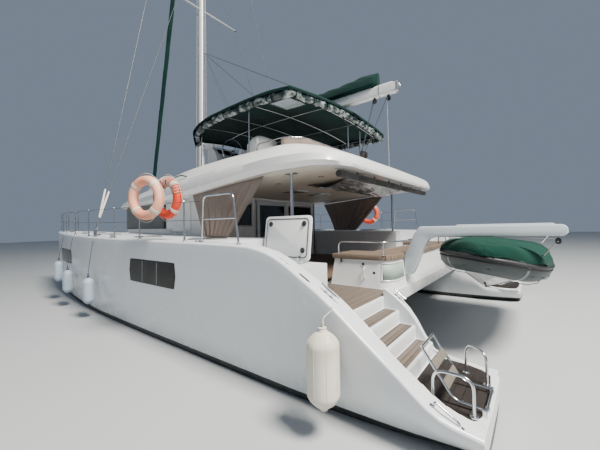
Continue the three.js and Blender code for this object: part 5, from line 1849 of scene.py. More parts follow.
@dataclass
class Bimini:
    """Canopy over the flybridge, its tube frame and the clear curtains rolled under its edges."""

    bows: tuple[float, ...] = (-3.3, -2.35, -1.4, -0.5)
    tube: float = 0.014
    # half breadth and half depth of the rolled curtains, and their middle in from the edge and under it
    roll: tuple[float, float] = (0.07, 0.084)
    inset: float = 0.079
    drop: float = 0.1
    panel: tuple[float, float, float, float] = (-3.04, -2.56, 1.1, 1.62)

    def shape(self, x: float) -> Spot:
        """Half breadth, edge height and centre height at a place."""
        _, half, edge, centre = row_at(CANOPY, x)
        return half, edge, centre

    def top(self, x: float, y: float) -> float:
        """Height of the cloth over a point, sagging between the bows."""
        half, edge, centre = self.shape(x)
        height = centre - (centre - edge) * min(1.0, (abs(y) / half)) ** 2
        inside = max(0.0, 1 - (abs(y) / half) ** 4)
        for aft, fore in zip(self.bows, self.bows[1:]):
            if aft < x < fore:
                height -= 0.028 * inside * math.sin(math.pi * (x - aft) / (fore - aft)) ** 2
        return height - 0.004

    def crown(self, x: float, y: float) -> float:
        """Height of the taut canopy over a point."""
        half, edge, centre = self.shape(x)
        return centre - (centre - edge) * (y / half) ** 2

    def under_edge(self) -> list[Vector]:
        """Middle of the rolled curtains, from the port fore corner round the aft edge to starboard."""
        port = []
        for x in (0.36, -0.1, -0.7, -1.2, -2.0, -2.7, -3.3, -3.46):
            half, edge, _ = self.shape(x)
            port.append(Vector((x, half - self.inset, edge - self.drop)))
        aft_x = CANOPY[0][0] + self.inset
        for y in (1.72, 1.2, 0.7):
            port.append(Vector((aft_x, y, self.crown(CANOPY[0][0], y) - self.drop)))
        middle = Vector((aft_x, 0, self.crown(CANOPY[0][0], 0) - self.drop))
        return rounded([*port, middle, *(Vector((p.x, -p.y, p.z)) for p in reversed(port))], 0.22, 5)

    def cloth(self) -> None:
        """The canopy: crowned, sagging between its bows, hemmed all round, with a clear pane let in."""
        rings = []
        x0, x1, y0, y1 = self.panel
        for x in np.linspace(-3.63, 0.4, 127):
            half, edge, _ = self.shape(float(x))
            ring = []
            for t in np.linspace(-1, 1, 73):
                y = half * t
                ring.append((float(x), y, self.top(float(x), y) + 0.0015 * math.sin(11 * x + 7 * y)))
            fold = 0.005 * math.sin(21 * x)
            port = [(float(x), half + 0.006, edge - 0.022), (float(x), half + fold, edge - 0.052)]
            starboard = [(a, -b, c) for a, b, c in reversed(port)]
            rings.append([*starboard, *ring, *port])
        ends = []
        for base, sign in ((rings[0], -1), (rings[-1], 1)):
            ends.append([[(a + sign * dx, b * 0.998, c - dz) for a, b, c in base] for dx,
                         dz in ((0.007, 0.024), (0.002, 0.052))])
        rings = [ends[0][1], ends[0][0], *rings, *ends[1]]
        shape = Form().skin(rings)
        kept = []
        for face in shape.faces:
            x, y, _ = (sum(shape.points[k][axis] for k in face) / len(face) for axis in range(3))
            if not (x0 < x < x1 and y0 < y < y1):
                kept.append(face)
        shape.faces = kept
        canopy = shape.piece("bimini_cloth", GREEN, replaces=["bimini_canopy"], thick=0.003)
        seams = []
        for y in (-1.15, 0.0, 0.9):
            seams.append([(float(x), y, self.top(float(x), y) + 0.003) for x in np.linspace(-3.4, 0.1, 90)])
        beads("bimini_stitches", seams, (0.012, 0.008, 0.0028), GREEN)
        hems = Form()
        for line in ([ring[0] for ring in rings], [ring[-1] for ring in rings], rings[0], rings[-1]):
            hems.tube([Vector(p) for p in line], 0.006, 8)
        rim = [(x, y, self.top(x, y) + 0.001) for x,
               y in square((x0 + x1) / 2, (y0 + y1) / 2, (x1 - x0) / 2, 0.03, (y1 - y0) / 2)]
        hems.tube(rim, 0.009, 8, closed=True)
        hems.piece("bimini_hem", GREEN)
        window = []
        for x in np.linspace(x0 - 0.03, x1 + 0.03, 12):
            window.append([(float(x), float(y),
                    self.top(float(x), float(y)) - 0.009) for y in np.linspace(y0 - 0.03, y1 + 0.03, 12)])
        pane = Form().skin(window).piece("bimini_window", CLEAR_PANEL, thick=0.002)

    def rolls(self) -> None:
        """Clear curtains rolled up and strapped under the edge, crumpled between their straps."""
        dice = random.Random(7)
        fine = resampled(self.under_edge(), 0.028)
        phases = [dice.uniform(0, math.tau) for _ in range(8)]
        up, sides, pitch = Vector((0, 0, 1)), 26, 17
        half_wide, half_deep = self.roll
        rings, straps = [], Form()
        for k, p in enumerate(fine):
            ahead, behind = fine[min(k + 1, len(fine) - 1)], fine[max(k - 1, 0)]
            along = (ahead - behind).normalized()
            other = along.cross(up).normalized()
            from_strap = (k % pitch - pitch / 2) / pitch
            pinch = 1 - 0.2 * math.exp(-((from_strap * 9) ** 2))
            lump = 0.93 + 0.05 * math.sin(k * 0.9 + phases[0]) + 0.04 * math.sin(k * 0.37 + phases[1])
            ring = []
            for s in range(sides):
                a = math.tau * s / sides
                crease = 1 + 0.07 * math.sin(3 * a + k * 0.55 + phases[2])
                crease += 0.055 * math.sin(5 * a - k * 0.32 + phases[3])
                crease += 0.04 * math.sin(9 * a + k * 1.1 + phases[4])
                size = pinch * lump * crease
                rise, reach = math.sin(a) * half_deep * size, math.cos(a) * half_wide * size
                ring.append(p + up * rise + other * reach)
            rings.append(ring)
            if k % pitch == pitch // 2 + 1:
                band = [p + up * (math.sin(a) * half_deep * 0.93) + other * (math.cos(a) * half_wide * 0.9)
                        for a in np.linspace(0, math.tau, 28)[:-1]]
                outline = [[q + along * w for q in band] for w in (-0.014, 0.014)]
                straps.loft(outline, capped=False)
        Form().loft(rings).piece("bimini_rolled_curtains", ROLLED_VINYL)
        straps.piece("bimini_roll_straps", GREEN, thick=-0.003)
        flaps = Form()
        for side in (1, -1):
            column = []
            for x, low in ((0.38, 0.2), (0.25, 0.17), (0.1, 0.1), (-0.05, 0.05)):
                half, edge, _ = self.shape(x)
                column.append([(x, side * (half + 0.004), edge - 0.05),
                               (x, side * (half + 0.001), edge - 0.05 - low)])
            flaps.skin(column)
        flaps.piece("bimini_corner_flaps", GREEN, thick=0.003)

    def frame_tubes(self) -> None:
        """Bows, side rails and posts in stainless tube."""
        tubes = Form()

        def rail_y(x: float) -> float:
            """Half span of the frame at a place, inside the rolled curtains."""
            return self.shape(x)[0] - 0.191

        def at(x: float, y: float) -> Vector:
            """Place of a tube's middle under the cloth."""
            return Vector((x, y, self.crown(x, y) - 0.076))

        for x in self.bows:
            tubes.tube([at(x, float(y)) for y in np.linspace(-rail_y(x), rail_y(x), 30)], self.tube, 12)
        for share in (1.0, 0.36, -0.36, -1.0):
            line = [at(float(x), share * rail_y(float(x))) for x in np.linspace(-3.3, 0.0, 30)]
            tubes.tube(line, self.tube * 0.9, 12)
        for x, foot_y in ((-2.3, 2.02), (-0.3, 1.79)):
            for side in (1, -1):
                foot = Vector((x, side * foot_y, roof_top(x, foot_y)))
                head = at(x, side * rail_y(x))
                tubes.tube([foot, head], self.tube, 14)
                tubes.lathe(FOOT_PLATE, foot, sides=20)
                tubes.lathe([(0.02, -0.05), (0.022, -0.02), (0.02, 0.01)], head, sides=16)
        for y in (-0.1, -0.72):
            foot = Vector((-3.44, y, roof_top(-3.44, y)))
            tubes.tube([foot, (-3.44, y, 4.33), at(-3.3, y)], self.tube, 14, 0.06)
            tubes.lathe(FOOT_PLATE, foot, sides=20)
            tubes.lathe([(0.02, -0.03), (0.021, 0.0), (0.02, 0.03)], (-3.44, y, 3.86), sides=16)
        tubes.piece("bimini_tubes", STAINLESS, replaces=["bimini_frame"])

    def build(self) -> None:
        """Builds the canopy."""
        self.frame_tubes()
        self.cloth()
        self.rolls()


# Rig

TURNBUCKLE = ((0.01, 0), (0.014, 0.03), (0.01, 0.05), (0.016, 0.07), (0.017, 0.2), (0.01, 0.23), (0.012, 0.3),
              (0.009, 0.36))


def rope(path: Sequence[Point], radius: float) -> Form:
    """A taut line through a few points."""
    return Form().tube(path, radius, 8)


def block(place: Point, size: float) -> Form:
    """A rope block: two cheeks with a sheave between them and a head shackle."""
    made = Form()
    for y0, y1 in ((-0.42, -0.26), (0.26, 0.42)):
        made.plate(square(0, 0, size, size * 0.8, size * 1.25), y0 * size, y1 * size, "xz", size * 0.06)
    made.lathe([(0.9 * size, -0.2 * size), (0.72 * size, 0.0), (0.9 * size, 0.2 * size)], (0, 0, -0.1 * size),
               (0, 1, 0), 24)
    made.box((-0.22 * size, -0.3 * size, 1.1 * size), (0.22 * size, 0.3 * size, 1.55 * size), 0.1 * size)
    return made.moved(Matrix.Translation(place))


def winch(foot: Point, size: float) -> Form:
    """A self-tailing winch."""
    profile = [(0.075, 0), (0.078, 0.02), (0.058, 0.028), (0.05, 0.06), (0.055, 0.085), (0.072, 0.094),
               (0.07, 0.104), (0.055, 0.108), (0.07, 0.112), (0.068, 0.122), (0.03, 0.126), (0.02, 0.132),
               (0.0, 0.132)]
    return Form().lathe([(r * size, z * size) for r, z in profile], foot, sides=36)


@dataclass
class Rig:
    """Mast, boom, stacked mainsail, furled headsail, shrouds and running lines."""

    mast_x0: float = 2.33
    foot_z: float = 2.96
    top_z: float = 20.3
    rake: float = 0.031
    half_x: float = 0.13
    half_y: float = 0.088
    spreaders: Pairs = ((9.45, 1.33), (14.6, 1.15))
    pin_x: float = 2.04
    pin_z: float = 4.73
    boom_aft: float = -4.72
    boom_rise: float = 0.0148
    # x, half width, height over the boom's top
    stack: tuple[Spot, ...] = (
        (1.84, 0.06, 0.43), (1.5, 0.125, 0.4), (0.2, 0.15, 0.3), (-1.5, 0.15, 0.25),
        (-2.9, 0.15, 0.25), (-4.15, 0.14, 0.3), (-4.27, 0.07, 0.29),
    )
    chainplate: Spot = (1.05, 3.7, 1.783)
    # x of the wire's foot from the chainplate's middle, and z of its top
    wires: Pairs = ((-0.045, 17.9), (0.045, 11.9))
    stay_foot: Spot = (6.155, 0.0, 1.954)
    stay_top_z: float = 18.2

    def mast_x(self, z: float) -> float:
        """Middle of the raked mast at a height."""
        return self.mast_x0 - (z - self.foot_z) * self.rake

    def boom_z(self, x: float) -> float:
        """Middle of the boom at a place."""
        return self.pin_z + (self.pin_x - x) * self.boom_rise

    def mast(self) -> None:
        """Mast tube with its track, spreaders, crane, lugs and tangs."""
        tube, dark = Form(), Form()
        rings = []
        for z, taper in ((3.02, 1.0), (9.0, 1.0), (17.6, 1.0), (19.2, 0.86), (20.3, 0.74)):
            ring = []
            for k in range(48):
                a = math.tau * k / 48
                flat = 1.0 - 0.06 * max(0.0, -math.cos(a)) ** 6
                ring.append((self.mast_x(z) + self.half_x * taper * math.cos(a) * flat,
                             self.half_y * taper * math.sin(a), z))
            rings.append(ring)
        tube.loft(rings)
        tube.lathe([(0.19, 0), (0.19, 0.012), (0.15, 0.03), (0.14, 0.05)],
                   (self.mast_x(3.0), 0, roof_top(2.33, 0) - 0.012), sides=40)
        for z, reach in self.spreaders:
            for side in (1, -1):
                rings = []
                for t in (0.0, 0.3, 0.7, 0.97, 1.0):
                    x, y, up = self.mast_x(z) - 0.22 * t, side * reach * t, z - 0.15 * t
                    chord, thick = 0.062 - 0.03 * t, 0.024 - 0.01 * t
                    if t == 1.0:
                        chord, thick = chord * 0.5, thick * 0.5
                    rings.append([(x + chord * math.cos(a), y,
                                   up + thick * math.sin(a)) for a in np.linspace(0, math.tau, 21)[:-1]])
                tube.loft(rings)
                tip = (self.mast_x(z) - 0.22, side * (reach - 0.01), z - 0.15)
                dark.lathe([(0.03, -0.02), (0.034, 0.0), (0.03, 0.02)], tip, sides=18)
        x = self.mast_x(self.top_z)
        tube.plate([(x - 0.33, 20.25), (x - 0.3, 20.23), (x + 0.16, 20.21), (x + 0.19, 20.26),
                    (x + 0.17, 20.35), (x - 0.3, 20.345)], -0.03, 0.03, "xz", 0.008)
        for up in (-0.075, 0.075):
            tube.box((self.pin_x - 0.03, -0.034, self.pin_z + up - 0.012),
                     (self.mast_x(self.pin_z) - 0.08, 0.034, self.pin_z + up + 0.012), 0.004)
        for z in (11.9, 17.9):
            for side in (1, -1):
                tube.box((self.mast_x(z) - 0.05, side * 0.084 - 0.008, z - 0.09),
                         (self.mast_x(z) + 0.02, side * 0.084 + 0.008, z + 0.03), 0.004)
        tube.piece("mast_tube", MAST_GREY, replaces=["mast"])
        ring = [[(self.mast_x(z) - self.half_x - 0.014 + dx, dy, z) for dx,
                 dy in ((0, -0.012), (0.02, -0.014), (0.02, 0.014), (0, 0.012))] for z in (4.95, 17.6)]
        dark.loft(ring)
        dark.lathe([(0.03, 0), (0.034, 0.03), (0.03, 0.06), (0.0, 0.07)], (x + 0.1, 0, 20.35), sides=20)
        dark.tube([(x - 0.22, 0, 20.34), (x - 0.22, 0, 20.44), (x - 0.36, 0, 20.45)], 0.004, 8)
        dark.lathe([(0.045, -0.05), (0.05, 0.0), (0.03, 0.06)],
                   (self.mast_x(12.4) + self.half_x + 0.02, 0, 12.4), sides=20)
        dark.piece("mast_fittings", BLACK)

    def boom(self) -> None:
        """Box boom with its end casting, toggle, pin and reef lines."""
        tube, ends, lines = Form(), Form(), Form()
        rings = []
        for x, scale in ((1.98, 0.94), (1.95, 1.0), (-4.6, 1.0), (-4.66, 0.97)):
            z = self.boom_z(x)
            ring = []
            for k in range(40):
                a = math.tau * k / 40
                c, s = math.cos(a), math.sin(a)
                ring.append((x, 0.078 * scale * math.copysign(abs(c) ** 0.45, c),
                             z + 0.122 * scale * math.copysign(abs(s) ** 0.45, s)))
            rings.append(ring)
        tube.loft(rings)
        tube.piece("boom_tube", BOOM_GREY, body="boom_and_sail", replaces=["boom"])
        z = self.boom_z(self.boom_aft)
        ends.plate([(-4.6, z - 0.11), (-4.7, z - 0.1), (-4.72, z - 0.06), (-4.72, z + 0.07),
                    (-4.69, z + 0.105), (-4.6, z + 0.115)], -0.072, 0.072, "xz", 0.012)
        for y in (-0.035, 0.035):
            ends.lathe([(0.05, -0.014), (0.036, 0.0), (0.05, 0.014)], (-4.685, y, z + 0.02), (0, 1, 0), 24)
        ends.box((1.95, -0.028, self.pin_z - 0.055), (2.055, 0.028, self.pin_z + 0.055), 0.008)
        ends.lathe([(0.0115, -0.098), (0.0115, 0.098)], (self.pin_x, 0, self.pin_z), sides=20)
        ends.lathe([(0.019, 0.088), (0.019, 0.1)], (self.pin_x, 0, self.pin_z), sides=20)
        ends.piece("boom_ends", ALLOY, body="boom_and_sail")
        for x, y in ((-4.18, 0.02), (-4.48, -0.02)):
            lines.join(block((x, y, self.boom_z(x) - 0.19), 0.042))
            lines.box((x - 0.02, y - 0.02, self.boom_z(x) - 0.135),
                      (x + 0.02, y + 0.02, self.boom_z(x) - 0.11), 0.004)
        lines.piece("boom_blocks", BLACK, body="boom_and_sail")
        reefs = Form()
        for x in (-4.3, -3.2, -2.2):
            ring = []
            for a in np.linspace(0, math.tau, 29)[:-1]:
                c, s = math.cos(a), math.sin(a)
                ring.append((x, 0.083 * math.copysign(abs(c) ** 0.5, c),
                             self.boom_z(x) + 0.128 * math.copysign(abs(s) ** 0.5, s)))
            reefs.tube(ring, 0.005, 8, closed=True)
        reefs.piece("boom_reef_lines", DARK_ROPE, body="boom_and_sail")

    def cover(self) -> None:
        """Mainsail stacked on the boom inside its cover, slack between its battens."""
        table = np.array(self.stack[::-1], float)
        rings = []
        dice = random.Random(3)
        waves = [(dice.uniform(2.0, 9.0), dice.uniform(0, math.tau)) for _ in range(7)]
        places = np.linspace(-4.27, 1.84, 150)
        rows = smooth_rows(table[:, 0], table, places)
        for x, half, height in rows:
            base = self.boom_z(x) + 0.121
            ring = []
            for k in range(30):
                t = k / 29
                a = math.pi * t
                lump = sum(math.sin(f * x + 5 * t + ph) for f, ph in waves) / 7
                sag = 1 + 0.16 * lump * math.sin(a)
                tuck = 0.7 + 0.3 * math.sin(a) ** 0.5 if t in (0, 1) else 1.0
                across = math.cos(a)
                y = half * math.copysign(abs(across) ** 0.7, across) * tuck * sag
                crease = 0.012 * math.sin(15 * x + 3 * math.sin(4 * t * math.pi)) * math.sin(a)
                ring.append((x, y, base + height * math.sin(a) ** 0.8 * (1 + 0.1 * lump) + crease))
            rings.append(ring)
        cover = Form().loft(rings).piece("mainsail_cover", GREEN, body="boom_and_sail",
                                         replaces=["sail_cover"])
        seam = [[(x, 0.0, max(p[2] for p in ring) + 0.002) for x, ring in zip(places[4:-4], rings[4:-4])]]
        beads("mainsail_cover_zip", seam, (0.02, 0.014, 0.01), GREEN, body="boom_and_sail")
        hems = Form()
        for side in (1, -1):
            hems.tube([(x, side * (0.081), self.boom_z(x) + 0.128) for x in np.linspace(-4.2, 1.5, 60)],
                      0.006, 8)
        hems.piece("mainsail_cover_hems", GREEN, body="boom_and_sail")

    def headsail(self) -> None:
        """Furled headsail with its spiral edge, drum and swivel."""
        foot = Vector(self.stay_foot)
        head = Vector((self.mast_x(self.stay_top_z) + 0.142, 0, self.stay_top_z))
        along = (head - foot).normalized()
        side = Vector((0, 1, 0))
        fore = side.cross(along).normalized()
        rings = []
        for t in np.linspace(0.045, 0.965, 220):
            radius = float(np.interp(t, (0.045, 0.06, 0.5, 0.93, 0.965), (0.045, 0.066, 0.08, 0.046, 0.03)))
            middle = foot.lerp(head, float(t))
            ring = []
            for k in range(28):
                a = math.tau * k / 28
                turn = ((a / math.tau) - t * 11) % 1.0
                step = 1.0 + 0.16 * (1 - turn)
                ring.append(middle + (fore * math.cos(a) + side * math.sin(a)) * radius * 0.9 * step)
            rings.append(ring)
        Form().loft(rings).piece("headsail_roll", GREEN, replaces=["furled_headsail"])
        parts = Form()
        parts.tube([foot, head], 0.009, 10)
        at = foot.lerp(head, 0.012)
        parts.lathe([(0.04, 0), (0.095, 0.01), (0.095, 0.03), (0.05, 0.04), (0.045, 0.2), (0.09, 0.21),
                     (0.09, 0.235), (0.03, 0.26)], at, along, 36)
        parts.lathe([(0.045, 0), (0.05, 0.03), (0.05, 0.14), (0.03, 0.17)], foot.lerp(head, 0.967), along, 24)
        parts.piece("headsail_furler", BLACK)
        low, angles = foot.lerp(head, 0.1), np.linspace(0, 14 * math.pi, 180)
        coil = [low + (fore * math.cos(a) + side * math.sin(a)) * 0.084 + along * a * 0.012 for a in angles]
        Form().tube(coil, 0.006, 8).piece("headsail_sheet_turns", DARK_ROPE)

    def shrouds(self) -> None:
        """Wires with turnbuckles and white sleeves, and the chainplates."""
        x, y, z = self.chainplate
        for name, side in SIDES:
            wires, fittings, sleeves = Form(), Form(), Form()
            for aside, top_z in self.wires:
                low = Vector((x + aside, side * y, z + 0.1))
                high = Vector((self.mast_x(top_z) - 0.02, side * 0.092, top_z))
                along = (high - low).normalized()
                wires.tube([low + along * 0.3, high], 0.0075, 10)
                fittings.lathe(TURNBUCKLE, low, along, 18)
                sleeves.lathe([(0.012, 0.34), (0.021, 0.36), (0.022, 0.7), (0.02, 1.0), (0.011, 1.03)], low,
                              along, 18)
            wires.piece(f"shroud_wires_{name}", WIRE, replaces=[f"shrouds_{name}"])
            ear = [(x - 0.075, z), (x + 0.075, z), (x + 0.07, z + 0.12), (x + 0.05, z + 0.14),
                   (x - 0.05, z + 0.14), (x - 0.07, z + 0.12)]
            fittings.plate(ear, side * y - 0.012, side * y + 0.012, "xz", 0.003)
            fittings.box((x - 0.11, side * y - 0.035, z - 0.008), (x + 0.11, side * y + 0.035, z + 0.004),
                         0.002)
            fittings.piece(f"shroud_fittings_{name}", STAINLESS)
            sleeves.piece(f"shroud_sleeves_{name}", FENDER_WHITE)

    def lines(self) -> None:
        """Halyards, lazy jacks, mainsheet, and the winches and clutches at the mast's foot."""
        halyards = Form()
        for dx, dy, high in ((0.16, 0.05, 19.9), (0.17, -0.03, 17.9), (-0.11, 0.075, 20.1),
                             (-0.11, -0.075, 17.2)):
            low_z = roof_top(2.3, 0) + 0.12
            halyards.join(rope([(self.mast_x(low_z) + dx, dy * 1.8, low_z),
                                (self.mast_x(high) + dx * 0.6, dy, high)], 0.005))
        halyards.piece("halyards", WHITE_ROPE)
        jacks = Form()
        for side in (1, -1):
            top = Vector((self.pin_x - 0.01, side * 0.012, 7.95))
            for x in (0.3, -1.4, -3.1):
                foot = Vector((x, side * 0.088, self.boom_z(x) + 0.11))
                jacks.join(rope([top, foot], 0.004))
        jacks.piece("lazy_jacks", DARK_ROPE, body="boom_and_sail")
        deck = Form()
        for y in (0.42, -0.42):
            deck.join(winch((2.02, y, roof_top(2.02, abs(y)) - 0.004), 1.0))
            deck.join(winch((0.45, 1.5 * math.copysign(1, y), roof_top(0.45, 1.5) - 0.004), 1.15))
        deck.piece("winches", STAINLESS)
        clutches = Form()
        for k in range(4):
            for side in (1, -1):
                y = side * (0.62 + 0.05 * k)
                z = roof_top(1.9, abs(y))
                clutches.box((1.8, y - 0.018, z - 0.01), (1.96, y + 0.018, z + 0.05), 0.008)
                clutches.box((1.83, y - 0.012, z + 0.045), (1.97, y + 0.012, z + 0.062), 0.004)
        for y in (0.16, -0.16, 0.24, -0.24):
            clutches.join(block((2.24, y, roof_top(2.24, 0) + 0.06), 0.03))
        clutches.piece("clutches", BLACK)
        tails = Form()
        for k in range(4):
            for side in (1, -1):
                y = side * (0.62 + 0.05 * k)
                end_y = side * (0.16 + 0.03 * k)
                tails.join(rope([(2.2, end_y, roof_top(2.2, 0) + 0.03), (1.95, y,
                        roof_top(1.9, abs(y)) + 0.025), (1.3, y, roof_top(1.3, abs(y)) + 0.012)], 0.005))
        tails.piece("halyard_tails", DARK_ROPE)
        track_x = -3.87
        edge_z = roof_top(track_x, 0.3)
        traveller = Form().box((track_x - 0.03, -0.9, edge_z - 0.01), (track_x + 0.03, 0.9, edge_z + 0.022),
                               0.006)
        traveller.piece("mainsheet_track", ALLOY)
        lower = Form()
        for y in (0.04, -0.1):
            lower.lathe([(0.03, 0.0), (0.016, 0.03), (0.02, 0.08), (0.016, 0.17)],
                        (track_x, y, edge_z + 0.02), sides=16)
            lower.join(block((track_x, y, edge_z + 0.22), 0.056))
        lower.piece("mainsheet_blocks", BLACK)
        block_z, thick = edge_z + 0.25, 0.006
        parts = ((track_x, 0.04, block_z, -4.18, thick), (track_x, -0.1, block_z, -4.48, thick),
                 (track_x, 0.02, block_z, -4.18, thick),
                 (-4.5, -0.06, roof_top(-4.5, 0.06), -4.52, 0.0035))
        for number, (low_x, low_y, low_z, high_x, radius) in enumerate(parts, 1):
            start = Vector((low_x + 0.012 * number, low_y, low_z))
            end = Vector((high_x + 0.015 * number, 0.02,
                          self.boom_z(high_x) - (0.2 if radius > 0.005 else 0.115)))
            path = [start.lerp(end, float(t)) for t in np.linspace(0, 1, 30)]
            finish = DARK_ROPE if radius > 0.005 else WHITE_ROPE
            sheet_part = Form().tube(path, radius, 8).piece(f"mainsheet_{number}", finish, body=None)
            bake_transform(sheet_part)

    def build(self) -> None:
        """Builds the rig."""
        self.mast()
        self.boom()
        self.cover()
        self.headsail()
        self.shrouds()
        self.lines()


# Foredeck and side decks


@dataclass
class Foredeck:
    """Crossbeam, trampoline and pulpits between and on the bows."""

    beam: tuple[float, float] = (6.17, 1.74)
    beam_half: float = 2.645
    beam_radius: float = 0.09
    # x and half breadth of the net
    net: Pairs = ((4.37, 2.29), (5.2, 2.435), (6.05, 2.615))
    net_z: float = 1.711
    mesh_size: float = 0.055
    pulpit: Pairs = ((5.5, 3.15), (6.25, 3.01), (6.56, 2.9), (6.25, 2.8), (5.7, 2.68))

    def build(self) -> None:
        """Builds the foredeck."""
        x, z = self.beam
        r, half = self.beam_radius, self.beam_half
        tube = Form().lathe([(r, -half), (r, half)], (x, 0, z), (0, 1, 0), 40)
        tube.lathe([(0.03, -0.42), (0.03, -0.06)], (x, 0, z), sides=24)
        fin = [(x - 0.09, z + 0.05), (x + 0.06, z + 0.05), (x + 0.05, z + 0.19), (x + 0.02, z + 0.21),
               (x - 0.05, z + 0.21), (x - 0.08, z + 0.18)]
        tube.plate(fin, -0.012, 0.012, "xz", 0.003)
        tube.piece("crossbeam_tube", ALLOY, replaces=["crossbeam"])
        wires = Form()
        for side in (1, -1):
            wires.tube([(x, 0, z - 0.4), (x, side * 2.56, z - 0.02)], 0.009, 12)
            wires.lathe([(0.02, -0.03), (0.024, 0.0), (0.02, 0.03)], (x, side * 0.03, z - 0.398), (0, 1, 0),
                        16)
        wires.piece("crossbeam_stays", STAINLESS)
        self.trampoline()
        for name, side in SIDES:
            self.rail(name, side)

    def half_at(self, x: float) -> float:
        """Half breadth of the net at a place."""
        return float(np.interp(x, *zip(*self.net)))

    def trampoline(self) -> None:
        """Netting of crossed cords with a bolt rope, laced to the beam and the hulls."""
        x0, x1 = self.net[0][0], self.net[-1][0]
        rows = round((x1 - x0) / self.mesh_size)
        columns = round(2 * self.net[-1][1] / self.mesh_size)
        points, edges = [], []
        for i in range(rows + 1):
            x = x0 + (x1 - x0) * i / rows
            for j in range(columns + 1):
                y = self.half_at(x) * (2 * j / columns - 1)
                dip = 0.004 * math.sin(math.pi * i / rows) * math.cos(math.pi * (j / columns - 0.5))
                points.append((x, y, self.net_z - dip))
        for i in range(rows + 1):
            for j in range(columns + 1):
                here = i * (columns + 1) + j
                if j < columns:
                    edges.append((here, here + 1))
                if i < rows:
                    edges.append((here, here + columns + 1))
        base = bpy.data.meshes.new("net_base")
        base.from_pydata(points, edges, [])
        net_tree(NET).run("trampoline_net", base, {"Radius": 0.003}, NET, replaces=["trampoline"])
        loop = [(x, y, self.net_z) for x,
                y in self.net] + [(x, -y, self.net_z) for x, y in reversed(self.net)]
        border = Form().tube([Vector(p) for p in [*loop, loop[0]]], 0.009, 10, 0.04)
        zig = []
        for k in range(81):
            y = -2.55 + 5.1 * k / 80
            zig.append((6.055 if k % 2 else 6.1, y, self.net_z if k % 2 else self.net_z - 0.012))
        border.tube(zig, 0.004, 6)
        border.piece("trampoline_edge", WHITE_ROPE)

    def rail(self, name: str, side: float) -> None:
        """Pulpit of one bow."""
        tubes = Form()
        for up in (0.64, 0.33):
            line = [(x, side * y, sheer_z(x) + up) for x, y in self.pulpit]
            tubes.tube(line, 0.014, 14, 0.12)
        for x, y in self.pulpit:
            z = sheer_z(x)
            px = x - 0.05 if x > 6.5 else x
            tubes.tube([(px, side * y, z + 0.003), (px, side * y, z + 0.635)], 0.0135, 14)
            tubes.lathe([(0.032, 0.001), (0.032, 0.008), (0.016, 0.018)], (px, side * y, z), sides=18)
        tubes.piece(f"pulpit_tubes_{name}", STAINLESS, replaces=[f"pulpit_{name}"])


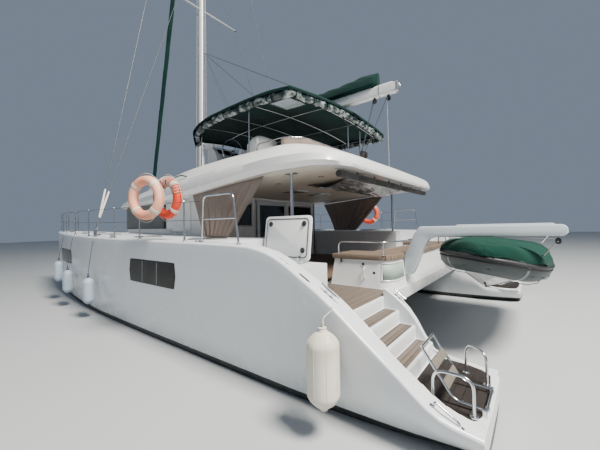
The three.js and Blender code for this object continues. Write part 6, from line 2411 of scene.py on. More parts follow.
@dataclass
class SideDecks:
    """Stanchions with their lifelines, gate hoops and life rings."""

    stanchions: Pairs = (
        (5.2, 3.22), (3.9, 3.49), (2.5, 3.67), (1.3, 3.75), (-0.16, 3.76), (-1.25, 3.76), (-2.71, 3.76),
    )
    hoop_x: tuple[float, float] = (-3.12, -3.92)
    hoop_y: float = 3.74
    hoop_top: float = 2.39
    ring_radius: float = 0.285
    ring_tube: float = 0.077

    def rails(self, name: str, side: float) -> None:
        """Lifelines and stanchions of one side."""
        posts, lines = Form(), Form()
        for x, y in self.stanchions:
            z = sheer_z(x)
            posts.tube([(x, side * y, z + 0.003), (x, side * y, z + 0.605)], [0.0135, 0.0115], 16)
            posts.lathe([(0.0125, 0.6), (0.014, 0.61), (0.008, 0.622)], (x, side * y, z), sides=16)
            posts.lathe([(0.038, 0.0), (0.038, 0.008), (0.018, 0.016), (0.017, 0.05)], (x, side * y, z),
                        sides=20)
        posts.piece(f"stanchions_{name}", STAINLESS, replaces=[f"side_rail_{name}"])
        for up in (0.6, 0.32):
            lines.tube([(x, side * y, sheer_z(x) + up) for x, y in self.stanchions], 0.0045, 8)
            (x0, y0), (x1, y1) = self.stanchions[-1], (self.hoop_x[0] - 0.04, self.hoop_y)
            lines.tube([(x0, side * y0, sheer_z(x0) + up), (x1, side * y1, sheer_z(x1) + up * 0.98)], 0.0045,
                       8)
            (x0, y0), (x1, y1) = self.stanchions[0], (5.5, 3.15)
            lines.tube([(x0, side * y0, sheer_z(x0) + up), (x1, side * y1, sheer_z(x1) + up)], 0.0045, 8)
        lines.piece(f"lifelines_{name}", WIRE)
        hoop, (fore, aft) = Form(), self.hoop_x
        y, top = side * self.hoop_y, self.hoop_top
        feet = [(fore, y, sheer_z(fore) + 0.003), (aft, y, sheer_z(aft) + 0.003)]
        hoop.tube([feet[0], (fore - 0.06, y, top), (aft + 0.09, y, top), feet[1]], 0.0135, 16, 0.09)
        hoop.tube([(fore - 0.032, y, 2.06), (aft + 0.047, y, 2.06)], 0.011, 14)
        for foot in feet:
            hoop.lathe([(0.036, -0.002), (0.036, 0.007), (0.018, 0.016)], foot, sides=20)
        hoop.piece(f"gate_tubes_{name}", STAINLESS, replaces=[f"gate_hoop_{name}"])

    def ring(self, node: str, centre: Point, yaw: float, finish: Finish, wraps: int) -> None:
        """A life ring with its bands, its grab line and rope lashed round it."""
        r, t = self.ring_radius, self.ring_tube
        turn = Matrix.Translation(centre) @ Matrix.Rotation(math.radians(yaw), 4, "Z")
        rings = []
        for k in range(73):
            a = math.tau * k / 72
            lump = 1 + 0.012 * math.sin(3 * a + 1) + 0.01 * math.sin(7 * a)
            ring = []
            for s in range(30):
                b = math.tau * s / 30
                out = r + t * lump * math.cos(b)
                ring.append((out * math.cos(a), t * lump * math.sin(b), out * math.sin(a)))
            rings.append(ring)
        Form().loft(rings, capped=False).moved(turn).piece(f"{node}_body", finish, replaces=[node])
        bands, line = Form(), Form()
        for k in range(4):
            a = math.radians(45 + 90 * k)
            band = []
            for step in np.linspace(-0.09, 0.09, 7):
                ring = []
                for s in range(30):
                    b = math.tau * s / 30
                    out = r + (t + 0.0035) * math.cos(b)
                    ring.append((out * math.cos(a + step), (t + 0.0035) * math.sin(b),
                                 out * math.sin(a + step)))
                band.append(ring)
            bands.loft(band, capped=False)
        bands.moved(turn).piece(f"{node}_bands", FENDER_WHITE, thick=0.002)
        loop = []
        for k in range(96):
            a = math.tau * k / 96
            slack = 0.5 - 0.5 * math.cos(4 * (a - math.radians(45)))
            out = r + t + 0.006 + 0.03 * slack
            loop.append((out * math.cos(a), 0.012 * math.sin(5 * a), out * math.sin(a)))
        line.tube(loop, 0.005, 8, closed=True)
        for k in range(wraps):
            start = 0.3 + 0.55 * k
            coil = []
            for step in np.linspace(0, 1, 70):
                a, b = start + 0.45 * step, math.tau * 3.2 * step
                out = r + (t + 0.01) * math.cos(b)
                coil.append((out * math.cos(a), (t + 0.01) * math.sin(b), out * math.sin(a)))
            line.tube(coil, 0.0055, 8)
        line.moved(turn).piece(f"{node}_lines", WHITE_ROPE)

    def build(self) -> None:
        """Builds the side decks' gear."""
        for name, side in SIDES:
            self.rails(name, side)
        self.ring("life_ring_outboard", (-1.925, 3.955, 2.44), 16, RING_FADED, 0)
        self.ring("life_ring_inboard", (-1.93, 3.59, 2.458), 5, RING_RED, 5)
        self.ring("life_ring_starboard", (-2.3, -3.64, 2.3), 0, RING_RED, 0)
        ties = Form()
        for x, y, z in ((-1.925, 3.77, 2.63), (-2.0, 3.77, 2.63), (-1.85, 3.77, 2.63)):
            ties.tube([(x, y - 0.1, z - 0.06), (x, y, z + 0.002), (x, y + 0.12, z - 0.04)], 0.005, 8)
        ties.piece("life_ring_ties", WHITE_ROPE)


# Cockpit and stern


@dataclass
class Cockpit:
    """Bench with its teak caps, posts, curtains and davits."""

    sole_z: float = 0.9604
    aft_x: float = -5.29
    fore_x: float = -4.24
    half: float = 2.04
    corner: float = 0.25
    # x of the seat's back, half its breadth and its height
    seat: Spot = (-4.78, 1.35, 1.36)
    top_z: float = 1.47
    # x and z of the davit's side
    davit: Pairs = (
        (-5.262, 1.13), (-5.262, 1.42), (-5.42, 1.78), (-5.5, 1.89), (-7.21, 1.9), (-7.255, 1.86),
        (-7.255, 1.79), (-7.21, 1.755), (-5.74, 1.735), (-5.64, 1.69), (-5.56, 1.54), (-5.43, 1.215),
        (-5.38, 1.13),
    )
    davit_y: float = 1.4
    curtain: Pairs = ((-1.12, 2.62), (-1.5, 1.75), (-2.32, 1.75), (-3.24, 2.79))

    def port_edge(self, inset: float) -> list[tuple[float, float]]:
        """Outline of the bench in plan from its fore end round the port aft corner, set in by a distance."""
        edge = [(self.fore_x - inset, self.half - inset)]
        middle = Vector((self.aft_x + self.corner, self.half - self.corner))
        radius = self.corner - inset
        for a in np.linspace(math.pi / 2, math.pi, 11):
            edge.append((middle.x + radius * math.cos(a), middle.y + radius * math.sin(a)))
        return edge

    def plan(self, inset: float) -> list[tuple[float, float]]:
        """The whole outline of the bench in plan."""
        port = self.port_edge(inset)
        return [*port, *((x, -y) for x, y in reversed(port))]

    def bench(self) -> None:
        """Moulded bench with its seat and its slatted caps."""
        seat_x, seat_y, seat_z = self.seat
        steps = ((self.sole_z, 0.0), (self.sole_z + 0.06, 0.008), (seat_z, 0.046))
        shape = Form().loft([[(x, y, z) for x, y in self.plan(inset)] for z, inset in steps])
        inner = [(self.fore_x, -seat_y), (seat_x, -seat_y), (seat_x, seat_y), (self.fore_x, seat_y)]
        shape.plate([*self.plan(0.048), *((min(x, self.fore_x - 0.048), y) for x, y in inner)], seat_z - 0.02,
                    1.4)
        shape.piece("bench_mould", WHITE, replaces=["cockpit_bench"])
        caps = [*self.plan(0.022), *((min(x, self.fore_x - 0.022), y) for x, y in inner)]
        Form().plate(caps, 1.39, self.top_z, edge=0.006).piece("bench_caps", TEAK_CAP)
        slats = line_mesh("seat_slat_line",
                          [[(seat_x + 0.035, 0, seat_z + 0.011), (self.fore_x - 0.07, 0, seat_z + 0.011)]])
        slat_tree(TEAK_SLAT).run("bench_seat_slats", slats,
                                 {"Slat": (0.052, 2 * seat_y - 0.05, 0.02), "Pitch": 0.06}, TEAK_SLAT)

    def bench_fittings(self) -> None:
        """Locker panel round the port aft corner in a grey-green of painted shade, handle, vents and the rail
        over the bench.
        """
        y = self.half - 0.03
        panel = []
        low_edge, high_edge = self.port_edge(0.014), self.port_edge(0.044)
        for low, high in zip(low_edge[3:], high_edge[3:]):
            panel.append([(*low, 1.09), (*high, 1.35)])
        for py in np.linspace(1.74, 1.5, 6):
            panel.append([(self.aft_x + 0.014, float(py), 1.09), (self.aft_x + 0.044, float(py), 1.35)])
        # The panel's grey-green colour is painted shade on the bench's aft face.
        Form().skin(panel).piece("locker_panel_painted_shade", LOCKER_PANEL_SHADE, thick=0.004)
        rim = [Vector(column[0]) for column in panel] + [Vector(column[1]) for column in reversed(panel)]
        Form().tube(rim, 0.011, 10, closed=True).piece("locker_rim", WHITE)
        trim = Form()
        handle = ((-0.01, 1.1), (0.045, 1.12), (0.045, 1.26), (-0.01, 1.28))
        trim.tube([(-4.84, y + out, z) for out, z in handle], 0.009, 12, 0.02)
        for x, z in ((-4.74, 1.16), (-4.95, 1.03)):
            trim.lathe([(0.018, 0), (0.018, 0.006), (0.012, 0.01)], (x, y - 0.002, z), (0, 1, 0), 20)
        trim.piece("bench_handle", FENDER_WHITE)
        vents = Form().box((-4.435, y - 0.004, 1.33), (-4.405, y + 0.006, 1.395), 0.004)
        for x, z in ((-4.81, 1.325), (-4.99, 1.2)):
            vents.lathe([(0.022, 0), (0.022, 0.006), (0.009, 0.009)], (x, y - 0.002, z), (0, 1, 0), 20)
        vents.piece("bench_vents", BLACK)
        rail, top, base = Form(), self.top_z + 0.195, self.top_z
        side_y, aft_x = self.half - 0.06, self.aft_x + 0.07
        fore_x, knee_x = -4.36, -5.13
        for side in (1, -1):
            path = [(fore_x, side_y, base), (fore_x, side_y, top), (-5.15, side_y, top), (aft_x, 1.72, top),
                    (-5.4, 1.44, top + 0.01)]
            rail.tube(flip_y(path, side), 0.0125, 14, 0.12)
            rail.tube(flip_y([(knee_x, side_y, base), (knee_x, side_y, top)], side), 0.0115, 12)
            for x in (fore_x, knee_x):
                rail.lathe(RAIL_BASE, (x, side * side_y, base), sides=18)
        rail.tube([(-5.4, 1.36, top + 0.01), (aft_x, 1.2, top), (aft_x, -1.2, top),
                   (-5.4, -1.36, top + 0.01)], 0.0125, 14, 0.12)
        for post_y in (0.9, 0.0, -0.9):
            rail.tube([(aft_x, post_y, base), (aft_x, post_y, top)], 0.011, 12)
            rail.lathe(RAIL_BASE, (aft_x, post_y, base), sides=18)
        rail.piece("bench_rail", STAINLESS)

    def posts(self) -> None:
        """Posts under the hardtop, each with a plate at its head and foot."""
        for name, side in SIDES:
            x, y = -3.64, side * 2.3
            low, high = sheer_z(x) + 0.002, 2.838
            post = Form().lathe([(0.03, 0.0), (0.03, high - low)], (x, y, low), sides=28)
            post.lathe([(0.06, 0.0), (0.06, 0.008), (0.034, 0.018)], (x, y, low), sides=28)
            post.plate(square(x, y, 0.11, 0.02, 0.06), high - 0.012, high - 0.002, edge=0.003)
            post.piece(f"post_tube_{name}", STAINLESS, replaces=[f"cockpit_post_{name}"])

    def curtains(self) -> None:
        """Side curtains hung from the hardtop and drawn in at the foot, and the aft one rolled up."""
        (fore_top, fore_z), (fore_foot, foot_z), (aft_foot, _), (aft_top, aft_z) = self.curtain
        for name, side in SIDES:
            rings = []
            for u in np.linspace(0, 1, 121):
                column = []
                for v in np.linspace(0, 1, 33):
                    top_x, top = fore_top + u * (aft_top - fore_top), fore_z + u * (aft_z - fore_z)
                    low_x = fore_foot + u * (aft_foot - fore_foot)
                    ease = v**1.25
                    x = top_x + (low_x - top_x) * ease + 0.05 * math.sin(math.pi * v) * (2 * u - 1)
                    z = top + (foot_z - top) * v
                    folds = math.sin(math.tau * 7 * u + 0.7 * math.sin(3 * v))
                    folds += 0.4 * math.sin(math.tau * 15 * u + 2 * v)
                    y = 2.575 + (0.002 + 0.026 * v**0.8) * folds
                    column.append((x, side * y, z))
                rings.append(column)
            curtain = Form().skin(rings).piece(f"curtain_{name}", TAN, replaces=[f"side_curtain_{name}"],
                                               thick=0.002)
            # The area is the mesh's own, not a cut's.
            trims = Form()
            trims.tube([(x, side * 2.575, z + 0.008) for x,
                    z in zip(np.linspace(fore_top, aft_top, 20), np.linspace(fore_z, aft_z, 20))], 0.009, 10)
            foot = [((fore_foot + aft_foot) / 2 + 0.41 * math.cos(a), side * (2.575 + 0.034 * math.sin(a)),
                     foot_z + 0.03) for a in np.linspace(0, math.tau, 40)[:-1]]
            trims.tube(foot, 0.005, 8, closed=True)
            trims.piece(f"curtain_trims_{name}", TAN)
        dice = random.Random(11)
        waves = [(dice.uniform(3, 14), dice.uniform(0, math.tau)) for _ in range(6)]
        rings = []
        for y in np.linspace(-2.42, 2.18, 160):
            lump = sum(math.sin(f * y + ph) for f, ph in waves) / 6
            pinch = 1 - 0.22 * math.exp(-(((y + 2.42) % 0.72 - 0.36) * 14) ** 2)
            ring = []
            for k in range(28):
                a = math.tau * k / 28
                spiral = 1 + 0.09 * ((a / math.tau + 0.15 * math.sin(y)) % 1.0)
                crease = 1 + 0.03 * math.sin(4 * a + 6 * y)
                radius = 0.054 * spiral * crease * (1 + 0.06 * lump) * pinch
                ring.append((-4.5 + radius * math.cos(a), float(y), 2.755 + radius * math.sin(a)))
            rings.append(ring)
        Form().loft(rings).piece("aft_curtain_roll", CHARCOAL, replaces=["rolled_curtain"])
        straps, hangers = Form(), Form()
        for y in np.arange(-2.06, 2.1, 0.72):
            ring = [(-4.5 + 0.051 * math.cos(a), y,
                     2.757 + 0.056 * math.sin(a)) for a in np.linspace(0, math.tau, 28)[:-1]]
            straps.loft([[(p[0], p[1] + w, p[2]) for p in ring] for w in (-0.014, 0.014)], capped=False)
            hangers.box((-4.51, y - 0.014, 2.8), (-4.49, y + 0.014, 2.85), 0.003)
        straps.piece("aft_curtain_straps", BLACK, thick=-0.003)
        hangers.piece("aft_curtain_hangers", BLACK)

    def davits(self) -> None:
        """Davits with rounded edges, their blocks and the falls that carry the tender."""
        for name, side in SIDES:
            outline = [(p.x, p.z) for p in rounded([(x, 0, z) for x, z in (*self.davit, self.davit[0])], 0.03,
                                                   4)[:-1]]
            low, high = sorted((side * (self.davit_y - 0.065), side * (self.davit_y + 0.065)))
            Form().plate(outline, low, high, "xz",
                         0.022).piece(f"davit_arm_{name}", DAVIT_GREY, replaces=[f"davit_{name}"])
        blocks, falls, sheaves = Form(), Form(), Form()
        for side in (1, -1):
            y = side * self.davit_y
            sheaves.box((-7.26, y - 0.03, 1.79), (-7.2, y + 0.03, 1.86), 0.01)
            blocks.join(block((-7.16, y, 1.69), 0.03))
            for aside in (0.012, -0.012):
                falls.join(rope([(-7.16, y + aside, 1.69), (-7.02, y * 0.93 + aside, 1.5)], 0.007))
            falls.join(rope([(-7.16, y, 1.72), (-6.2, y, 1.738), (-5.75, y, 1.73)], 0.005))
        blocks.piece("davit_blocks", BLACK)
        sheaves.piece("davit_sheaves", STAINLESS)
        falls.piece("davit_falls", WHITE_ROPE)

    def build(self) -> None:
        """Builds the cockpit and the davits."""
        self.bench()
        self.bench_fittings()
        self.posts()
        self.curtains()
        self.davits()


@dataclass
class SternGear:
    """Engine hatch lids, boarding ladder and grab hoops on the stern."""

    hinge_y: float = 2.69
    hinge_z: float = 1.404
    hatch_x: float = -3.8
    length: float = 0.95
    width: float = 0.7
    thick: float = 0.038
    below: float = 0.016
    open_deg: float = 98.0
    ladder_x: float = -6.598
    ladder_z: float = 0.364
    ladder_y: tuple[float, float] = (3.0, 3.4)

    def lid(self, name: str, side: float, angle: float) -> None:
        """One hatch lid with its gasket, latches, hinges and non-skid top."""
        half, corner = self.length / 2, 0.07
        low, high = -self.below, self.thick - self.below
        turn = Matrix.Translation((self.hatch_x, side * self.hinge_y,
                                   self.hinge_z)) @ Matrix.Rotation(math.radians(angle) * side, 4, "X")
        middle = self.width / 2
        body = "lid_p" if side > 0 else "lid_s"
        outline = square(0, side * middle, half, corner, middle)
        plate = Form().plate(outline, low + 0.004, high, edge=0.008)
        inner = square(0, side * middle, half - 0.045, corner, middle - 0.045)
        plate.plate(inner, low, low + 0.01, edge=0.004)
        plate.moved(turn).piece(f"lid_plate_{name}", WHITE, body=body, replaces=[f"hatch_lid_{name}"])
        top = Form().plate(square(0, side * middle, half - 0.06, 0.05, middle - 0.06), high - 0.004,
                           high + 0.002, edge=0.001)
        top.moved(turn).piece(f"lid_grip_{name}", DECK_WHITE, body=body)
        gasket = [(x, y, low + 0.003) for x, y in square(0, side * middle, half - 0.05, 0.06, middle - 0.05)]
        Form().tube(gasket, 0.0085, 10, closed=True).moved(turn).piece(f"lid_gasket_{name}", BLACK, body=body)
        latches, hinges = Form(), Form()
        for x, y in ((half - 0.13, 2 * middle - 0.13), (-half + 0.13, 2 * middle - 0.13),
                     (-half + 0.13, 0.16)):
            latches.lathe([(0.042, 0.0), (0.044, -0.008), (0.032, -0.014), (0.024, -0.02), (0.0, -0.021)],
                          (x, side * y, low + 0.001), sides=26)
            latches.box((x - 0.008, side * y - 0.03, low - 0.026), (x + 0.008, side * y + 0.03, low - 0.016),
                        0.003)
        for x in (-0.28, 0.28):
            near, far = sorted((side * -0.002, side * 0.074))
            hinges.box((x - 0.035, near, low - 0.003), (x + 0.035, far, low + 0.003), 0.001)
            hinges.tube([(x - 0.035, side * 0.004, low + 0.002), (x + 0.035, side * 0.004, low + 0.002)],
                        0.006, 12)
        latches.moved(turn).piece(f"lid_latches_{name}", BLACK, body=body)
        hinges.moved(turn).piece(f"lid_hinges_{name}", STAINLESS, body=body)

    def ladder(self) -> None:
        """Two stiles bent up at the knee, their bars, and flat weathered treads."""
        x0, z0 = self.ladder_x, self.ladder_z
        near, far = self.ladder_y
        tubes, treads = Form(), Form()
        knee, (rise_x, rise_z) = 0.25, (0.52, 0.42)
        for y in (near, far):
            tubes.tube([(x0, y, z0), (x0 + knee, y, z0 + 0.014), (x0 + rise_x, y, z0 + rise_z)], 0.0125, 14,
                       0.06)
        for x, z in ((0.0, 0.0), (rise_x, rise_z)):
            tubes.tube([(x0 + x, near, z0 + z), (x0 + x, far, z0 + z)], 0.0125, 14)
        for y in (near + 0.04, far - 0.04):
            tubes.lathe([(0.018, -0.02), (0.02, 0.0), (0.018, 0.02)], (x0, y, z0), (0, 1, 0), 18)
        tilt = math.atan2(rise_z - 0.014, rise_x - knee)
        for share in (0.25, 0.62):
            x = x0 + knee + share * (rise_x - knee)
            z = z0 + 0.014 + share * (rise_z - 0.014)
            turn = Matrix.Translation((x, 0, z)) @ Matrix.Rotation(-tilt, 4, "Y")
            board = Form().box((-0.04, near - 0.008, -0.012), (0.04, far + 0.008, 0.012), 0.005)
            treads.join(board.moved(turn))
        tubes.piece("ladder_tubes", STAINLESS, body="ladder", replaces=["boarding_ladder"])
        treads.piece("ladder_treads", LADDER_TEAK, body="ladder")

    def hoops(self) -> None:
        """Grab hoops on the port platform and the hinge feet of the ladder."""
        for name, (x0, y0), (x1, y1) in (("inner", (-6.33, 2.7), (-6.54, 2.86)),
                                         ("outer", (-6.2, 3.5), (-6.52, 3.5))):
            low, top = 0.324, 0.65
            hoop = Form().tube([(x0, y0, low), (x0, y0, top), (x1, y1, top), (x1, y1, low)], 0.0135, 16, 0.11)
            for x, y in ((x0, y0), (x1, y1)):
                hoop.lathe([(0.034, 0.01), (0.034, 0.017), (0.018, 0.026)], (x, y, low), sides=22)
            hoop.piece(f"grab_tube_{name}", STAINLESS, replaces=[f"grab_hoop_{name}"])
        feet = Form()
        for y in (self.ladder_y[0] - 0.03, self.ladder_y[1] + 0.03):
            feet.box((self.ladder_x - 0.01, y - 0.006, 0.322),
                     (self.ladder_x + 0.03, y + 0.006, self.ladder_z + 0.018), 0.003)
        feet.piece("ladder_feet", STAINLESS)

    def build(self) -> None:
        """Builds the stern gear."""
        self.lid("port", 1.0, self.open_deg)
        self.lid("starboard", -1.0, 0.0)
        self.ladder()
        self.hoops()


# Tender and fenders


def curve_through(points: Sequence[Point], count: int) -> list[Vector]:
    """Evenly spread points on a centripetal Catmull-Rom curve."""
    given = [Vector(p) for p in points]
    given = [given[0] * 2 - given[1], *given, given[-1] * 2 - given[-2]]
    made = []
    for p0, p1, p2, p3 in zip(given, given[1:], given[2:], given[3:]):
        t0 = 0.0
        t1 = t0 + (p1 - p0).length ** 0.5
        t2 = t1 + (p2 - p1).length ** 0.5
        t3 = t2 + (p3 - p2).length ** 0.5
        for k in range(20):
            t = t1 + (t2 - t1) * k / 20
            a1 = p0 * ((t1 - t) / (t1 - t0)) + p1 * ((t - t0) / (t1 - t0))
            a2 = p1 * ((t2 - t) / (t2 - t1)) + p2 * ((t - t1) / (t2 - t1))
            a3 = p2 * ((t3 - t) / (t3 - t2)) + p3 * ((t - t2) / (t3 - t2))
            b1 = a1 * ((t2 - t) / (t2 - t0)) + a2 * ((t - t0) / (t2 - t0))
            b2 = a2 * ((t3 - t) / (t3 - t1)) + a3 * ((t - t1) / (t3 - t1))
            made.append(b1 * ((t2 - t) / (t2 - t1)) + b2 * ((t - t1) / (t2 - t1)))
    made.append(given[-2])
    length = sum((b - a).length for a, b in zip(made, made[1:]))
    return resampled(made, length / (count - 1))


@dataclass
class Tender:
    """Inflatable tender with a rigid bottom, hung under the davits with its cover lashed on."""

    place: Spot = (-6.38, 0.11, 1.315)
    heel_deg: float = -8.0
    tube_radius: float = 0.2
    path: tuple[Spot, ...] = (
        (-1.56, -0.54, 0.0), (-0.5, -0.56, 0.0), (0.5, -0.545, 0.02), (1.15, -0.4, 0.07), (1.45, 0.0, 0.12),
        (1.15, 0.4, 0.07), (0.5, 0.545, 0.02), (-0.5, 0.56, 0.0), (-1.56, 0.54, 0.0),
    )
    # x, half beam of the deck, deck z, half beam of the chine, chine z, keel z
    bottom: Rows = (
        (-1.48, 0.32, -0.06, 0.4, -0.25, -0.39), (0.0, 0.32, -0.06, 0.4, -0.24, -0.42),
        (0.8, 0.26, -0.04, 0.32, -0.205, -0.36), (1.13, 0.09, -0.03, 0.11, -0.15, -0.24),
    )
    # x, half breadth, skirt z, crown z
    cover_rows: Rows = (
        (-1.54, 0.755, 0.07, 0.275), (-0.5, 0.757, 0.07, 0.28), (0.6, 0.745, 0.085, 0.3),
        (1.15, 0.63, 0.14, 0.345),
        (1.45, 0.38, 0.175, 0.36), (1.58, 0.21, 0.185, 0.335), (1.65, 0.1, 0.19, 0.28),
    )

    def pose(self) -> Matrix:
        """Where the tender hangs: athwartships, its bow to port, heeled aft."""
        return (
            Matrix.Translation(self.place)
            @ Matrix.Rotation(math.radians(self.heel_deg), 4, "Y")
            @ Matrix.Rotation(math.pi / 2, 4, "Z")
        )

    def tubes(self) -> None:
        """Air tubes with cones at their ends, glued seams, a rubbing strake and grab lines."""
        line = curve_through(self.path, 120)
        radii = [self.tube_radius * 0.985] * len(line)
        for k in range(12):
            share = math.sin(math.pi / 2 * min(1.0, (k + 0.6) / 9)) ** 0.7
            radii[k] *= share
            radii[-1 - k] *= share
        pose = self.pose()
        Form().tube(line, radii, 36).moved(pose).piece("tender_tubes", TUBE_GREY, replaces=["tender_tube"])
        seams, strake, grips = Form(), Form(), Form()
        tape = ((0.987, -0.02), (0.994, -0.018), (0.994, 0.018), (0.987, 0.02))
        for k in (16, 34, 52, 67, 85, 103):
            along = (line[k + 1] - line[k - 1]).normalized()
            seams.lathe([(self.tube_radius * part, at) for part, at in tape], line[k], along, 44)
        outer, low = [], []
        for k, p in enumerate(line[4:-4], 4):
            along = (line[min(k + 1, 119)] - line[k - 1]).normalized()
            out = along.cross(Vector((0, 0, 1))).normalized()
            outer.append(p + out * radii[k] * 0.985 + Vector((0, 0, radii[k] * 0.2)))
            low.append(p + out * radii[k] * 0.86 - Vector((0, 0, radii[k] * 0.5)))
        strake.tube(outer, 0.026, 12)
        strake.tube([p - Vector((0, 0, 0.05)) for p in outer], 0.014, 10)
        for k in range(8, 104, 12):
            a, b = low[k], low[min(k + 9, len(low) - 1)]
            droop = [a.lerp(b, t) - Vector((0, 0, 0.03 * math.sin(math.pi * t))) + (a.lerp(b,
                    t) - Vector((0, 0, a.z))).normalized() * 0.01 for t in np.linspace(0, 1, 9)]
            grips.tube(droop, 0.005, 8)
        seams.moved(pose).piece("tender_seams", GREY_PLASTIC)
        strake.moved(pose).piece("tender_strake", BLACK)
        grips.moved(pose).piece("tender_grab_lines", DARK_ROPE)

    def hull(self) -> None:
        """Rigid V bottom with its keel strip, chines and transom."""
        rings = []
        for x in np.linspace(-1.48, 1.13, 60):
            _, half, deck, chine, chine_z, keel = row_at(self.bottom, x)
            port = []
            for t in np.linspace(0, 1, 9):
                port.append((x, t * chine, keel + (chine_z - keel) * t**1.15))
            port += [(x, chine + 0.004, chine_z + 0.012),
                     (x, chine - 0.3 * (chine - half), chine_z + 0.4 * (deck - chine_z)), (x, half, deck)]
            rings.append([*((a, -b, c) for a, b, c in reversed(port[1:])), *port])
        pose = self.pose()
        Form().loft(rings).moved(pose).piece("tender_bottom", WHITE, replaces=["tender_hull"])
        strip, chines = [], []
        for x in np.linspace(-1.47, 1.1, 40):
            _, _, _, chine, chine_z, keel = row_at(self.bottom, x)
            strip.append((x, 0, keel - 0.002))
            chines.append((x, 0.55 * chine, keel + (chine_z - keel) * 0.55**1.15 - 0.002))
        Form().tube(strip, 0.016, 10).moved(pose).piece("tender_keel_strip", BLACK)
        strakes = Form().tube(chines, 0.011, 8).tube([(x, -y, z) for x, y, z in chines], 0.011, 8)
        strakes.moved(pose).piece("tender_spray_rails", WHITE)
        transom = Form().plate([(-0.36, -0.2), (0.36, -0.2), (0.34, 0.14), (0.2, 0.17), (-0.2, 0.17),
                                (-0.34, 0.14)], -1.4, -1.36, "yz", 0.008)
        transom.moved(pose).piece("tender_transom", GREY_PLASTIC)

    def cover(self) -> None:
        """Cover drawn over the tubes, with a cord in its hem and lashings under the hull."""
        profile = [(1.0, 0.0), (0.985, 0.25), (0.93, 0.53), (0.8, 0.81), (0.62, 0.95), (0.25, 1.0),
                   (0.0, 1.005)]
        across = smooth_line([(a, b, 0) for a, b in profile], 24)
        rings, hems = [], ([], [])
        places = [*np.linspace(-1.54, 1.4, 90), *np.linspace(1.43, 1.65, 18)]
        for x in places:
            _, half, skirt, crown = row_at(self.cover_rows, x)
            port = []
            for k, p in enumerate(across):
                t = k / (len(across) - 1)
                crease = 0.006 * math.sin(13 * x + 4 * t) + 0.004 * math.sin(29 * x - 7 * t)
                pull = 0.012 * (1 - t) ** 3 * math.sin(17 * x)
                sag = -0.03 * (1 - p.x) * (0.5 - 0.5 * math.cos(math.tau * (x + 1.54) / 0.8)) * (1 - p.x)
                port.append((x, half * p.x + crease * 0.6,
                             skirt + p.y * (crown - skirt) + crease + pull + sag))
            starboard = [(a, -b, c) for a, b, c in reversed(port[:-1])]
            ring = [*port, *starboard]
            rings.append(ring)
            hems[0].append(ring[0])
            hems[1].append(ring[-1])
        aft = [(a - 0.012, b * 0.995, c - 0.02) for a, b, c in rings[0]]
        low = [(a - 0.014, b * 0.99, c - 0.05) for a, b, c in aft]
        point = Vector((1.675, 0.0, 0.19))
        nose = [[Vector(p).lerp(point, share) for p in rings[-1]] for share in (0.4, 0.75, 0.97)]
        pose = self.pose()
        shape = Form().skin([low, aft, *rings, *nose]).moved(pose)
        cover = shape.piece("tender_canvas", TENDER_GREEN, replaces=["tender_cover"], thick=0.003)
        cord_line = Form()
        for hem in hems:
            cord_line.tube([Vector(p) for p in hem], 0.007, 8)
        cord_line.moved(pose).piece("tender_hem", TENDER_GREEN)
        lashings = Form()
        for x in (-1.1, -0.45, 0.25, 0.9):
            _, half, skirt, _ = row_at(self.cover_rows, x)
            _, _, _, chine, chine_z, keel = row_at(self.bottom, x)
            y_tube = float(np.interp(x, (-1.5, 0.5, 1.15), (0.55, 0.545, 0.4)))
            path = [(x, half, skirt), (x, y_tube + 0.14, -0.15), (x, y_tube + 0.02, -0.205),
                    (x, chine + 0.01, chine_z - 0.006), (x, 0.0, keel - 0.02)]
            whole = [*path, *((a, -b, c) for a, b, c in reversed(path[:-1]))]
            lashings.tube(whole, 0.005, 8)
        lashings.moved(pose).piece("tender_lashings", DARK_ROPE)
        crest = [pose @ Vector((ring[23][0], 0.0, ring[23][2] + 0.001)) for ring in rings[3:-3]]
        beads("tender_seam_stitches", [crest], (0.014, 0.009, 0.0035), TENDER_GREEN)

    def falls(self) -> None:
        """Lifting slings from the aft tube up to the davits' falls, and their rings."""
        slings, rings = Form(), Form()
        pose = self.pose()
        for along in (-1.25, 1.18):
            head = (-7.02, 1.3 * math.copysign(1, along), 1.5)
            slings.join(rope([pose @ Vector((along, 0.5, 0.19)), head], 0.006))
            rings.lathe([(0.03, -0.006), (0.036, 0.0), (0.03, 0.006)], pose @ Vector((along, 0.5, 0.2)),
                        (0, 1, 0), 20)
        slings.piece("tender_slings", DARK_ROPE)
        rings.piece("tender_rings", STAINLESS)

    def build(self) -> None:
        """Builds the tender."""
        self.tubes()
        self.hull()
        self.cover()
        self.falls()


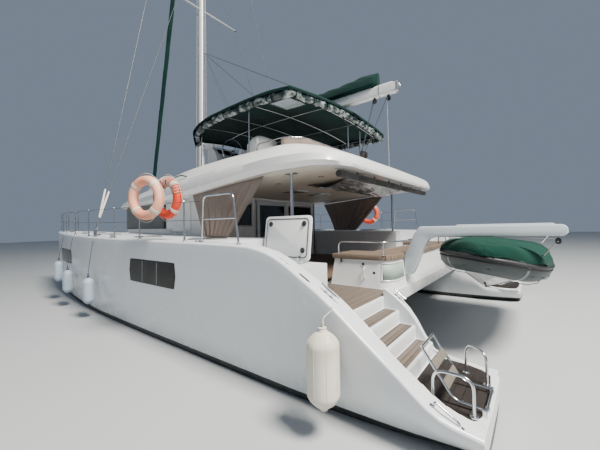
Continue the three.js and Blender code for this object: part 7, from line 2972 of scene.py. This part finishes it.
@dataclass
class Fenders:
    """Inflated fenders hung along the port side on their lanyards."""

    # node, centre, radius, length, body's finish, ends' finish, lanyard's head
    table: tuple[tuple, ...] = (
        ("fender_quarter", (-5.4, 4.05, 0.64), 0.15, 0.68, FENDER_WHITE, FENDER_WHITE, (-5.38, 3.85, 1.155)),
        ("fender_bow_aft", (0.71, 3.965, 0.62), 0.108, 0.56, FENDER_BLUE, FENDER_NAVY, (0.71, 3.86, 1.69)),
        ("fender_bow_middle", (2.3, 3.905, 0.66), 0.108, 0.56, FENDER_BLUE, FENDER_NAVY, (2.3, 3.79, 1.73)),
        ("fender_bow_forward", (3.35, 3.82, 0.82), 0.108, 0.56, FENDER_BLUE, FENDER_NAVY, (3.35, 3.7, 1.76)),
    )

    def build(self) -> None:
        """Builds every fender."""
        for node, centre, radius, length, finish, ends, head in self.table:
            half = length / 2
            profile = [(0.0, -half)]
            for t in np.linspace(0, 1, 12):
                profile.append((radius * (0.32 + 0.68 * math.sin(math.pi / 2 * t) ** 0.8),
                                -half * (1 - 0.38 * t)))
            profile += [(radius, z) for z in np.linspace(-0.55 * half, 0.55 * half, 6)]
            for t in np.linspace(1, 0, 12):
                profile.append((radius * (0.32 + 0.68 * math.sin(math.pi / 2 * t) ** 0.8),
                                half * (1 - 0.38 * t)))
            profile.append((0.0, half))
            Form().lathe(profile, centre, sides=48).piece(f"{node}_body", finish, replaces=[node])
            x, y, z = centre
            caps, seams = Form(), Form()
            for sign in (1, -1):
                turned = ((0.36, 0.44), (0.4, 0.475), (0.3, 0.5), (0.24, 0.54), (0.26, 0.555), (0.12, 0.56))
                top = [(radius * wide, high * length) for wide, high in turned]
                caps.lathe([(r, sign * h) for r, h in (top if sign > 0 else top[:4])], centre, sides=32)
            for a in range(8):
                angle = math.tau * a / 8
                rib = [(x + (r + 0.0008) * math.cos(angle), y + (r + 0.0008) * math.sin(angle), z + h) for r,
                       h in profile[3:-3]]
                seams.tube(rib, 0.0022, 6)
            caps.piece(f"{node}_ends", ends)
            seams.piece(f"{node}_ribs", finish)
            top_z = z + 0.55 * length
            line = [(x, y, top_z - 0.02), (x, y, top_z + 0.08), (head[0], head[1] + 0.01, head[2] - 0.03),
                    head]
            lanyard = Form().tube(line, 0.006, 10, 0.05)
            for k in range(3):
                turn = [(x + 0.011 * math.cos(a), y + 0.011 * math.sin(a),
                         top_z + 0.02 + 0.012 * k + 0.002 * a) for a in np.linspace(0, math.tau, 16)]
                lanyard.tube(turn, 0.005, 8)
            lanyard.piece(f"{node}_lanyard", WHITE_ROPE if finish is FENDER_WHITE else DARK_ROPE)


# Studio


@dataclass
class Studio:
    """The floor at the waterline, the soft lights and the camera at the photograph's place."""

    lens_mm: float = 18.3
    sensor_mm: float = 36.0
    eye: Point = (-6.95, 6.35, 1.95)
    yaw_deg: float = 52.2
    roll_deg: float = -1.1
    floor_half: float = 60.0

    def camera(self) -> None:
        """Camera off the port quarter, level and looking forward across the boat."""
        data = bpy.data.cameras.new("camera")
        data.lens, data.sensor_width, data.sensor_fit = self.lens_mm, self.sensor_mm, "HORIZONTAL"
        data.clip_start, data.clip_end = 0.05, 400.0
        camera = add_object("camera", data)
        yaw, roll = math.radians(self.yaw_deg), math.radians(self.roll_deg)
        look = Vector((math.cos(yaw), -math.sin(yaw), 0))
        right, up = Vector((-math.sin(yaw), -math.cos(yaw), 0)), Vector((0, 0, 1))
        side = right * math.cos(roll) + up * math.sin(roll)
        over = up * math.cos(roll) - right * math.sin(roll)
        turn = Matrix((side, over, -look)).transposed().to_4x4()
        camera.matrix_world = Matrix.Translation(self.eye) @ turn
        bpy.context.scene.camera = camera

    def area(self, name: str, place: Point, aim: Point, size: float, power: float, colour: Colour) -> None:
        """Adds a soft square light that looks at a point."""
        data = bpy.data.lights.new(name, "AREA")
        data.size, data.energy, data.color = size, power, colour
        light = add_object(name, data)
        way = Vector(aim) - Vector(place)
        light.matrix_world = Matrix.Translation(place) @ way.to_track_quat("-Z", "Y").to_matrix().to_4x4()

    def floor(self) -> None:
        """Pale floor at the waterline."""
        half = self.floor_half
        mesh = Form().add([(-half, -half, 0), (half, -half, 0), (half, half, 0), (-half, half, 0)],
                          [(0, 1, 2, 3)]).mesh("floor")
        floor = add_object("floor", mesh)
        mesh.materials.append(material_of(Moulded("studio_floor", (0.43, 0.45, 0.46), (0.4, 0.42, 0.43), 0.85,
                                                  0.0, patch=0.05)))

    def build(self) -> None:
        """Sets up the camera, the floor and the lights."""
        self.camera()
        self.floor()
        world = bpy.data.worlds.new("studio")
        bpy.context.scene.world = world
        world.use_nodes = True
        back = world.node_tree.nodes["Background"]
        back.inputs["Color"].default_value = (0.6, 0.74, 0.95, 1.0)
        back.inputs["Strength"].default_value = 0.31
        self.area("key", (-17, 4.5, 20), (-2.5, 1, 1), 6.0, 16500.0, (1.0, 0.95, 0.86))
        self.area("fill", (-12, 18, 9), (-2, 2, 1), 12.0, 150.0, (0.85, 0.92, 1.0))


def main() -> None:
    """Builds the studio and then every part of the boat."""
    logging.basicConfig(level=logging.INFO, format="%(message)s")
    Studio().build()
    parts = (
        Hulls(), BridgeDeck(), HOUSE_ROOF, Saloon(HOUSE_ROOF), Flybridge(), Bimini(), Rig(), Foredeck(),
        SideDecks(), Cockpit(), SternGear(), Tender(), Fenders(),
    )
    for part in parts:
        part.build()


if __name__ == "__main__":
    main()
